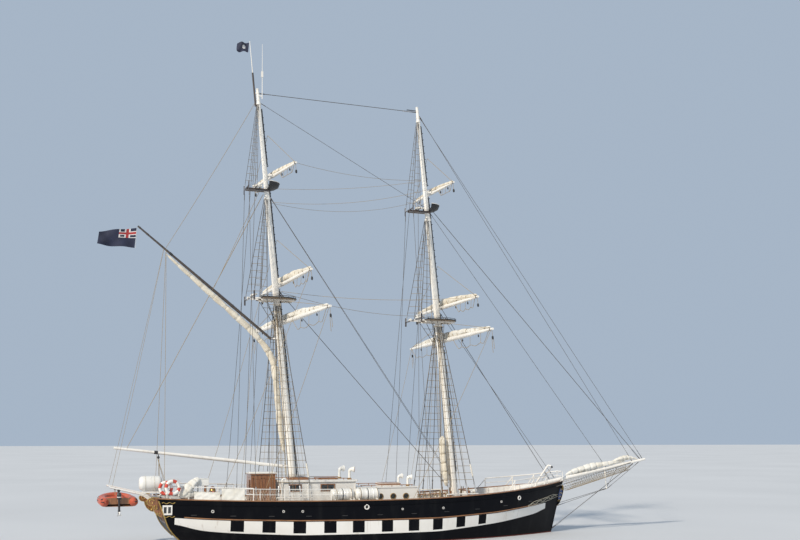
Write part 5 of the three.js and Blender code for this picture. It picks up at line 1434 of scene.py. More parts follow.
for label, m in MASTS.items():
    foot_z = float(deck_height(m["x"]))
    falls = []
    for y in FALL_Y:
        low = [m["x"] - 0.60, y, foot_z + 0.95]
        falls.append(bars([low], [on_mast(label, m["top"] - 0.5, -0.12, y * 0.5)], 0.008, 5))
    for y in (-0.5, 0.5):
        falls.append(bars([[m["x"] + 0.5, y, foot_z + 0.95]],
                          [on_mast(label, m["top"] - 1.6, 0.28, y * 0.4)], 0.008, 5))
    for s in (-1, 1):
        low = by_rail(m["x"] + np.array([-0.75, -1.3, -1.9]), s, 0.2, -0.05)
        high = on_mast(label, np.full(3, m["top"] - 0.75), -0.14, s * 0.26)
        falls.append(bars(low, high, 0.008, 5))
    piece(f"{label}_falls", falls, [hemp])
    x0, x1, top_z = m["x"] - 0.62, m["x"] + 0.56, foot_z + 0.92
    frame_rows = [[x - 0.04, x + 0.04, -half, half, top_z - 0.03, top_z + 0.03]
                  for x, half in ((x0, 0.78), (x1, 0.62))]
    frame_rows += [post(x, y, 0.05, foot_z - 0.02, top_z - 0.03)
                   for x, y in ((x0, -0.7), (x0, 0.7), (x1, -0.55), (x1, 0.55))]
    piece(f"{label}_fife_rail", [blocks(frame_rows)], [varnished], bevel=0.012)
    pin_places = [(x0, y) for y in FALL_Y] + [(x1, y) for y in (-0.5, -0.25, 0.25, 0.5)]
    pins = [lathe(BELAYING_PIN, (x, y, top_z + 0.03), (0, 0, 1), 8) for x, y in pin_places]
    coil_turn = np.linspace(0, 2 * np.pi, 15)[:-1]
    coils = []
    for y in FALL_Y:
        for k in range(3):
            centre = (x0 - 0.055 - 0.018 * k, y, top_z - 0.19)
            coil = oval(centre, 0.055 + 0.012 * k, 0.20, coil_turn)
            coils.append(tube(coil, 0.012, 5, loop=True, finish=1))
    side_x = m["x"] + np.linspace(0.4, -1.9, 8)
    for s in (-1, 1):
        ends = by_rail(side_x, s, 0.17, -0.14)
        coils.append(tube(ends, 0.03, 8, finish=2))
        for x, y, z in ends:
            pins.append(lathe(BELAYING_PIN * [1, 0.8], (x, y, z + 0.03), (0, 0, 1), 8))
            coil = oval((x, y - s * 0.05, z - 0.17), 0.07, 0.17, coil_turn, "xz")
            coils.append(tube(coil, 0.022, 6, loop=True, finish=1))
    piece(f"{label}_pins_and_coils", pins + coils,
          [bronze, white_rope if label == "main" else hemp, varnished])
print("running rigging made")

# %% [markdown]
# ## Flags
# A flag is a single sheet of bunting. It hangs from its hoist and its folds grow towards the fly, so the
# sheet is a grid whose sideways wave grows with the distance from the hoist. The canton is picked out face
# by face. The designs are plain ones.

# %% Ensign and burgee
navy = cloth("navy_bunting", (0.012, 0.018, 0.055), (0.008, 0.012, 0.035), 0.8, 220.0, 0.006, 0.3)
red = cloth("red_bunting", (0.42, 0.03, 0.03), (0.3, 0.02, 0.025), 0.8, 220.0, 0.006, 0.3)
white = cloth("white_bunting", (0.75, 0.74, 0.72), (0.6, 0.58, 0.56), 0.8, 220.0, 0.006, 0.3)


def flag(name, hoist_top, hoist, fly, droop, gather, body, rows, columns, picked, waves):
    """A flag: fly runs aft and down from the hoist, waves of growing size swing it from side to side."""
    u, v = np.meshgrid(np.linspace(0, 1, columns), np.linspace(0, 1, rows), indexing="ij")
    height = hoist * (1 - gather * u)
    x = hoist_top[0] - fly * u * np.cos(droop) - 0.10 * v * hoist
    z = hoist_top[2] - fly * u * np.sin(droop) - v * height - 0.03 * np.sin(7 * u + 3 * v) * u
    swing = 0.11 * np.sin(waves * 2 * np.pi * u + 2.2 * v) * np.sqrt(u)
    y = hoist_top[1] + swing + 0.05 * np.sin(9 * u - 4 * v) * u
    front = np.stack([x, y, z], -1)
    middle_u, middle_v = ((w[:-1, :-1] + w[1:, 1:]) / 2 for w in (u, v))
    cloth_slab = slab(front, front + [0, 0.003, 0], picked(middle_u, middle_v).ravel(), 0)
    made = piece(name, [cloth_slab], [navy, red, white], body, crease=70)


def canton(u, v):
    """Finish numbers: a red cross edged with white in the upper quarter beside the hoist, navy elsewhere."""
    inside = (u < 0.46) & (v < 0.5)
    wide = inside & ((np.abs(u - 0.23) < 0.07) | (np.abs(v - 0.25) < 0.115))
    narrow = inside & ((np.abs(u - 0.23) < 0.035) | (np.abs(v - 0.25) < 0.06))
    border = inside & ~((u < 0.43) & (v < 0.455))
    return np.where(narrow, 1, np.where(wide | border, 2, 0))


def spot(u, v):
    """Finish numbers: a small white disc on navy."""
    return np.where(((u - 0.42) / 0.15) ** 2 + ((v - 0.5) / 0.2) ** 2 < 1, 2, 0)


flag("ensign", GAFF_END + [-0.06, 0, -0.10], 1.02, 1.85, 0.16, 0.35, "gaff", 27, 53, canton, 1.5)
flag("burgee", on_mast("main", 26.32, -0.215), 0.52, 0.62, 0.12, 0.15, "ship", 15, 19, spot, 1.1)
halyards = bars([GAFF_END + [-0.04, 0, -0.04]], [GAFF_END + [-0.12, 0.0, -1.14]], 0.006, 5)
piece("ensign_halyard", [halyards], [white_rope], "gaff")

# %% [markdown]
# ## Bowsprit
# The bowsprit runs out from the stem over the dolphin striker, and its bobstay holds it down. Headsails lie
# furled along it, and a net hangs below for the crew who stow them. The net is a grid of knotted lines:
# each cross line hangs in a curve under the spar.

# %% Bowsprit, striker, bobstay and headsails
t = np.linspace(0, 1, 30)
spar_line = HEEL + (TIP - HEEL) * t[:, None]
parts = [tube(spar_line, 0.15 - 0.075 * t, 20)]
ahead = unit(TIP - HEEL)
for x in (11.95, 13.2, 14.5, 15.8, 16.5, 17.0):
    r = 0.15 - 0.075 * (x - HEEL[0]) / (TIP[0] - HEEL[0]) + 0.012
    parts.append(lathe(band_profile(r - 0.02, r, 0.04), on_bowsprit(x), ahead, 20))
end_cap = [[0.074, -0.05], [0.074, 0.0], [0.06, 0.012], [0.003, 0.014]]
parts.append(lathe(end_cap, TIP - ahead * 0.015, ahead, 20))
striker_top = on_bowsprit(14.55, -0.06)
striker_foot = striker_top + [0.12, 0, -1.15]
parts.append(tube(np.linspace(striker_top, striker_foot, 6), np.linspace(0.048, 0.03, 6), 12))
striker_shoe = [[0.003, -0.06], [0.05, -0.03], [0.05, 0.03], [0.003, 0.06]]
parts.append(lathe(striker_shoe, striker_foot + [0, 0, 0.03], (0.1, 0, -1), 14))
piece("bowsprit_spar", parts, [white_paint], stands_for=("bowsprit",))
bob_top, stem_foot = on_bowsprit(16.5, -0.11), np.array([10.98, 0, 0.22])
parts = stay(bob_top, stem_foot, 0.018, 0.5)
parts += stay(on_bowsprit(16.9, -0.1), striker_foot + [0.02, 0, 0], 0.012, 0.15)
parts += stay(on_bowsprit(15.4, -0.13), striker_foot + [0, 0, 0.1], 0.010, 0.1)
for s in (-1, 1):
    parts += stay(striker_foot + [0, s * 0.03, 0.02], [11.1, s * 0.32, 1.55], 0.012, 0.3)
    parts += stay(on_bowsprit(16.3) + [0, s * 0.09, 0], [10.75, s * 0.98, 2.72], 0.012, 0.35)
piece("bobstay_and_guys", parts, [wire, steel], stands_for=("bobstay",))


def furled(name, marks, steps, spacing, nip, seed, share=1.0, stands_for=()):
    """A furled headsail along marks of x, y, z and radius, drawn in to a share; gives back its gaskets."""
    roll = through(marks, steps)
    body, ties = bundle(roll[:, :3], roll[:, 3] * share, spacing, nip, seed=seed)
    made = piece(name, [body], [white_canvas], stands_for=stands_for, crease=60)
    return ties


# place along the bowsprit, radius
JIBS = np.array([[11.9, 0.06], [12.4, 0.15], [13.3, 0.19], [14.3, 0.16], [15.3, 0.11], [15.9, 0.05]])
marks = np.column_stack([on_bowsprit(JIBS[:, 0]) + (0.13 + JIBS[:, 1:2]) * [0, 0, 1], JIBS[:, 1]])
gaskets = furled("furled_jibs", marks, 150, 0.42, 0.24, 4.0, 0.97, ("furled_headsails",))
INNER_JIB = [[12.2, 0.24, 3.22, 0.04], [13.0, 0.26, 3.40, 0.11], [14.0, 0.24, 3.58, 0.12],
             [14.9, 0.2, 3.72, 0.05]]
gaskets += furled("furled_inner_jib", INNER_JIB, 90, 0.4, 0.24, 1.0)
FLYING_JIB = [[14.9, 0.02, 4.02, 0.04], [15.5, -0.05, 4.25, 0.12], [16.1, 0.0, 4.33, 0.15],
              [16.6, 0.02, 4.30, 0.08], [16.85, 0.0, 4.22, 0.03]]
gaskets += furled("furled_flying_jib", FLYING_JIB, 90, 0.3, 0.2, 7.0)
piece("headsail_gaskets", gaskets, [white_rope, white_rope])

# %% Bowsprit net
u = np.linspace(0.07, 1, 28)
side_y = 0.85 - 0.62 * u
guy_z = 2.78 + 1.12 * u
angle = np.linspace(-np.pi / 2, np.pi / 2, 9)
net = np.stack(np.broadcast_arrays(
    (11.55 + 4.6 * u)[:, None],
    side_y[:, None] * np.sin(angle),
    (guy_z - 0.02)[:, None] - (0.42 - 0.10 * u)[:, None] * np.cos(angle),
), -1)
crossing = bars(net[:, :-1].reshape(-1, 3), net[:, 1:].reshape(-1, 3), 0.009, 4)
lengthwise = bars(net[:-1].reshape(-1, 3), net[1:].reshape(-1, 3), 0.008, 4)
slant = bars(net[:-1, :-1].reshape(-1, 3), net[1:, 1:].reshape(-1, 3), 0.006, 4)
piece("bowsprit_net", [crossing, lengthwise, slant], [hemp])
print("bowsprit made")

# %% [markdown]
# ## Houses on deck
# The deckhouse, the trunk cabin and the companionway keep their plain solids, which already have the right
# shape, and get paint or varnish. What makes them real is added: sash frames and dark glass, portholes
# with turned bronze rims, panels, handrails, trims at the corners and cowl ventilators.

# %% Finishes of the solids that stay
def wear(names, material):
    """Gives plain solids of the frame their finish."""
    for name in names:
        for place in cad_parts[name].material_slots:
            place.material = material


wear(("deckhouse_walls", "deckhouse_roof", "forward_trunk", "stern_lockers"), white_paint)
wear(("companionway", "companionway_door", "deckhouse_door", "steering_pedestal"), varnished)
wear(("keel", "rudder"), black_enamel)
wear(("shaft_starboard", "shaft_port"), steel)


def frame_round(x0, x1, z0, z1, y, side, width=0.05, proud=0.02):
    """Rows of blocks for a sash frame round an opening in a side wall."""
    low, high = sorted((y * side, (y + proud) * side))
    return [
        [x0 - width, x1 + width, low, high, z1, z1 + width],
        [x0 - width, x1 + width, low, high, z0 - width, z0], [x0 - width, x0, low, high, z0, z1],
        [x1, x1 + width, low, high, z0, z1],
    ]


# %% Deckhouse windows, trims and handrails
frames, panes, trims = [], [], []
for side, spans in ((-1, [(-5.08, -4.52), (-3.40, -2.70)]), (1, [(-3.40, -2.70)])):
    for x0, x1 in spans:
        frames += frame_round(x0, x1, 2.74, 3.04, 1.301, side)
        low, high = sorted((1.245 * side, 1.275 * side))
        panes.append([x0 - 0.01, x1 + 0.01, low, high, 2.73, 3.05])
        middle = (x0 + x1) / 2
        low, high = sorted((1.276 * side, 1.306 * side))
        frames.append([middle - 0.015, middle + 0.015, low, high, 2.74, 3.04])
panes.append([-1.53, -1.51, -0.91, 0.91, 2.94, 3.05])
for s in (-1, 1):
    frames.append([-1.499, -1.47, s * 0.3 - 0.02, s * 0.3 + 0.02, 2.95, 3.04])
    low, high = sorted((s * 1.301, s * 1.325))
    trims += [[x - 0.035, x + 0.035, low, high, 1.6, 3.18]
              for x in ((-5.49, -4.1, -1.54) if s < 0 else (-5.49, -1.54))]
    trims.append([-5.6, -1.43, *sorted((s * 1.352, s * 1.385)), 3.19, 3.30])
trims += [[-5.61, -5.582, -1.385, 1.385, 3.19, 3.30], [-1.448, -1.42, -1.385, 1.385, 3.19, 3.30]]
piece("deckhouse_windows", [blocks(frames, 0), blocks(panes, 1), blocks(trims, 2)],
      [varnished, glass, white_paint], bevel=0.005)
# both ends, distance from the centreline, foot, top, number of feet, how far the bar runs past them
HANDRAILS = ((-5.3, -3.7, 1.22, 3.28, 3.37, 5, 0.0), (-3.4, -1.75, 1.22, 3.28, 3.37, 5, 0.0),
             (-1.15, 1.75, 1.15, 2.87, 2.97, 6, 0.05))
rails = []
for s in (-1, 1):
    for x0, x1, y, foot, top, count, past in HANDRAILS:
        feet = np.column_stack([np.linspace(x0, x1, count), np.full(count, s * y), np.full(count, foot)])
        heads = feet * [1, 1, 0] + [0, 0, top]
        bar = np.column_stack([np.linspace(x0 - past, x1 + past, count), heads[:, 1:]])
        rails += [tube(bar, 0.02, 8), bars(feet, heads, 0.018, 6)]
piece("house_handrails", rails, [varnished_fore_aft])


def porthole(centre, out, radius=0.13):
    """A bronze rim and a dark pane, turned about the direction that the port faces."""
    rim = [[radius, -0.01], [radius + 0.045, -0.01], [radius + 0.045, 0.014], [radius + 0.02, 0.026],
           [radius, 0.018]]
    pane = [[0.002, -0.012], [radius + 0.006, -0.012], [radius + 0.006, 0.006], [0.002, 0.006]]
    return [lathe(rim, centre, out, 24, loop=True), lathe(pane, centre, out, 24, finish=1)]


ports = []
for s in (-1, 1):
    for x in (-0.83, -0.10, 0.63, 1.365):
        ports += porthole((x, s * 1.251, 2.36), (0, s, 0))
ports += [p for y in (-0.6, 0.6) for p in porthole((2.032, y, 2.45), (1, 0, 0), 0.11)]
ports += [p for y in (-0.95, 0.95) for p in porthole((-5.532, y, 2.72), (-1, 0, 0), 0.12)]
piece("portholes", ports, [bronze, glass])

# %% Hatches, skylight and door panels
hatch = [[0.16, 1.34, -0.49, 0.49, 2.965, 3.02], [0.24, 1.26, -0.41, 0.41, 3.045, 3.07]]
sky = [[-4.9, -3.9, -0.5, 0.5, 3.285, 3.42]]
sky_panes = [[x, x + 0.2, y, y + 0.38, 3.415, 3.435] for x in (-4.82, -4.5, -4.2) for y in (-0.44, 0.06)]
guard_from = np.column_stack([np.linspace(-4.85, -3.95, 10), np.full(10, -0.46), np.full(10, 3.47)])
guard = bars(guard_from, guard_from * [1, -1, 1], 0.009, 6, finish=2)
slides = [[-3.3, -2.3, -0.42, 0.42, 3.285, 3.39], [-3.34, -2.26, -0.46, -0.42, 3.285, 3.36],
          [-3.34, -2.26, 0.42, 0.46, 3.285, 3.36]]
piece("hatches_and_skylight", [blocks(hatch + sky + slides), blocks(sky_panes, 1), guard],
      [varnished, glass, bronze], bevel=0.01)
panel_rows = []
for s in (-1, 1):
    for x in (-6.92, -6.32):
        for z0, z1 in ((2.0, 2.62), (2.76, 3.42)):
            low, high = sorted((s * 0.6, s * 0.618))
            panel_rows += [[x, x + 0.5, low, high, z0, z0 + 0.06], [x, x + 0.5, low, high, z1 - 0.06, z1],
                           [x, x + 0.06, low, high, z0, z1], [x + 0.44, x + 0.5, low, high, z0, z1],
                           [x + 0.12, x + 0.38, *sorted((s * 0.598, s * 0.612)), z0 + 0.12, z1 - 0.12]]
lid = [[-7.07, -5.63, -0.67, 0.67, 3.64, 3.69], [-6.95, -5.75, -0.55, 0.55, 3.69, 3.725]]
piece("companionway_panels", [blocks(panel_rows), blocks(lid, 1)], [varnished, white_paint],
      bevel=0.007)
door_low, door_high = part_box("companionway_door")
face_x = door_low[0] + 0.012
door_rows = [[face_x - 0.014, face_x + 0.004, y0, y1, z0, z1]
             for y0, y1 in ((-0.27, -0.03), (0.03, 0.27)) for z0, z1 in ((1.85, 2.5), (2.62, 3.3))]
piece("companionway_door_panels", [blocks(door_rows)], [varnished], "companionway_door",
      bevel=0.005)
house_low, house_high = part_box("deckhouse_door")
rows = [[x0, x1, house_high[1] - 0.03, house_high[1] - 0.008, z0, z1]
        for x0, x1 in ((-5.27, -5.04), (-4.97, -4.75)) for z0, z1 in ((1.8, 2.35), (2.45, 3.0))]
piece("deckhouse_door_panels", [blocks(rows)], [varnished], "deckhouse_door", bevel=0.005)
print("door boxes:", [round(v, 3) for v in (*door_low, *door_high)],
      [round(v, 3) for v in (*house_low, *house_high)])


def cowl_vent(x, y, foot, height, size, turn=0.0):
    """A ventilator: a stem that bends forward and flares into a round mouth; a tube with a growing radius."""
    bend = np.linspace(0, np.pi / 2, 12)
    stem = np.stack([np.zeros(6), np.zeros(6), np.linspace(0, height - size, 6)], -1)
    arc = np.stack([size * (1 - np.cos(bend)), np.zeros(12), height - size + size * np.sin(bend)], -1)
    mouth = np.stack([np.linspace(size, size * 1.9, 5)[1:], np.zeros(4), np.full(4, height)], -1)
    path = np.concatenate([stem, arc[1:], mouth])
    n = len(path)
    radius = np.interp(np.arange(n), [0, 5, 15, n - 1], [size * 0.55, size * 0.55, size * 0.8, size * 1.15])
    body = tube(path, radius, 20)
    lip = ring(path[-1], (1, 0, 0), size * 1.13, 0.018, 24, 8)
    throat_profile = [[0.003, 0], [size * 1.08, 0], [size * 1.08, 0.004], [0.003, 0.004]]
    throat = lathe(throat_profile, path[-1] + [0.002, 0, 0], (1, 0, 0), 20, finish=1)
    base_profile = [[0.003, 0], [size * 0.85, 0], [size * 0.85, 0.05], [size * 0.6, 0.07], [0.003, 0.07]]
    base = lathe(base_profile, (0, 0, 0), (0, 0, 1), 20, finish=2)
    c, s = np.cos(turn), np.sin(turn)
    axes = [[c, s, 0], [-s, c, 0], [0, 0, 1]]
    return [placed(q, axes, (x, y, foot)) for q in (body, lip, throat, base)]


# place along and across, foot, height, size, way it is turned
COWLS = (
    (-1.75, 0.95, 3.285, 0.55, 0.14, 0.3), (-1.75, -0.95, 3.285, 0.55, 0.14, -0.4),
    (1.65, 0.75, 2.875, 0.5, 0.12, 0.2), (1.65, -0.75, 2.875, 0.5, 0.12, -0.2),
    (6.2, 0.9, float(deck_height(6.2)) - 0.01, 0.75, 0.14, 0.0),
    (-7.6, 1.1, float(deck_height(-7.6)) - 0.01, 0.7, 0.13, 2.8),
)
piece("cowl_ventilators", [p for row in COWLS for p in cowl_vent(*row)], [white_gloss, ring_red, bronze],
      crease=50)

# %% [markdown]
# ## Liferafts, wheel and binnacle
# A liferaft lies in a ribbed capsule, strapped on chocks. The capsule is one turned profile whose radius
# rises at each rib. The wheel is a turned rim with eight turned spokes that pass through it as handles.

# %% Liferaft capsules
def capsule(x0, x1, y, z, radius, ribs, sides=36):
    """A turned drum: radius eases to the ends as a quarter circle, and rises 14 mm at each rib."""
    x = np.linspace(x0, x1, 110)
    ease = 0.42 * radius
    from_end = np.minimum(x - x0, x1 - x)
    r = radius - ease + np.sqrt(np.maximum(ease ** 2 - np.maximum(ease - from_end, 0) ** 2, 0))
    rib_x = np.linspace(x0 + 0.16, x1 - 0.16, ribs)
    r = r * 0.965 + 0.014 * np.exp(-((x[:, None] - rib_x) / 0.018) ** 4).sum(1)
    seam_profile = [[radius * 0.955, -0.02], [radius, -0.012], [radius, 0.012], [radius * 0.955, 0.02]]
    seam = lathe(seam_profile, ((x0 + x1) / 2, y, z), (1, 0, 0), sides, finish=1)
    return [lathe(np.stack([np.maximum(r, 0.004), x], -1), (0, y, z), (1, 0, 0), sides), seam]


RAFT_Y, RAFT_Z, RAFT_RADIUS = 2.27, 2.56, 0.322
CHOCK = np.array([[-0.30, 2.14], [0.30, 2.14], [0.30, 2.30], [0.24, 2.36], [0.15, 2.29], [0.0, 2.255],
                  [-0.15, 2.29], [-0.24, 2.36], [-0.30, 2.30]])
for s, word in ((-1, "starboard"), (1, "port")):
    parts, y = [], s * RAFT_Y
    for x0, x1 in ((-3.17, -1.98), (-1.87, -0.55)):
        parts += capsule(x0, x1, y, RAFT_Z, RAFT_RADIUS, 6)
        for x in (x0 + 0.2, x1 - 0.2):
            strap = oval((x + 0.06, y, RAFT_Z), RAFT_RADIUS + 0.01, RAFT_RADIUS + 0.01, full_turn(28))
            parts.append(tube(strap, 0.014, 6, loop=True, finish=2))
    parts += [plate(CHOCK + [y, 0], x - 0.03, x + 0.03, "yz", finish=3) for x in (-3.0, -2.15, -1.70, -0.72)]
    parts.append(blocks([[-3.25, -0.45, y + dy - 0.025, y + dy + 0.025, 2.13, 2.19]
                         for dy in (-0.24, 0.24)], 3))
    parts.append(blocks([post(x, y + dy, 0.025, float(deck_height(x)) - 0.02, 2.14)
                         for x in (-3.1, -1.9, -0.6) for dy in (-0.24, 0.24)], 3))
    piece(f"liferafts_{word}_capsules", parts, [white_gloss, black_iron, hemp, white_paint],
          stands_for=(f"liferafts_{word}",), crease=30)

# %% Wheel, binnacle and lockers
centre, rim_radius = np.array([-9.25, 0, 2.55]), 0.52
spoke = [[0.004, 0.06], [0.02, 0.09], [0.024, 0.16], [0.016, 0.2], [0.026, 0.3], [0.018, 0.4], [0.018, 0.5],
         [0.02, 0.54], [0.014, 0.57], [0.024, 0.62], [0.02, 0.665], [0.003, 0.67]]
hub = [[0.003, -0.06], [0.085, -0.05], [0.10, -0.02], [0.10, 0.02], [0.085, 0.05], [0.05, 0.065],
       [0.05, 0.085], [0.003, 0.09]]
parts = [ring(centre, (1, 0, 0), rim_radius, 0.026, 56, 10)]
parts.append(ring(centre + [0.022, 0, 0], (1, 0, 0), rim_radius, 0.010, 56, 6, finish=1))
parts += [lathe(spoke, centre, (0, np.sin(a), np.cos(a)), 10) for a in np.arange(8) * np.pi / 4]
parts.append(lathe(hub, centre, (1, 0, 0), 24, finish=1))
piece("helm_wheel", parts, [varnished, bronze], "steering_wheel", ("steering_wheel",))
PEDESTAL_X = -8.9
hood = [[0.162, 0.0], [0.17, 0.02], [0.162, 0.05], [0.15, 0.12], [0.10, 0.19], [0.04, 0.225], [0.03, 0.25],
        [0.003, 0.26]]
ball = [[0.003, -0.07], [0.05, -0.05], [0.07, 0], [0.05, 0.05], [0.003, 0.07]]
plinth_low = float(deck_height(PEDESTAL_X)) - 0.01
parts = [lathe(hood, (PEDESTAL_X, 0, 2.72), (0, 0, 1), 28)]
parts.append(ring((PEDESTAL_X, 0, 2.745), (0, 0, 1), 0.165, 0.012, 28, 8))
parts += [lathe(ball, (PEDESTAL_X, s * 0.25, 2.68), (0, 0, 1), 16, finish=1 + (s > 0)) for s in (-1, 1)]
parts.append(blocks([[-8.93, -8.87, s * 0.18 - 0.02, s * 0.18 + 0.05, 2.64, 2.68] for s in (-1, 1)], 0))
parts.append(blocks([[-9.09, -8.71, -0.21, 0.21, 2.7, 2.725],
                     [-9.09, -8.71, -0.2, 0.2, plinth_low, 1.76]], 3))
piece("binnacle", parts, [bronze, ring_red, white_gloss, varnished], bevel=0.004)
lids = [[-11.08, -10.12, y0, y1, 2.15, 2.185] for y0, y1 in ((-1.78, -0.62), (-0.58, 0.58), (0.62, 1.78))]
lids += [[-10.11, -9.82, s * 1.325 - 0.455, s * 1.325 + 0.455, 2.15, 2.185] for s in (-1, 1)]
piece("locker_lids", [blocks(lids)], [varnished_fore_aft], bevel=0.012)
print("deck gear made")

# %% [markdown]
# ## The bow
# The pulpit, the anchor davit, the windlass and the stowed anchor take the place of plain bars of the same
# size. The stem ends in a carved scroll, a flat spiral of growing width, with a painted board behind it.

# %% Pulpit
feet = level_points(np.array([0.68, 0.8, 0.89]), 0.035)[RAIL_LEVEL]
heads = feet + [0, 0, 0.56]
bow_ends = np.array([[11.5, 0.32, 3.56]])
round_bow = np.concatenate([heads, bow_ends, bow_ends * [1, -1, 1], heads[::-1] * [1, -1, 1]])
smooth_path = bent(round_bow, 0.16, 6)
low_half = np.concatenate([feet + [0, 0, 0.29], bow_ends - [0, 0, 0.27]])
low_path = bent(np.concatenate([low_half, low_half[::-1] * [1, -1, 1]]), 0.16, 6)
parts = [tube(smooth_path, 0.031, 10), tube(low_path, 0.018, 8)]
for s in (1, -1):
    f, h = feet * [1, s, 1], heads * [1, s, 1]
    parts.append(bars(f - [0, 0, 0.01], h, 0.028, 10))
    braces_from = f + [[-0.45, 0, -0.02], [-0.38, 0.0, -0.01], [-0.3, 0, 0]]
    braces_from[:, 1] = s * (rail_half(braces_from[:, 0]) - 0.035)
    parts.append(bars(braces_from, h - [0, 0, 0.05], 0.024, 8))
    flange = [[0.003, 0], [0.05, 0.0], [0.05, 0.012], [0.03, 0.03], [0.003, 0.03]]
    parts += [lathe(flange, p, (0, 0, 1), 14) for p in f + [0, 0, 0.05]]
    parts.append(bars([[11.5, s * 0.32, 3.0]], [[11.5, s * 0.32, 3.56]], 0.02, 8))
    parts.append(bars([[11.36, s * 0.30, 2.97]], [[11.5, s * 0.32, 3.1]], 0.02, 8))
piece("bow_rail", parts, [white_paint], stands_for=("bow_pulpit",))

# %% Anchor davit, windlass, anchor and bitts
davit = bent([[9.38, -0.7, 1.7], [9.56, -0.74, 2.95], [10.03, -1.3, 3.97], [10.11, -1.52, 3.91]], 0.09, 7)
parts = [tube(davit, np.interp(np.linspace(0, 1, len(davit)), [0, 0.6, 1], [0.055, 0.05, 0.04]), 14)]
sheave = [[0.003, -0.05], [0.055, -0.04], [0.035, 0], [0.055, 0.04], [0.003, 0.05]]
collar = [[0.056, 0], [0.13, 0.0], [0.13, 0.03], [0.056, 0.05]]
parts.append(lathe(sheave, (10.13, -1.54, 3.86), (1, 0, 0), 14, finish=1))
parts.append(lathe(collar, (9.39, -0.703, float(deck_height(9.4))), (0, 0, 1), 18))
parts.append(bars([[10.13, -1.54, 3.84]], [[9.75, -1.05, 3.1]], 0.012, 6, finish=2))
piece("anchor_davit_arm", parts, [white_paint, black_iron, hemp],
      stands_for=("anchor_davit",))
drum_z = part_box("windlass")[1][2] - 0.16
drum_half = [[0.13, 0.19], [0.09, 0.2], [0.09, 0.31], [0.15, 0.33], [0.15, 0.36], [0.10, 0.42], [0.11, 0.52],
             [0.17, 0.58], [0.16, 0.62], [0.003, 0.62]]
drum = np.array([[r, -y] for r, y in drum_half[::-1]] + drum_half)
base_z = float(deck_height(7.35))
cheek_outline = np.array([[7.1, base_z - 0.02], [7.6, base_z - 0.02], [7.5, drum_z + 0.02],
                          [7.42, drum_z + 0.13], [7.28, drum_z + 0.13], [7.2, drum_z + 0.02]])
parts = [lathe(drum, (7.35, 0, drum_z), (0, 1, 0), 26)]
parts += [plate(cheek_outline, y - 0.03, y + 0.03, "xz") for y in (-0.26, 0.26)]
parts.append(blocks([[7.0, 7.7, -0.42, 0.42, base_z - 0.02, base_z + 0.05]], 1))
for y in (-0.345, 0.345):
    link_x = np.linspace(7.52, 9.1, 26)
    chain_z = np.interp(link_x, [7.52, 7.9, 9.1], [drum_z, base_z + 0.05, float(deck_height(9.1)) + 0.04])
    y_line = y + (link_x - 7.52) * 0.12 * np.sign(y)
    for k, (x, link_y, z) in enumerate(zip(link_x, y_line, chain_z)):
        link = oval((x, link_y, z), 0.045, 0.024, full_turn(8), "xy" if k % 2 else "xz")
        parts.append(tube(link, 0.008, 4, loop=True))
piece("windlass_and_chain", parts, [black_iron, teak], stands_for=("windlass",),
      bevel=0.003)
az = float(deck_height(8.5)) + 0.06
ANCHOR_ARMS = ((8.65, -0.35), (8.87, -0.2), (8.9, 0), (8.87, 0.2), (8.65, 0.35))
arm_arc = bent([[x, 0.85 + dy, az] for x, dy in ANCHOR_ARMS], 0.08, 5)
parts = [tube(np.linspace([8.35, 0.85, az], [8.9, 0.85, az], 5), [0.026, 0.03, 0.032, 0.036, 0.045], 10)]
parts.append(tube(arm_arc, np.interp(np.linspace(0, 1, len(arm_arc)), [0, 0.5, 1], [0.02, 0.045, 0.02]), 10))
parts.append(tube([[8.42, 0.48, az], [8.42, 0.85, az], [8.42, 1.22, az]], [0.014, 0.022, 0.014], 10))
parts += [plate([[8.6, 0.85 + s * 0.27], [8.78, 0.85 + s * 0.24], [8.64, 0.85 + s * 0.4]],
                az - 0.012, az + 0.012, "xy") for s in (-1, 1)]
parts.append(ring((8.3, 0.85, az), (0, 0, 1), 0.06, 0.012, 20, 8))
parts.append(blocks([[x - 0.05, x + 0.05, 0.6, 1.1, float(deck_height(8.5)) - 0.02, az - 0.025]
                     for x in (8.45, 8.75)], 1))
piece("stowed_anchor", parts, [black_iron, varnished], stands_for=("anchor",))
bits = []
bollard = [[0.003, -0.02], [0.10, -0.02], [0.10, 0.02], [0.06, 0.05], [0.055, 0.22], [0.085, 0.26],
           [0.085, 0.30], [0.003, 0.32]]
for x, half in ((9.05, 0.35), (-10.0, 1.95), (6.0, 2.1), (-6.3, 2.45)):
    for s in (-1, 1):
        z = float(deck_height(x))
        for dx in (-0.13, 0.13):
            bits.append(lathe(bollard, (x + dx, s * half, z), (0, 0, 1), 16))
piece("mooring_bitts", bits, [black_iron])
scuttle_rows = [[2.58, 3.42, -0.4, 0.4, float(deck_height(3)) - 0.02, 1.86],
                [2.55, 3.45, -0.44, 0.44, 1.86, 1.90]]
piece("fore_scuttle", [blocks(scuttle_rows)], [varnished], bevel=0.012)

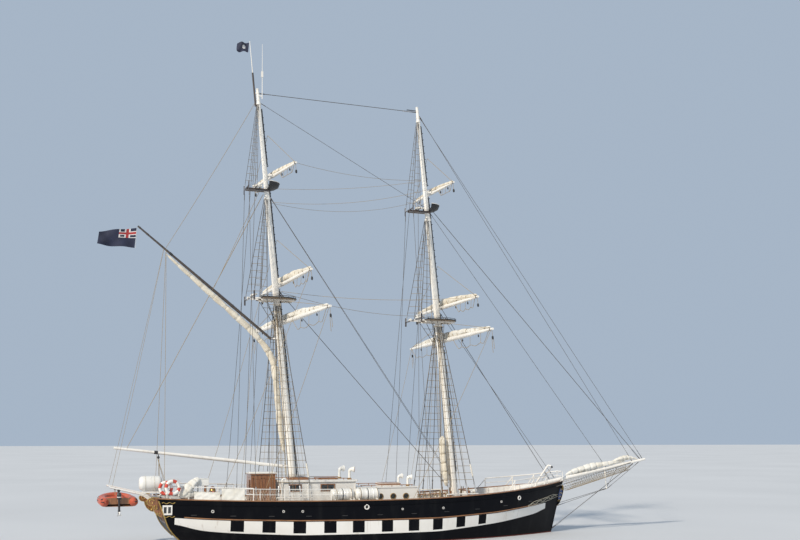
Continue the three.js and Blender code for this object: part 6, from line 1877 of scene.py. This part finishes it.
# %% Billethead, trailboards and stem band
turn = np.linspace(0, 2.4 * np.pi, 60)
size = 0.03 + 0.022 * turn
spiral = oval((11.56, 0, 2.60), size, size, turn + 2.6, "xz")
scroll = [tube(spiral, np.linspace(0.02, 0.042, 60), 8, shape=(1, 1.9))]
knee = np.array([[11.28, 1.55], [11.44, 1.66], [11.60, 2.0], [11.70, 2.35], [11.72, 2.62], [11.60, 2.80],
                 [11.42, 2.88], [11.3, 2.88], [11.34, 2.4], [11.30, 2.0]])
scroll.append(plate(knee, -0.05, 0.05, "xz", finish=1))
scroll.append(plate((knee - [11.5, 2.35]) * [0.62, 0.55] + [11.5, 2.28], -0.058, 0.058, "xz", finish=2))
front_edge = np.column_stack([knee[:6, 0], np.zeros(6), knee[:6, 1]])
scroll.append(tube(through(front_edge, 24), np.linspace(0.014, 0.034, 24), 8, shape=(1, 2.0)))
for s in (-1, 1):
    for k in range(4):
        leaf_turn = np.linspace(0, 1.4 * np.pi, 16)
        leaf = 0.085 * (1 - 0.6 * leaf_turn / leaf_turn[-1])
        leaf_path = oval((11.40 + 0.055 * k, s * 0.062, 1.82 + 0.21 * k), leaf, leaf, leaf_turn, "xz")
        scroll.append(tube(leaf_path, np.linspace(0.016, 0.006, 16), 6))
piece("billethead", scroll, [gilt, black_enamel, blue_paint], crease=50)

board_x = np.linspace(8.6, 11.25, 30)
board_low = np.interp(board_x, [8.6, 9.9, 11.25], [1.62, 1.80, 2.08])
board_high = board_low + np.interp(board_x, [8.6, 9.2, 10.8, 11.25], [0.08, 0.24, 0.26, 0.12])
grid_x = np.repeat(board_x[:, None], 6, 1)
grid_z = board_low[:, None] + (board_high - board_low)[:, None] * np.linspace(0, 1, 6)
board = slab(hull_spot(grid_x, grid_z, 0.022).reshape(30, 6, 3),
             hull_spot(grid_x, grid_z, -0.01).reshape(30, 6, 3))
middle = (board_low + board_high) / 2
amplitude = (board_high - board_low) * 0.28
fine_x = np.linspace(8.7, 11.15, 110)
swell = np.interp(fine_x, board_x, amplitude)
vine_z = np.interp(fine_x, board_x, middle) + swell * np.sin((fine_x - 8.7) * 9)
vine = tube(hull_spot(fine_x, vine_z, 0.026), 0.008, 6, finish=1)
leaves = []
for x in np.arange(8.9, 11.1, 0.175):
    swell = float(np.interp(x, board_x, amplitude))
    z = float(np.interp(x, board_x, middle)) + 0.4 * swell * np.cos((x - 8.7) * 9)
    turn = np.linspace(0, 1.6 * np.pi, 12)
    size = 0.045 * (1 - 0.5 * turn / turn[-1])
    leaf = hull_spot(x + size * np.cos(turn), z + size * np.sin(turn), 0.024)
    leaves.append(tube(leaf, 0.006, 5, finish=1))
border_low = tube(hull_spot(board_x, board_low + 0.012, 0.026), 0.009, 6, finish=1)
border_high = tube(hull_spot(board_x, board_high - 0.012, 0.026), 0.009, 6, finish=1)
piece("trailboards", both_sides([board, vine, border_low, border_high, *leaves]),
      [black_enamel, cream_paint])
stem_v = np.linspace(7, 0.2, 30)
stem = hull_at(np.ones(30), stem_v) * [1, 0, 1]
piece("stem_bar", [tube(stem + [0.005, 0, 0], 0.05, 12)], [black_enamel])

# %% [markdown]
# ## The stern
# The transom carries a plain board and gilt mouldings, with a small sash window on each quarter. Davits
# reach aft over it with the inflatable dinghy, whose tube is one closed curve of rings, tapered to cones at
# the ends. The buoy is a turned ring whose red quarters are picked by the angle of each face.

# %% Quarter windows, transom mouldings and name board
def transom_x(z):
    """The transom's place at a height."""
    return np.interp(z, [0.9, 1.67, 2.5], [-11.25, -11.6, -11.9])


def on_side(x0, x1, z0, z1, proud, depth=0.03, finish=0):
    """A small rectangle laid on the hull's side, proud of it."""
    x, z = np.meshgrid(np.linspace(x0, x1, 3), np.linspace(z0, z1, 3), indexing="ij")
    return slab(hull_spot(x, z, proud).reshape(3, 3, 3), hull_spot(x, z, proud - depth).reshape(3, 3, 3),
                finish, finish)


qx0, qx1, qz0, qz1 = -11.63, -11.29, 1.80, 2.12
parts = [on_side(qx0, qx1, qz0, qz1, 0.012, 0.02, 1)]
parts += [on_side(qx0 - 0.06, qx1 + 0.06, qz1, qz1 + 0.08, 0.035),
          on_side(qx0 - 0.06, qx1 + 0.06, qz0 - 0.08, qz0, 0.035), on_side(qx0 - 0.06, qx0, qz0, qz1, 0.03),
          on_side(qx1, qx1 + 0.06, qz0, qz1, 0.03),
          on_side((qx0 + qx1) / 2 - 0.035, (qx0 + qx1) / 2 + 0.035, qz0, qz1, 0.025)]
carve_x = np.linspace(-11.72, -11.1, 40)
for z, amp in ((2.31, 0.03), (1.63, 0.03)):
    parts.append(tube(hull_spot(carve_x, z + amp * np.sin((carve_x + 11.72) * 22), 0.02), 0.018, 7, finish=2))
piece("quarter_windows", both_sides(parts), [white_paint, glass, gilt])
v = np.linspace(6.9, 4.4, 20)
edge_line = hull_at(-np.ones(20), v)
parts = [tube(edge_line + [-0.01, 0, 0], 0.035, 8)]
curl = np.linspace(0, 2.2 * np.pi, 40)
size = 0.03 + 0.02 * curl
parts.append(tube(oval((-11.97, 1.95, 2.1), size, size, curl), 0.02, 7))
parts.append(tube(oval((-11.82, 1.72, 1.72), 0.8 * size, 0.8 * size, -curl), 0.018, 7))
whole = both_sides(parts)
y = np.linspace(-1.35, 1.35, 30)
board_y, board_z = np.meshgrid(y, np.linspace(1.86, 2.16, 5), indexing="ij")
board_z = board_z + 0.05 * (1 - (board_y / 1.35) ** 2)
front = np.stack([transom_x(board_z) - 0.035, board_y, board_z], -1)
whole.append(slab(front, front + [0.05, 0, 0], 1, 1))
for z in (1.86, 2.16):
    line_z = z + 0.05 * (1 - (y / 1.35) ** 2)
    whole.append(tube(np.stack([transom_x(line_z) - 0.038, y, line_z], -1), 0.016, 7))
for y0 in (-0.75, 0.0, 0.75):
    z0, z1 = 1.28, 1.62
    rows_y, rows_z = np.meshgrid([y0 - 0.22, y0 + 0.22], [z0, z1], indexing="ij")
    face = np.stack([transom_x(rows_z) - 0.012, rows_y, rows_z], -1)
    whole.append(slab(face, face + [0.03, 0, 0], 2, 2))
    corners = ((y0 - 0.25, z0 - 0.03), (y0 + 0.25, z0 - 0.03), (y0 + 0.25, z1 + 0.03), (y0 - 0.25, z1 + 0.03))
    outline = np.array([[transom_x(corner_z) - 0.02, corner_y, corner_z] for corner_y, corner_z in corners])
    whole.append(bars(outline, np.roll(outline, -1, 0), 0.026, 6, finish=1))
piece("transom_mouldings", whole, [gilt, varnished, glass])

# %% Guard rail with netting
feet = level_points(-np.array([0.58, 0.74, 0.87, 0.95]), 0.03)[RAIL_LEVEL]
heads = feet + [0, 0, 0.65]
stern_posts = np.array([[-11.865, 2.1, 2.5], [-11.865, 0.7, 2.5]])
stern_heads = stern_posts + [0, 0, 0.65]
under = np.array([[-11.865, -0.85, 3.15], [-11.865, -1.0, 2.63], [-11.865, -1.95, 2.63]])
port_side = np.concatenate([heads, stern_heads])
top_path = np.concatenate([port_side, under, heads[::-1] * [1, -1, 1]])
low_port = np.concatenate([port_side, under[:1]]) - [0, 0, 0.3]
low_starboard = heads[::-1] * [1, -1, 1] - [0, 0, 0.3]
parts = [tube(bent(top_path, 0.12, 6), 0.026, 10)]
parts += [tube(bent(path, 0.12, 6), 0.015, 8) for path in (low_port, low_starboard)]
for foot in (*feet, *stern_posts, *(feet * [1, -1, 1])):
    parts.append(bars([foot - [0, 0, 0.01]], [foot + [0, 0, 0.65]], 0.021, 10))
    flange = [[0.003, 0], [0.045, 0.0], [0.045, 0.012], [0.028, 0.03], [0.003, 0.03]]
    parts.append(lathe(flange, foot + [0, 0, 0.05], (0, 0, 1), 12))
parts.append(bars([[-11.865, -0.85, 2.5]], [[-11.865, -0.85, 3.15]], 0.021, 10))
piece("stern_rail", parts, [white_paint], stands_for=("stern_guard_rail",))
mid_x = np.linspace(-8.2, -2.9, 14)
parts = []
for s in (-1, 1):
    line = by_rail(mid_x, s, 0.03, 0.04)
    parts += [tube(line + [0, 0, 0.58], 0.018, 8), tube(line + [0, 0, 0.3], 0.014, 8)]
    parts.append(bars(line[::3], line[::3] + [0, 0, 0.59], 0.018, 8))
    knots = by_rail(np.linspace(-8.2, -2.9, 66), s, 0.03, 0.05)
    parts.append(bars(knots[:-1], knots[1:] + [0, 0, 0.53], 0.004, 4, finish=1))
    parts.append(bars(knots[1:], knots[:-1] + [0, 0, 0.53], 0.004, 4, finish=1))
piece("side_rails_and_netting", parts, [white_paint, white_rope])

# %% Davits, falls, canister and buoy
DAVIT_Y = 1.25
sheave = [[0.003, -0.06], [0.07, -0.05], [0.05, 0], [0.07, 0.05], [0.003, 0.06]]
gusset = np.array([[-11.93, 2.20], [-11.93, 2.46], [-12.40, 2.66], [-13.05, 2.82], [-13.05, 2.78],
                   [-12.40, 2.56]])
parts = []
for s in (-1, 1):
    y = s * DAVIT_Y
    path = bent([[-11.5, y, 2.25], [-12.35, y, 2.64], [-14.12, y, 3.08]], 0.2, 8)
    path = np.concatenate([path[:1], path[:1] + [-0.02, 0, 0.01], path[1:]])
    parts.append(tube(path, np.interp(np.linspace(0, 1, len(path)), [0, 0.5, 1], [0.065, 0.06, 0.05]), 14))
    parts.append(lathe(sheave, (-13.7, y, 2.90), (0, 1, 0), 16, finish=1))
    davit_eyes = [[-13.73, y, 2.86], [-13.67, y, 2.86]]
    dinghy_eyes = [[-13.72, s * 1.12, 2.58], [-13.68, s * 1.12, 2.58]]
    parts.append(bars(davit_eyes, dinghy_eyes, 0.012, 6, finish=2))
    parts.append(plate(gusset, y - 0.02, y + 0.02, "xz"))
cross_bar = [[-14.05, -DAVIT_Y, 3.055], [-14.05, -0.4, 3.075], [-14.05, 0.4, 3.075], [-14.05, DAVIT_Y, 3.055]]
parts.append(tube(cross_bar, 0.03, 10))
piece("stern_davit_arms", parts, [white_paint, black_iron, hemp],
      stands_for=("stern_davits",))

CANISTER_Y, CANISTER_Z, CANISTER_LENGTH = -1.5, 3.26, 1.12
ease = np.linspace(0, np.pi / 2, 12)
drum_end = np.stack([0.16 + 0.208 * np.sin(ease), 0.208 * (1 - np.cos(ease))], -1)
drum = np.concatenate([
    [[0.003, 0]], drum_end, [[0.372, 0.55], [0.372, 0.57]],
    (drum_end * [1, -1] + [0, CANISTER_LENGTH])[::-1], [[0.003, CANISTER_LENGTH]],
])
seam_profile = [[0.366, -0.022], [0.378, -0.014], [0.378, 0.014], [0.366, 0.022]]
canister = [lathe(drum, (-12.76, CANISTER_Y, CANISTER_Z), (1, 0, 0), 44)]
canister.append(lathe(seam_profile, (-12.2, CANISTER_Y, CANISTER_Z), (1, 0, 0), 44, loop=True))
for x in (-12.47, -12.04):
    strap = oval((x, CANISTER_Y, CANISTER_Z), 0.376, 0.376, full_turn(36))
    canister.append(tube(strap, 0.007, 6, loop=True, finish=1, shape=(1, 3)))
cradle_turn = np.linspace(1.22 * np.pi, 1.78 * np.pi, 12)
cradle_arc = oval((0, CANISTER_Y, CANISTER_Z), 0.37, 0.37, cradle_turn)[:, 1:]
cradle = np.concatenate([[[-1.32, 2.85], [-1.68, 2.85]], cradle_arc])
canister += [plate(cradle, x - 0.03, x + 0.03, "yz", finish=2) for x in (-12.5, -12.02)]
deck_z = float(deck_height(-11.4))
beams = [[-12.6, -11.4, y - 0.035, y + 0.035, 2.79, 2.86] for y in (-1.64, -1.36)]
legs = [[-11.47, -11.39, y - 0.05, y + 0.05, deck_z - 0.01, 2.86] for y in (-1.64, -1.36)]
canister.append(blocks(beams + legs, 2))
piece("stern_raft_canister", canister, [white_gloss, white_rope, white_paint],
      stands_for=("stern_canister",), crease=32)

BUOY, BUOY_RADIUS = np.array([-11.25, -2.53, 3.08]), 0.31
buoy = ring(BUOY, (0, 1, 0), BUOY_RADIUS, 0.084, 64, 16)
buoy.finish[:] = np.tile(np.arange(64) % 16 > 5, 16)
turn = full_turn(48)
grab = 0.415 + 0.05 * np.abs(np.sin(2 * turn))
line = tube(oval(BUOY, grab, grab, turn, "xz"), 0.008, 6, loop=True, finish=2)
clips = []
for a in np.arange(4) * np.pi / 2:
    reach, across = BUOY_RADIUS + 0.09 * np.cos(full_turn(12)), 0.09 * np.sin(full_turn(12))
    clip = BUOY + np.stack([reach * np.cos(a), across, reach * np.sin(a)], -1)
    clips.append(tube(clip, 0.008, 5, loop=True, finish=2))
piece("ring_buoy", [buoy, line, *clips], [ring_red, white_gloss, white_rope],
      stands_for=("lifebuoy",))

# %% Dinghy
# across, along, rise and radius of the tube, from the starboard cone to the bow's middle
marks = np.array([
    [-0.69, -1.65, 0.0, 0.07], [-0.69, -1.45, 0.0, 0.20], [-0.69, -1.2, 0.0, 0.233],
    [-0.69, -0.4, 0.0, 0.235], [-0.69, 0.5, 0.0, 0.235], [-0.60, 0.95, 0.04, 0.233],
    [-0.36, 1.32, 0.09, 0.23], [0.0, 1.47, 0.12, 0.228],
])
marks = np.concatenate([marks, marks[-2::-1] * [-1, 1, 1, 1]])
line = through(marks, 120)
path = np.array([-13.7, 0, 2.36]) + line[:, :3]
hull_tube = tube(path, line[:, 3], 24)
outward_way = unit(line[:, :2] * [1, 0.55])
rub_line = path + np.column_stack([outward_way * line[:, 3:4] * 0.99, np.full(120, 0.02)])
strake = tube(rub_line, 0.022, 8, finish=1)
grab_at = np.linspace(12, 108, 22).astype(int)
grab_points = path[grab_at] + np.column_stack([outward_way[grab_at] * line[grab_at, 3:4] * 0.80,
                                               np.full(22, 0.155)])
spans = zip(grab_points, grab_points[1:])
ropes = [tube(hanging(a, b, 0.04, 6) + [0, 0, 0.02], 0.009, 5, finish=2) for a, b in spans]
patch = [[0.003, 0], [0.05, 0.0], [0.04, 0.014], [0.003, 0.018]]
pads = [lathe(patch, p - [0, 0, 0.01], p - path[i], 12, finish=1) for p, i in zip(grab_points, grab_at)]
# The floor's dark plastic is partly the boat's own grey rubber and partly painted shade for the shaded inside
# of the boat.
dinghy_floor_with_painted_shade = blocks([[-14.36, -13.04, -1.42, 0.9, 2.17, 2.25]], 3)
transom_boat = blocks([[-14.36, -13.04, -1.42, -1.37, 2.13, 2.56]], 4)
bench_line = [[-14.3, -0.35, 2.44], [-13.95, -0.35, 2.46], [-13.45, -0.35, 2.46], [-13.1, -0.35, 2.44]]
bench = tube(bench_line, 0.12, 14)
piece("inflatable_dinghy", [hull_tube, strake, *ropes, *pads, dinghy_floor_with_painted_shade, transom_boat, bench],
      [orange_cover, black_iron, white_rope, cowl, varnished], stands_for=("dinghy",))

# %% Outboard motor and propellers
def blade(turns, root, tip, chord, thick, pitch, sections=9, around=14):
    """A propeller's blade: ellipses carried out along z, widest at two thirds, less turned at the tip."""
    t = np.linspace(0, 1, sections)[:, None]
    r = root + (tip - root) * t
    wide = chord / 2 * (0.55 + 0.75 * t) * np.sqrt(np.clip(1 - t ** 5, 0.02, 1))
    lean = pitch * (1.35 - 0.75 * t)
    turn = full_turn(around)
    c, h = wide * np.cos(turn), thick / 2 * (1 - 0.6 * t) * np.sin(turn)
    ahead, across = h * np.cos(lean) + c * np.sin(lean), c * np.cos(lean) - h * np.sin(lean)
    made = skin(np.stack([ahead, across, np.broadcast_to(r, c.shape)], -1))
    return [placed(made, [[1, 0, 0], [0, np.cos(w), np.sin(w)], [0, -np.sin(w), np.cos(w)]]) for w in turns]


for s, word in ((-1, "starboard"), (1, "port")):
    hub = [[0.003, -0.15], [0.03, -0.145], [0.055, -0.10], [0.085, -0.03], [0.085, 0.08], [0.07, 0.11],
           [0.003, 0.11]]
    parts = blade(np.arange(4) * np.pi / 2 + 0.4, 0.06, 0.388, 0.20, 0.03, s * 0.75)
    parts.append(lathe(hub, (0, 0, 0), (1, 0, 0), 24))
    parts = [placed(p, np.eye(3), (-8.64, s * 0.78, -1.35)) for p in parts]
    piece(f"propeller_{word}_blades", parts, [bronze], f"propeller_{word}", (f"propeller_{word}",))


def corner(wave):
    """A wave made squarer: its sign times its size to the power 0.6."""
    return np.sign(wave) * np.abs(wave) ** 0.6


ENGINE_X = -13.7
t = np.linspace(0, 1, 12)
around = full_turn(28)
long_half = 0.145 * np.interp(t, [0, 0.12, 0.7, 0.92, 1], [0.82, 1.0, 0.95, 0.75, 0.3])
wide_half = 0.11 * np.interp(t, [0, 0.12, 0.7, 0.92, 1], [0.82, 1.0, 0.95, 0.72, 0.3])
cover = np.stack([
    ENGINE_X + wide_half[:, None] * corner(np.cos(around)),
    -1.535 + long_half[:, None] * corner(np.sin(around)),
    np.broadcast_to((2.50 + 0.34 * t)[:, None], (12, 28)),
], -1)
leg_z = np.linspace(2.52, 1.70, 10)
leg_y = np.interp(leg_z, [1.7, 2.5], [-1.50, -1.51])
leg = np.stack(np.broadcast_arrays(
    ENGINE_X + 0.055 * np.cos(around), leg_y[:, None] + 0.075 * np.sin(around), leg_z[:, None],
), -1)
gear_case = [[0.003, -0.05], [0.03, -0.045], [0.05, 0.0], [0.052, 0.15], [0.04, 0.24], [0.003, 0.245]]
gear = lathe(gear_case, (ENGINE_X, -1.40, 1.76), (0, -1, 0), 20)
cavitation = blocks([[-13.78, -13.62, -1.67, -1.42, 1.925, 1.937]])
skeg = plate([[-1.60, 1.73], [-1.42, 1.73], [-1.50, 1.705]], -13.706, -13.694, "yz")
clamp = blocks([[-13.76, -13.64, -1.46, -1.36, 2.38, 2.54]], 1)
handle = tube([[ENGINE_X, -1.42, 2.60], [ENGINE_X, -1.2, 2.66], [ENGINE_X, -1.0, 2.68]], 0.018, 10)
band_rings = cover[3:5] + (cover[3:5] - cover[3:5].mean(1, keepdims=True)) * 0.012
piece("outboard_engine",
      [skin(cover), skin(leg), gear, cavitation, skeg, clamp, handle, skin(band_rings, finish=2)],
      [cowl, steel, white_gloss], stands_for=("outboard_motor",), crease=50)
screw_hub = [[0.003, -0.046], [0.03, -0.046], [0.042, 0.0], [0.042, 0.042], [0.003, 0.042]]
parts = blade(np.arange(3) * 2 * np.pi / 3, 0.03, 0.136, 0.10, 0.014, 0.7)
parts.append(lathe(screw_hub, (0, 0, 0), (1, 0, 0), 18))
turned_aft = [[0, 1, 0], [-1, 0, 0], [0, 0, 1]]
parts = [placed(p, turned_aft, (ENGINE_X, -1.704, 1.76)) for p in parts]
piece("outboard_screw", parts, [white_gloss], "outboard_propeller", ("outboard_propeller",))
print("stern made")

# %% [markdown]
# ## Canvas and small gear
# A staysail lies in a roll against the foremast. White weather cloths are laced to the guard rail, a cover
# is bundled over it, and a second buoy hangs inside it. The boom's sheet runs from a block on the spar to
# the deck, each of its parts a straight line between the two, riding on no body.

# %% Staysail, weather cloths and cover
roll = through([[3.93, -0.2, 5.62], [3.97, -0.2, 4.9], [4.03, -0.2, 4.2], [4.12, -0.2, 3.5],
                [4.17, -0.2, 2.82]], 90)
size = np.interp(np.linspace(0, 1, 90), [0, 0.06, 0.3, 0.6, 0.93, 1], [0.06, 0.17, 0.225, 0.20, 0.13, 0.05])
body, gaskets = bundle(roll, size, 0.5, 0.2, seed=2.2)
staysail = piece("stowed_staysail", [body], [canvas], crease=60)
head_line = bars([3.93, -0.2, 5.6], on_mast("fore", 9.8, -0.2, -0.1), 0.011, 6, finish=1)
piece("staysail_gaskets", [*gaskets, head_line], [hemp, hemp])


def weather_cloth(x0, x1, low, high, proud, seed):
    """A cloth laced along the rail: it bellies between the posts, with folds that fade towards its top."""
    line_x = np.linspace(x0, x1, 60)
    x, v = line_x[:, None], np.linspace(0, 1, 22)[None, :]
    z = rail_height(line_x)[:, None] + low + (high - low) * v - 0.012 * np.abs(np.sin((x - x0) * 9)) * v
    fold = 0.012 * np.sin(5.3 * x + 4.1 * v + seed) * (1 - 0.6 * v)
    fold = fold + 0.004 * np.sin(17 * x - 9 * v + seed) + 0.006 * np.sin(11 * v + 3 * x)
    y = rail_half(line_x)[:, None] - 0.03 + proud + fold
    front = np.stack([np.broadcast_to(x, z.shape), -np.broadcast_to(y, z.shape), z], -1)
    return slab(front, front + [0, 0.008, 0])


lacing = []
for name, x0, x1, low, high, proud, seed in (("low_weather_cloth", -10.2, -8.95, 0.05, 0.44, 0.03, 0.4),
                                             ("tall_weather_cloth", -8.88, -7.75, 0.04, 0.62, 0.05, 2.1)):
    cloth_piece = piece(name, [weather_cloth(x0, x1, low, high, proud, seed)], [white_canvas],
                        crease=70)
    for x in np.linspace(x0 + 0.03, x1 - 0.03, 14):
        hitch = oval(by_rail([x], -1, 0.03, high)[0], 0.045, 0.035, full_turn(8))
        lacing.append(tube(hitch, 0.006, 4, loop=True))
piece("cloth_lacing", lacing, [white_rope])
roll = through([[-10.85, -2.28, 2.66], [-10.62, -2.26, 2.86], [-10.35, -2.2, 3.12], [-10.1, -2.12, 3.34],
                [-9.88, -2.05, 3.46]], 80)
size = np.interp(np.linspace(0, 1, 80), [0, 0.08, 0.35, 0.7, 0.95, 1], [0.06, 0.2, 0.27, 0.2, 0.12, 0.03])
body, gaskets = bundle(roll, size, 0.34, 0.14, seed=5.0)
low_roll = through([[-10.95, -2.2, 2.68], [-10.6, -2.24, 2.70], [-10.25, -2.2, 2.72],
                    [-9.98, -2.14, 2.66]], 60)
low_size = np.interp(np.linspace(0, 1, 60), [0, 0.12, 0.5, 0.85, 1], [0.04, 0.17, 0.24, 0.18, 0.04])
low_body, low_gaskets = bundle(low_roll, low_size, 0.29, 0.12, seed=1.3)
cover = piece("bundled_cover", [body, low_body], [white_canvas], crease=60)
piece("cover_ties", gaskets + low_gaskets, [white_rope, white_rope])
legs_z = float(deck_height(-9.7))
box_rows = [[-10.02, -9.42, -2.12, -1.82, 3.12, 3.46], [-10.04, -9.40, -2.14, -1.80, 3.46, 3.50]]
box_legs = [post(x, y, 0.025, legs_z - 0.02, 3.12) for x in (-9.95, -9.49) for y in (-2.06, -1.88)]
piece("lifejacket_box", [blocks(box_rows), blocks(box_legs)], [white_gloss], bevel=0.015)

# %% Second buoy, posts and truck bar
spare_axis = unit(np.array([0.25, 1.0, 0.0]))
spare = ring((-11.56, -2.31, 3.05), spare_axis, 0.28, 0.078, 64, 16)
spare.finish[:] = np.tile(np.arange(64) % 16 > 8, 16)
piece("spare_ring_buoy", [spare], [ring_red, white_gloss])
posts = []
for s in (-1, 1):
    z = float(deck_height(-5.75))
    neck = bent([[-5.75, s * 2.35, z - 0.02], [-5.75, s * 2.35, 3.42], [-5.55, s * 2.35, 3.42],
                 [-5.55, s * 2.35, 3.30]], 0.09, 6)
    posts.append(tube(neck, 0.05, 12))
    posts.append(lathe([[0.052, 0], [0.11, 0.0], [0.11, 0.02], [0.052, 0.04]], (-5.75, s * 2.35, z),
                       (0, 0, 1), 16, loop=True))
piece("air_pipes", posts, [white_paint])
bar_path = np.linspace(on_mast("fore", 23.78, -0.62), on_mast("fore", 23.78, -0.05), 5)
piece("fore_truck_bar", [tube(bar_path, 0.022, 8)], [black_iron])

# %% Boom sheet
sheet_place = boom_origin + (BOOM_END - boom_origin) * SHEET_SHARE
sheet_block = sheet_place - [0, 0, 0.26]
shell = [[0.003, -0.10], [0.06, -0.075], [0.072, 0.0], [0.06, 0.075], [0.003, 0.10]]
strop = bars(sheet_block + [0, 0, 0.05], sheet_place - [0, 0, 0.08], 0.022, 8)
piece("boom_sheet_block", [lathe(shell, sheet_block, (0, 1, 0), 16), strop], [black_iron], "spanker_boom")
deck_blocks = []
for side, word in ((-1, "starboard"), (1, "port")):
    for k, x in enumerate((-11.62, -11.05)):
        foot = np.array([x, side * 0.55, 2.42 if k == 0 else 2.19])
        upper_end = sheet_block + [0.03 * (1 - 2 * k), side * 0.03, -0.07]
        line_between(f"boom_sheet_{word}_{k + 1}", foot + [0, 0, 0.08], upper_end, 0.012, 0.0)
        deck_blocks.append(lathe(np.array(shell) * 0.8, foot + [0, 0, 0.05], (1, 0, 0), 14))
        deck_blocks.append(bars([foot - [0, 0, 0.03]], [foot + [0, 0, 0.02]], 0.03, 10, finish=1))
piece("sheet_lead_blocks", deck_blocks, [black_iron, bronze])

# %% Carved quarter knees
KNEE_Y = 1.98
# centre, angle it starts at, half turns, first radius
CURLS = (((-12.20, 2.36), 0.4, 2.0, 0.145), ((-11.98, 2.08), 2.0, 1.6, 0.12),
         ((-11.84, 1.84), 3.2, 1.4, 0.095))
knee = np.array([[-11.86, 2.56], [-12.10, 2.58], [-12.34, 2.50], [-12.42, 2.34], [-12.32, 2.20],
                 [-12.16, 2.16], [-12.12, 2.0], [-12.02, 1.82], [-11.86, 1.68], [-11.70, 1.62],
                 [-11.66, 1.80], [-11.80, 2.2]])
rim_path = through(np.column_stack([knee[:10, 0], np.zeros(10), knee[:10, 1]]), 44)
parts = []
for s in (-1, 1):
    parts.append(plate(knee, s * KNEE_Y - 0.05, s * KNEE_Y + 0.05, "xz"))
    parts += [tube(rim_path + [0, s * KNEE_Y + side_y, 0], 0.017, 7, finish=1) for side_y in (-0.052, 0.052)]
    for (curl_x, curl_z), start, turns, first in CURLS:
        turn = np.linspace(0, turns * np.pi, 34)
        size = first * (1 - 0.72 * turn / turn[-1])
        for side_y in (-0.058, 0.058):
            curl = oval((curl_x, s * KNEE_Y + side_y, curl_z), size, size, turn + start, "xz")
            parts.append(tube(curl, np.linspace(0.026, 0.010, 34), 7, finish=1))
piece("quarter_knees", parts, [varnished, gilt], crease=45)
print("canvas and small gear made")
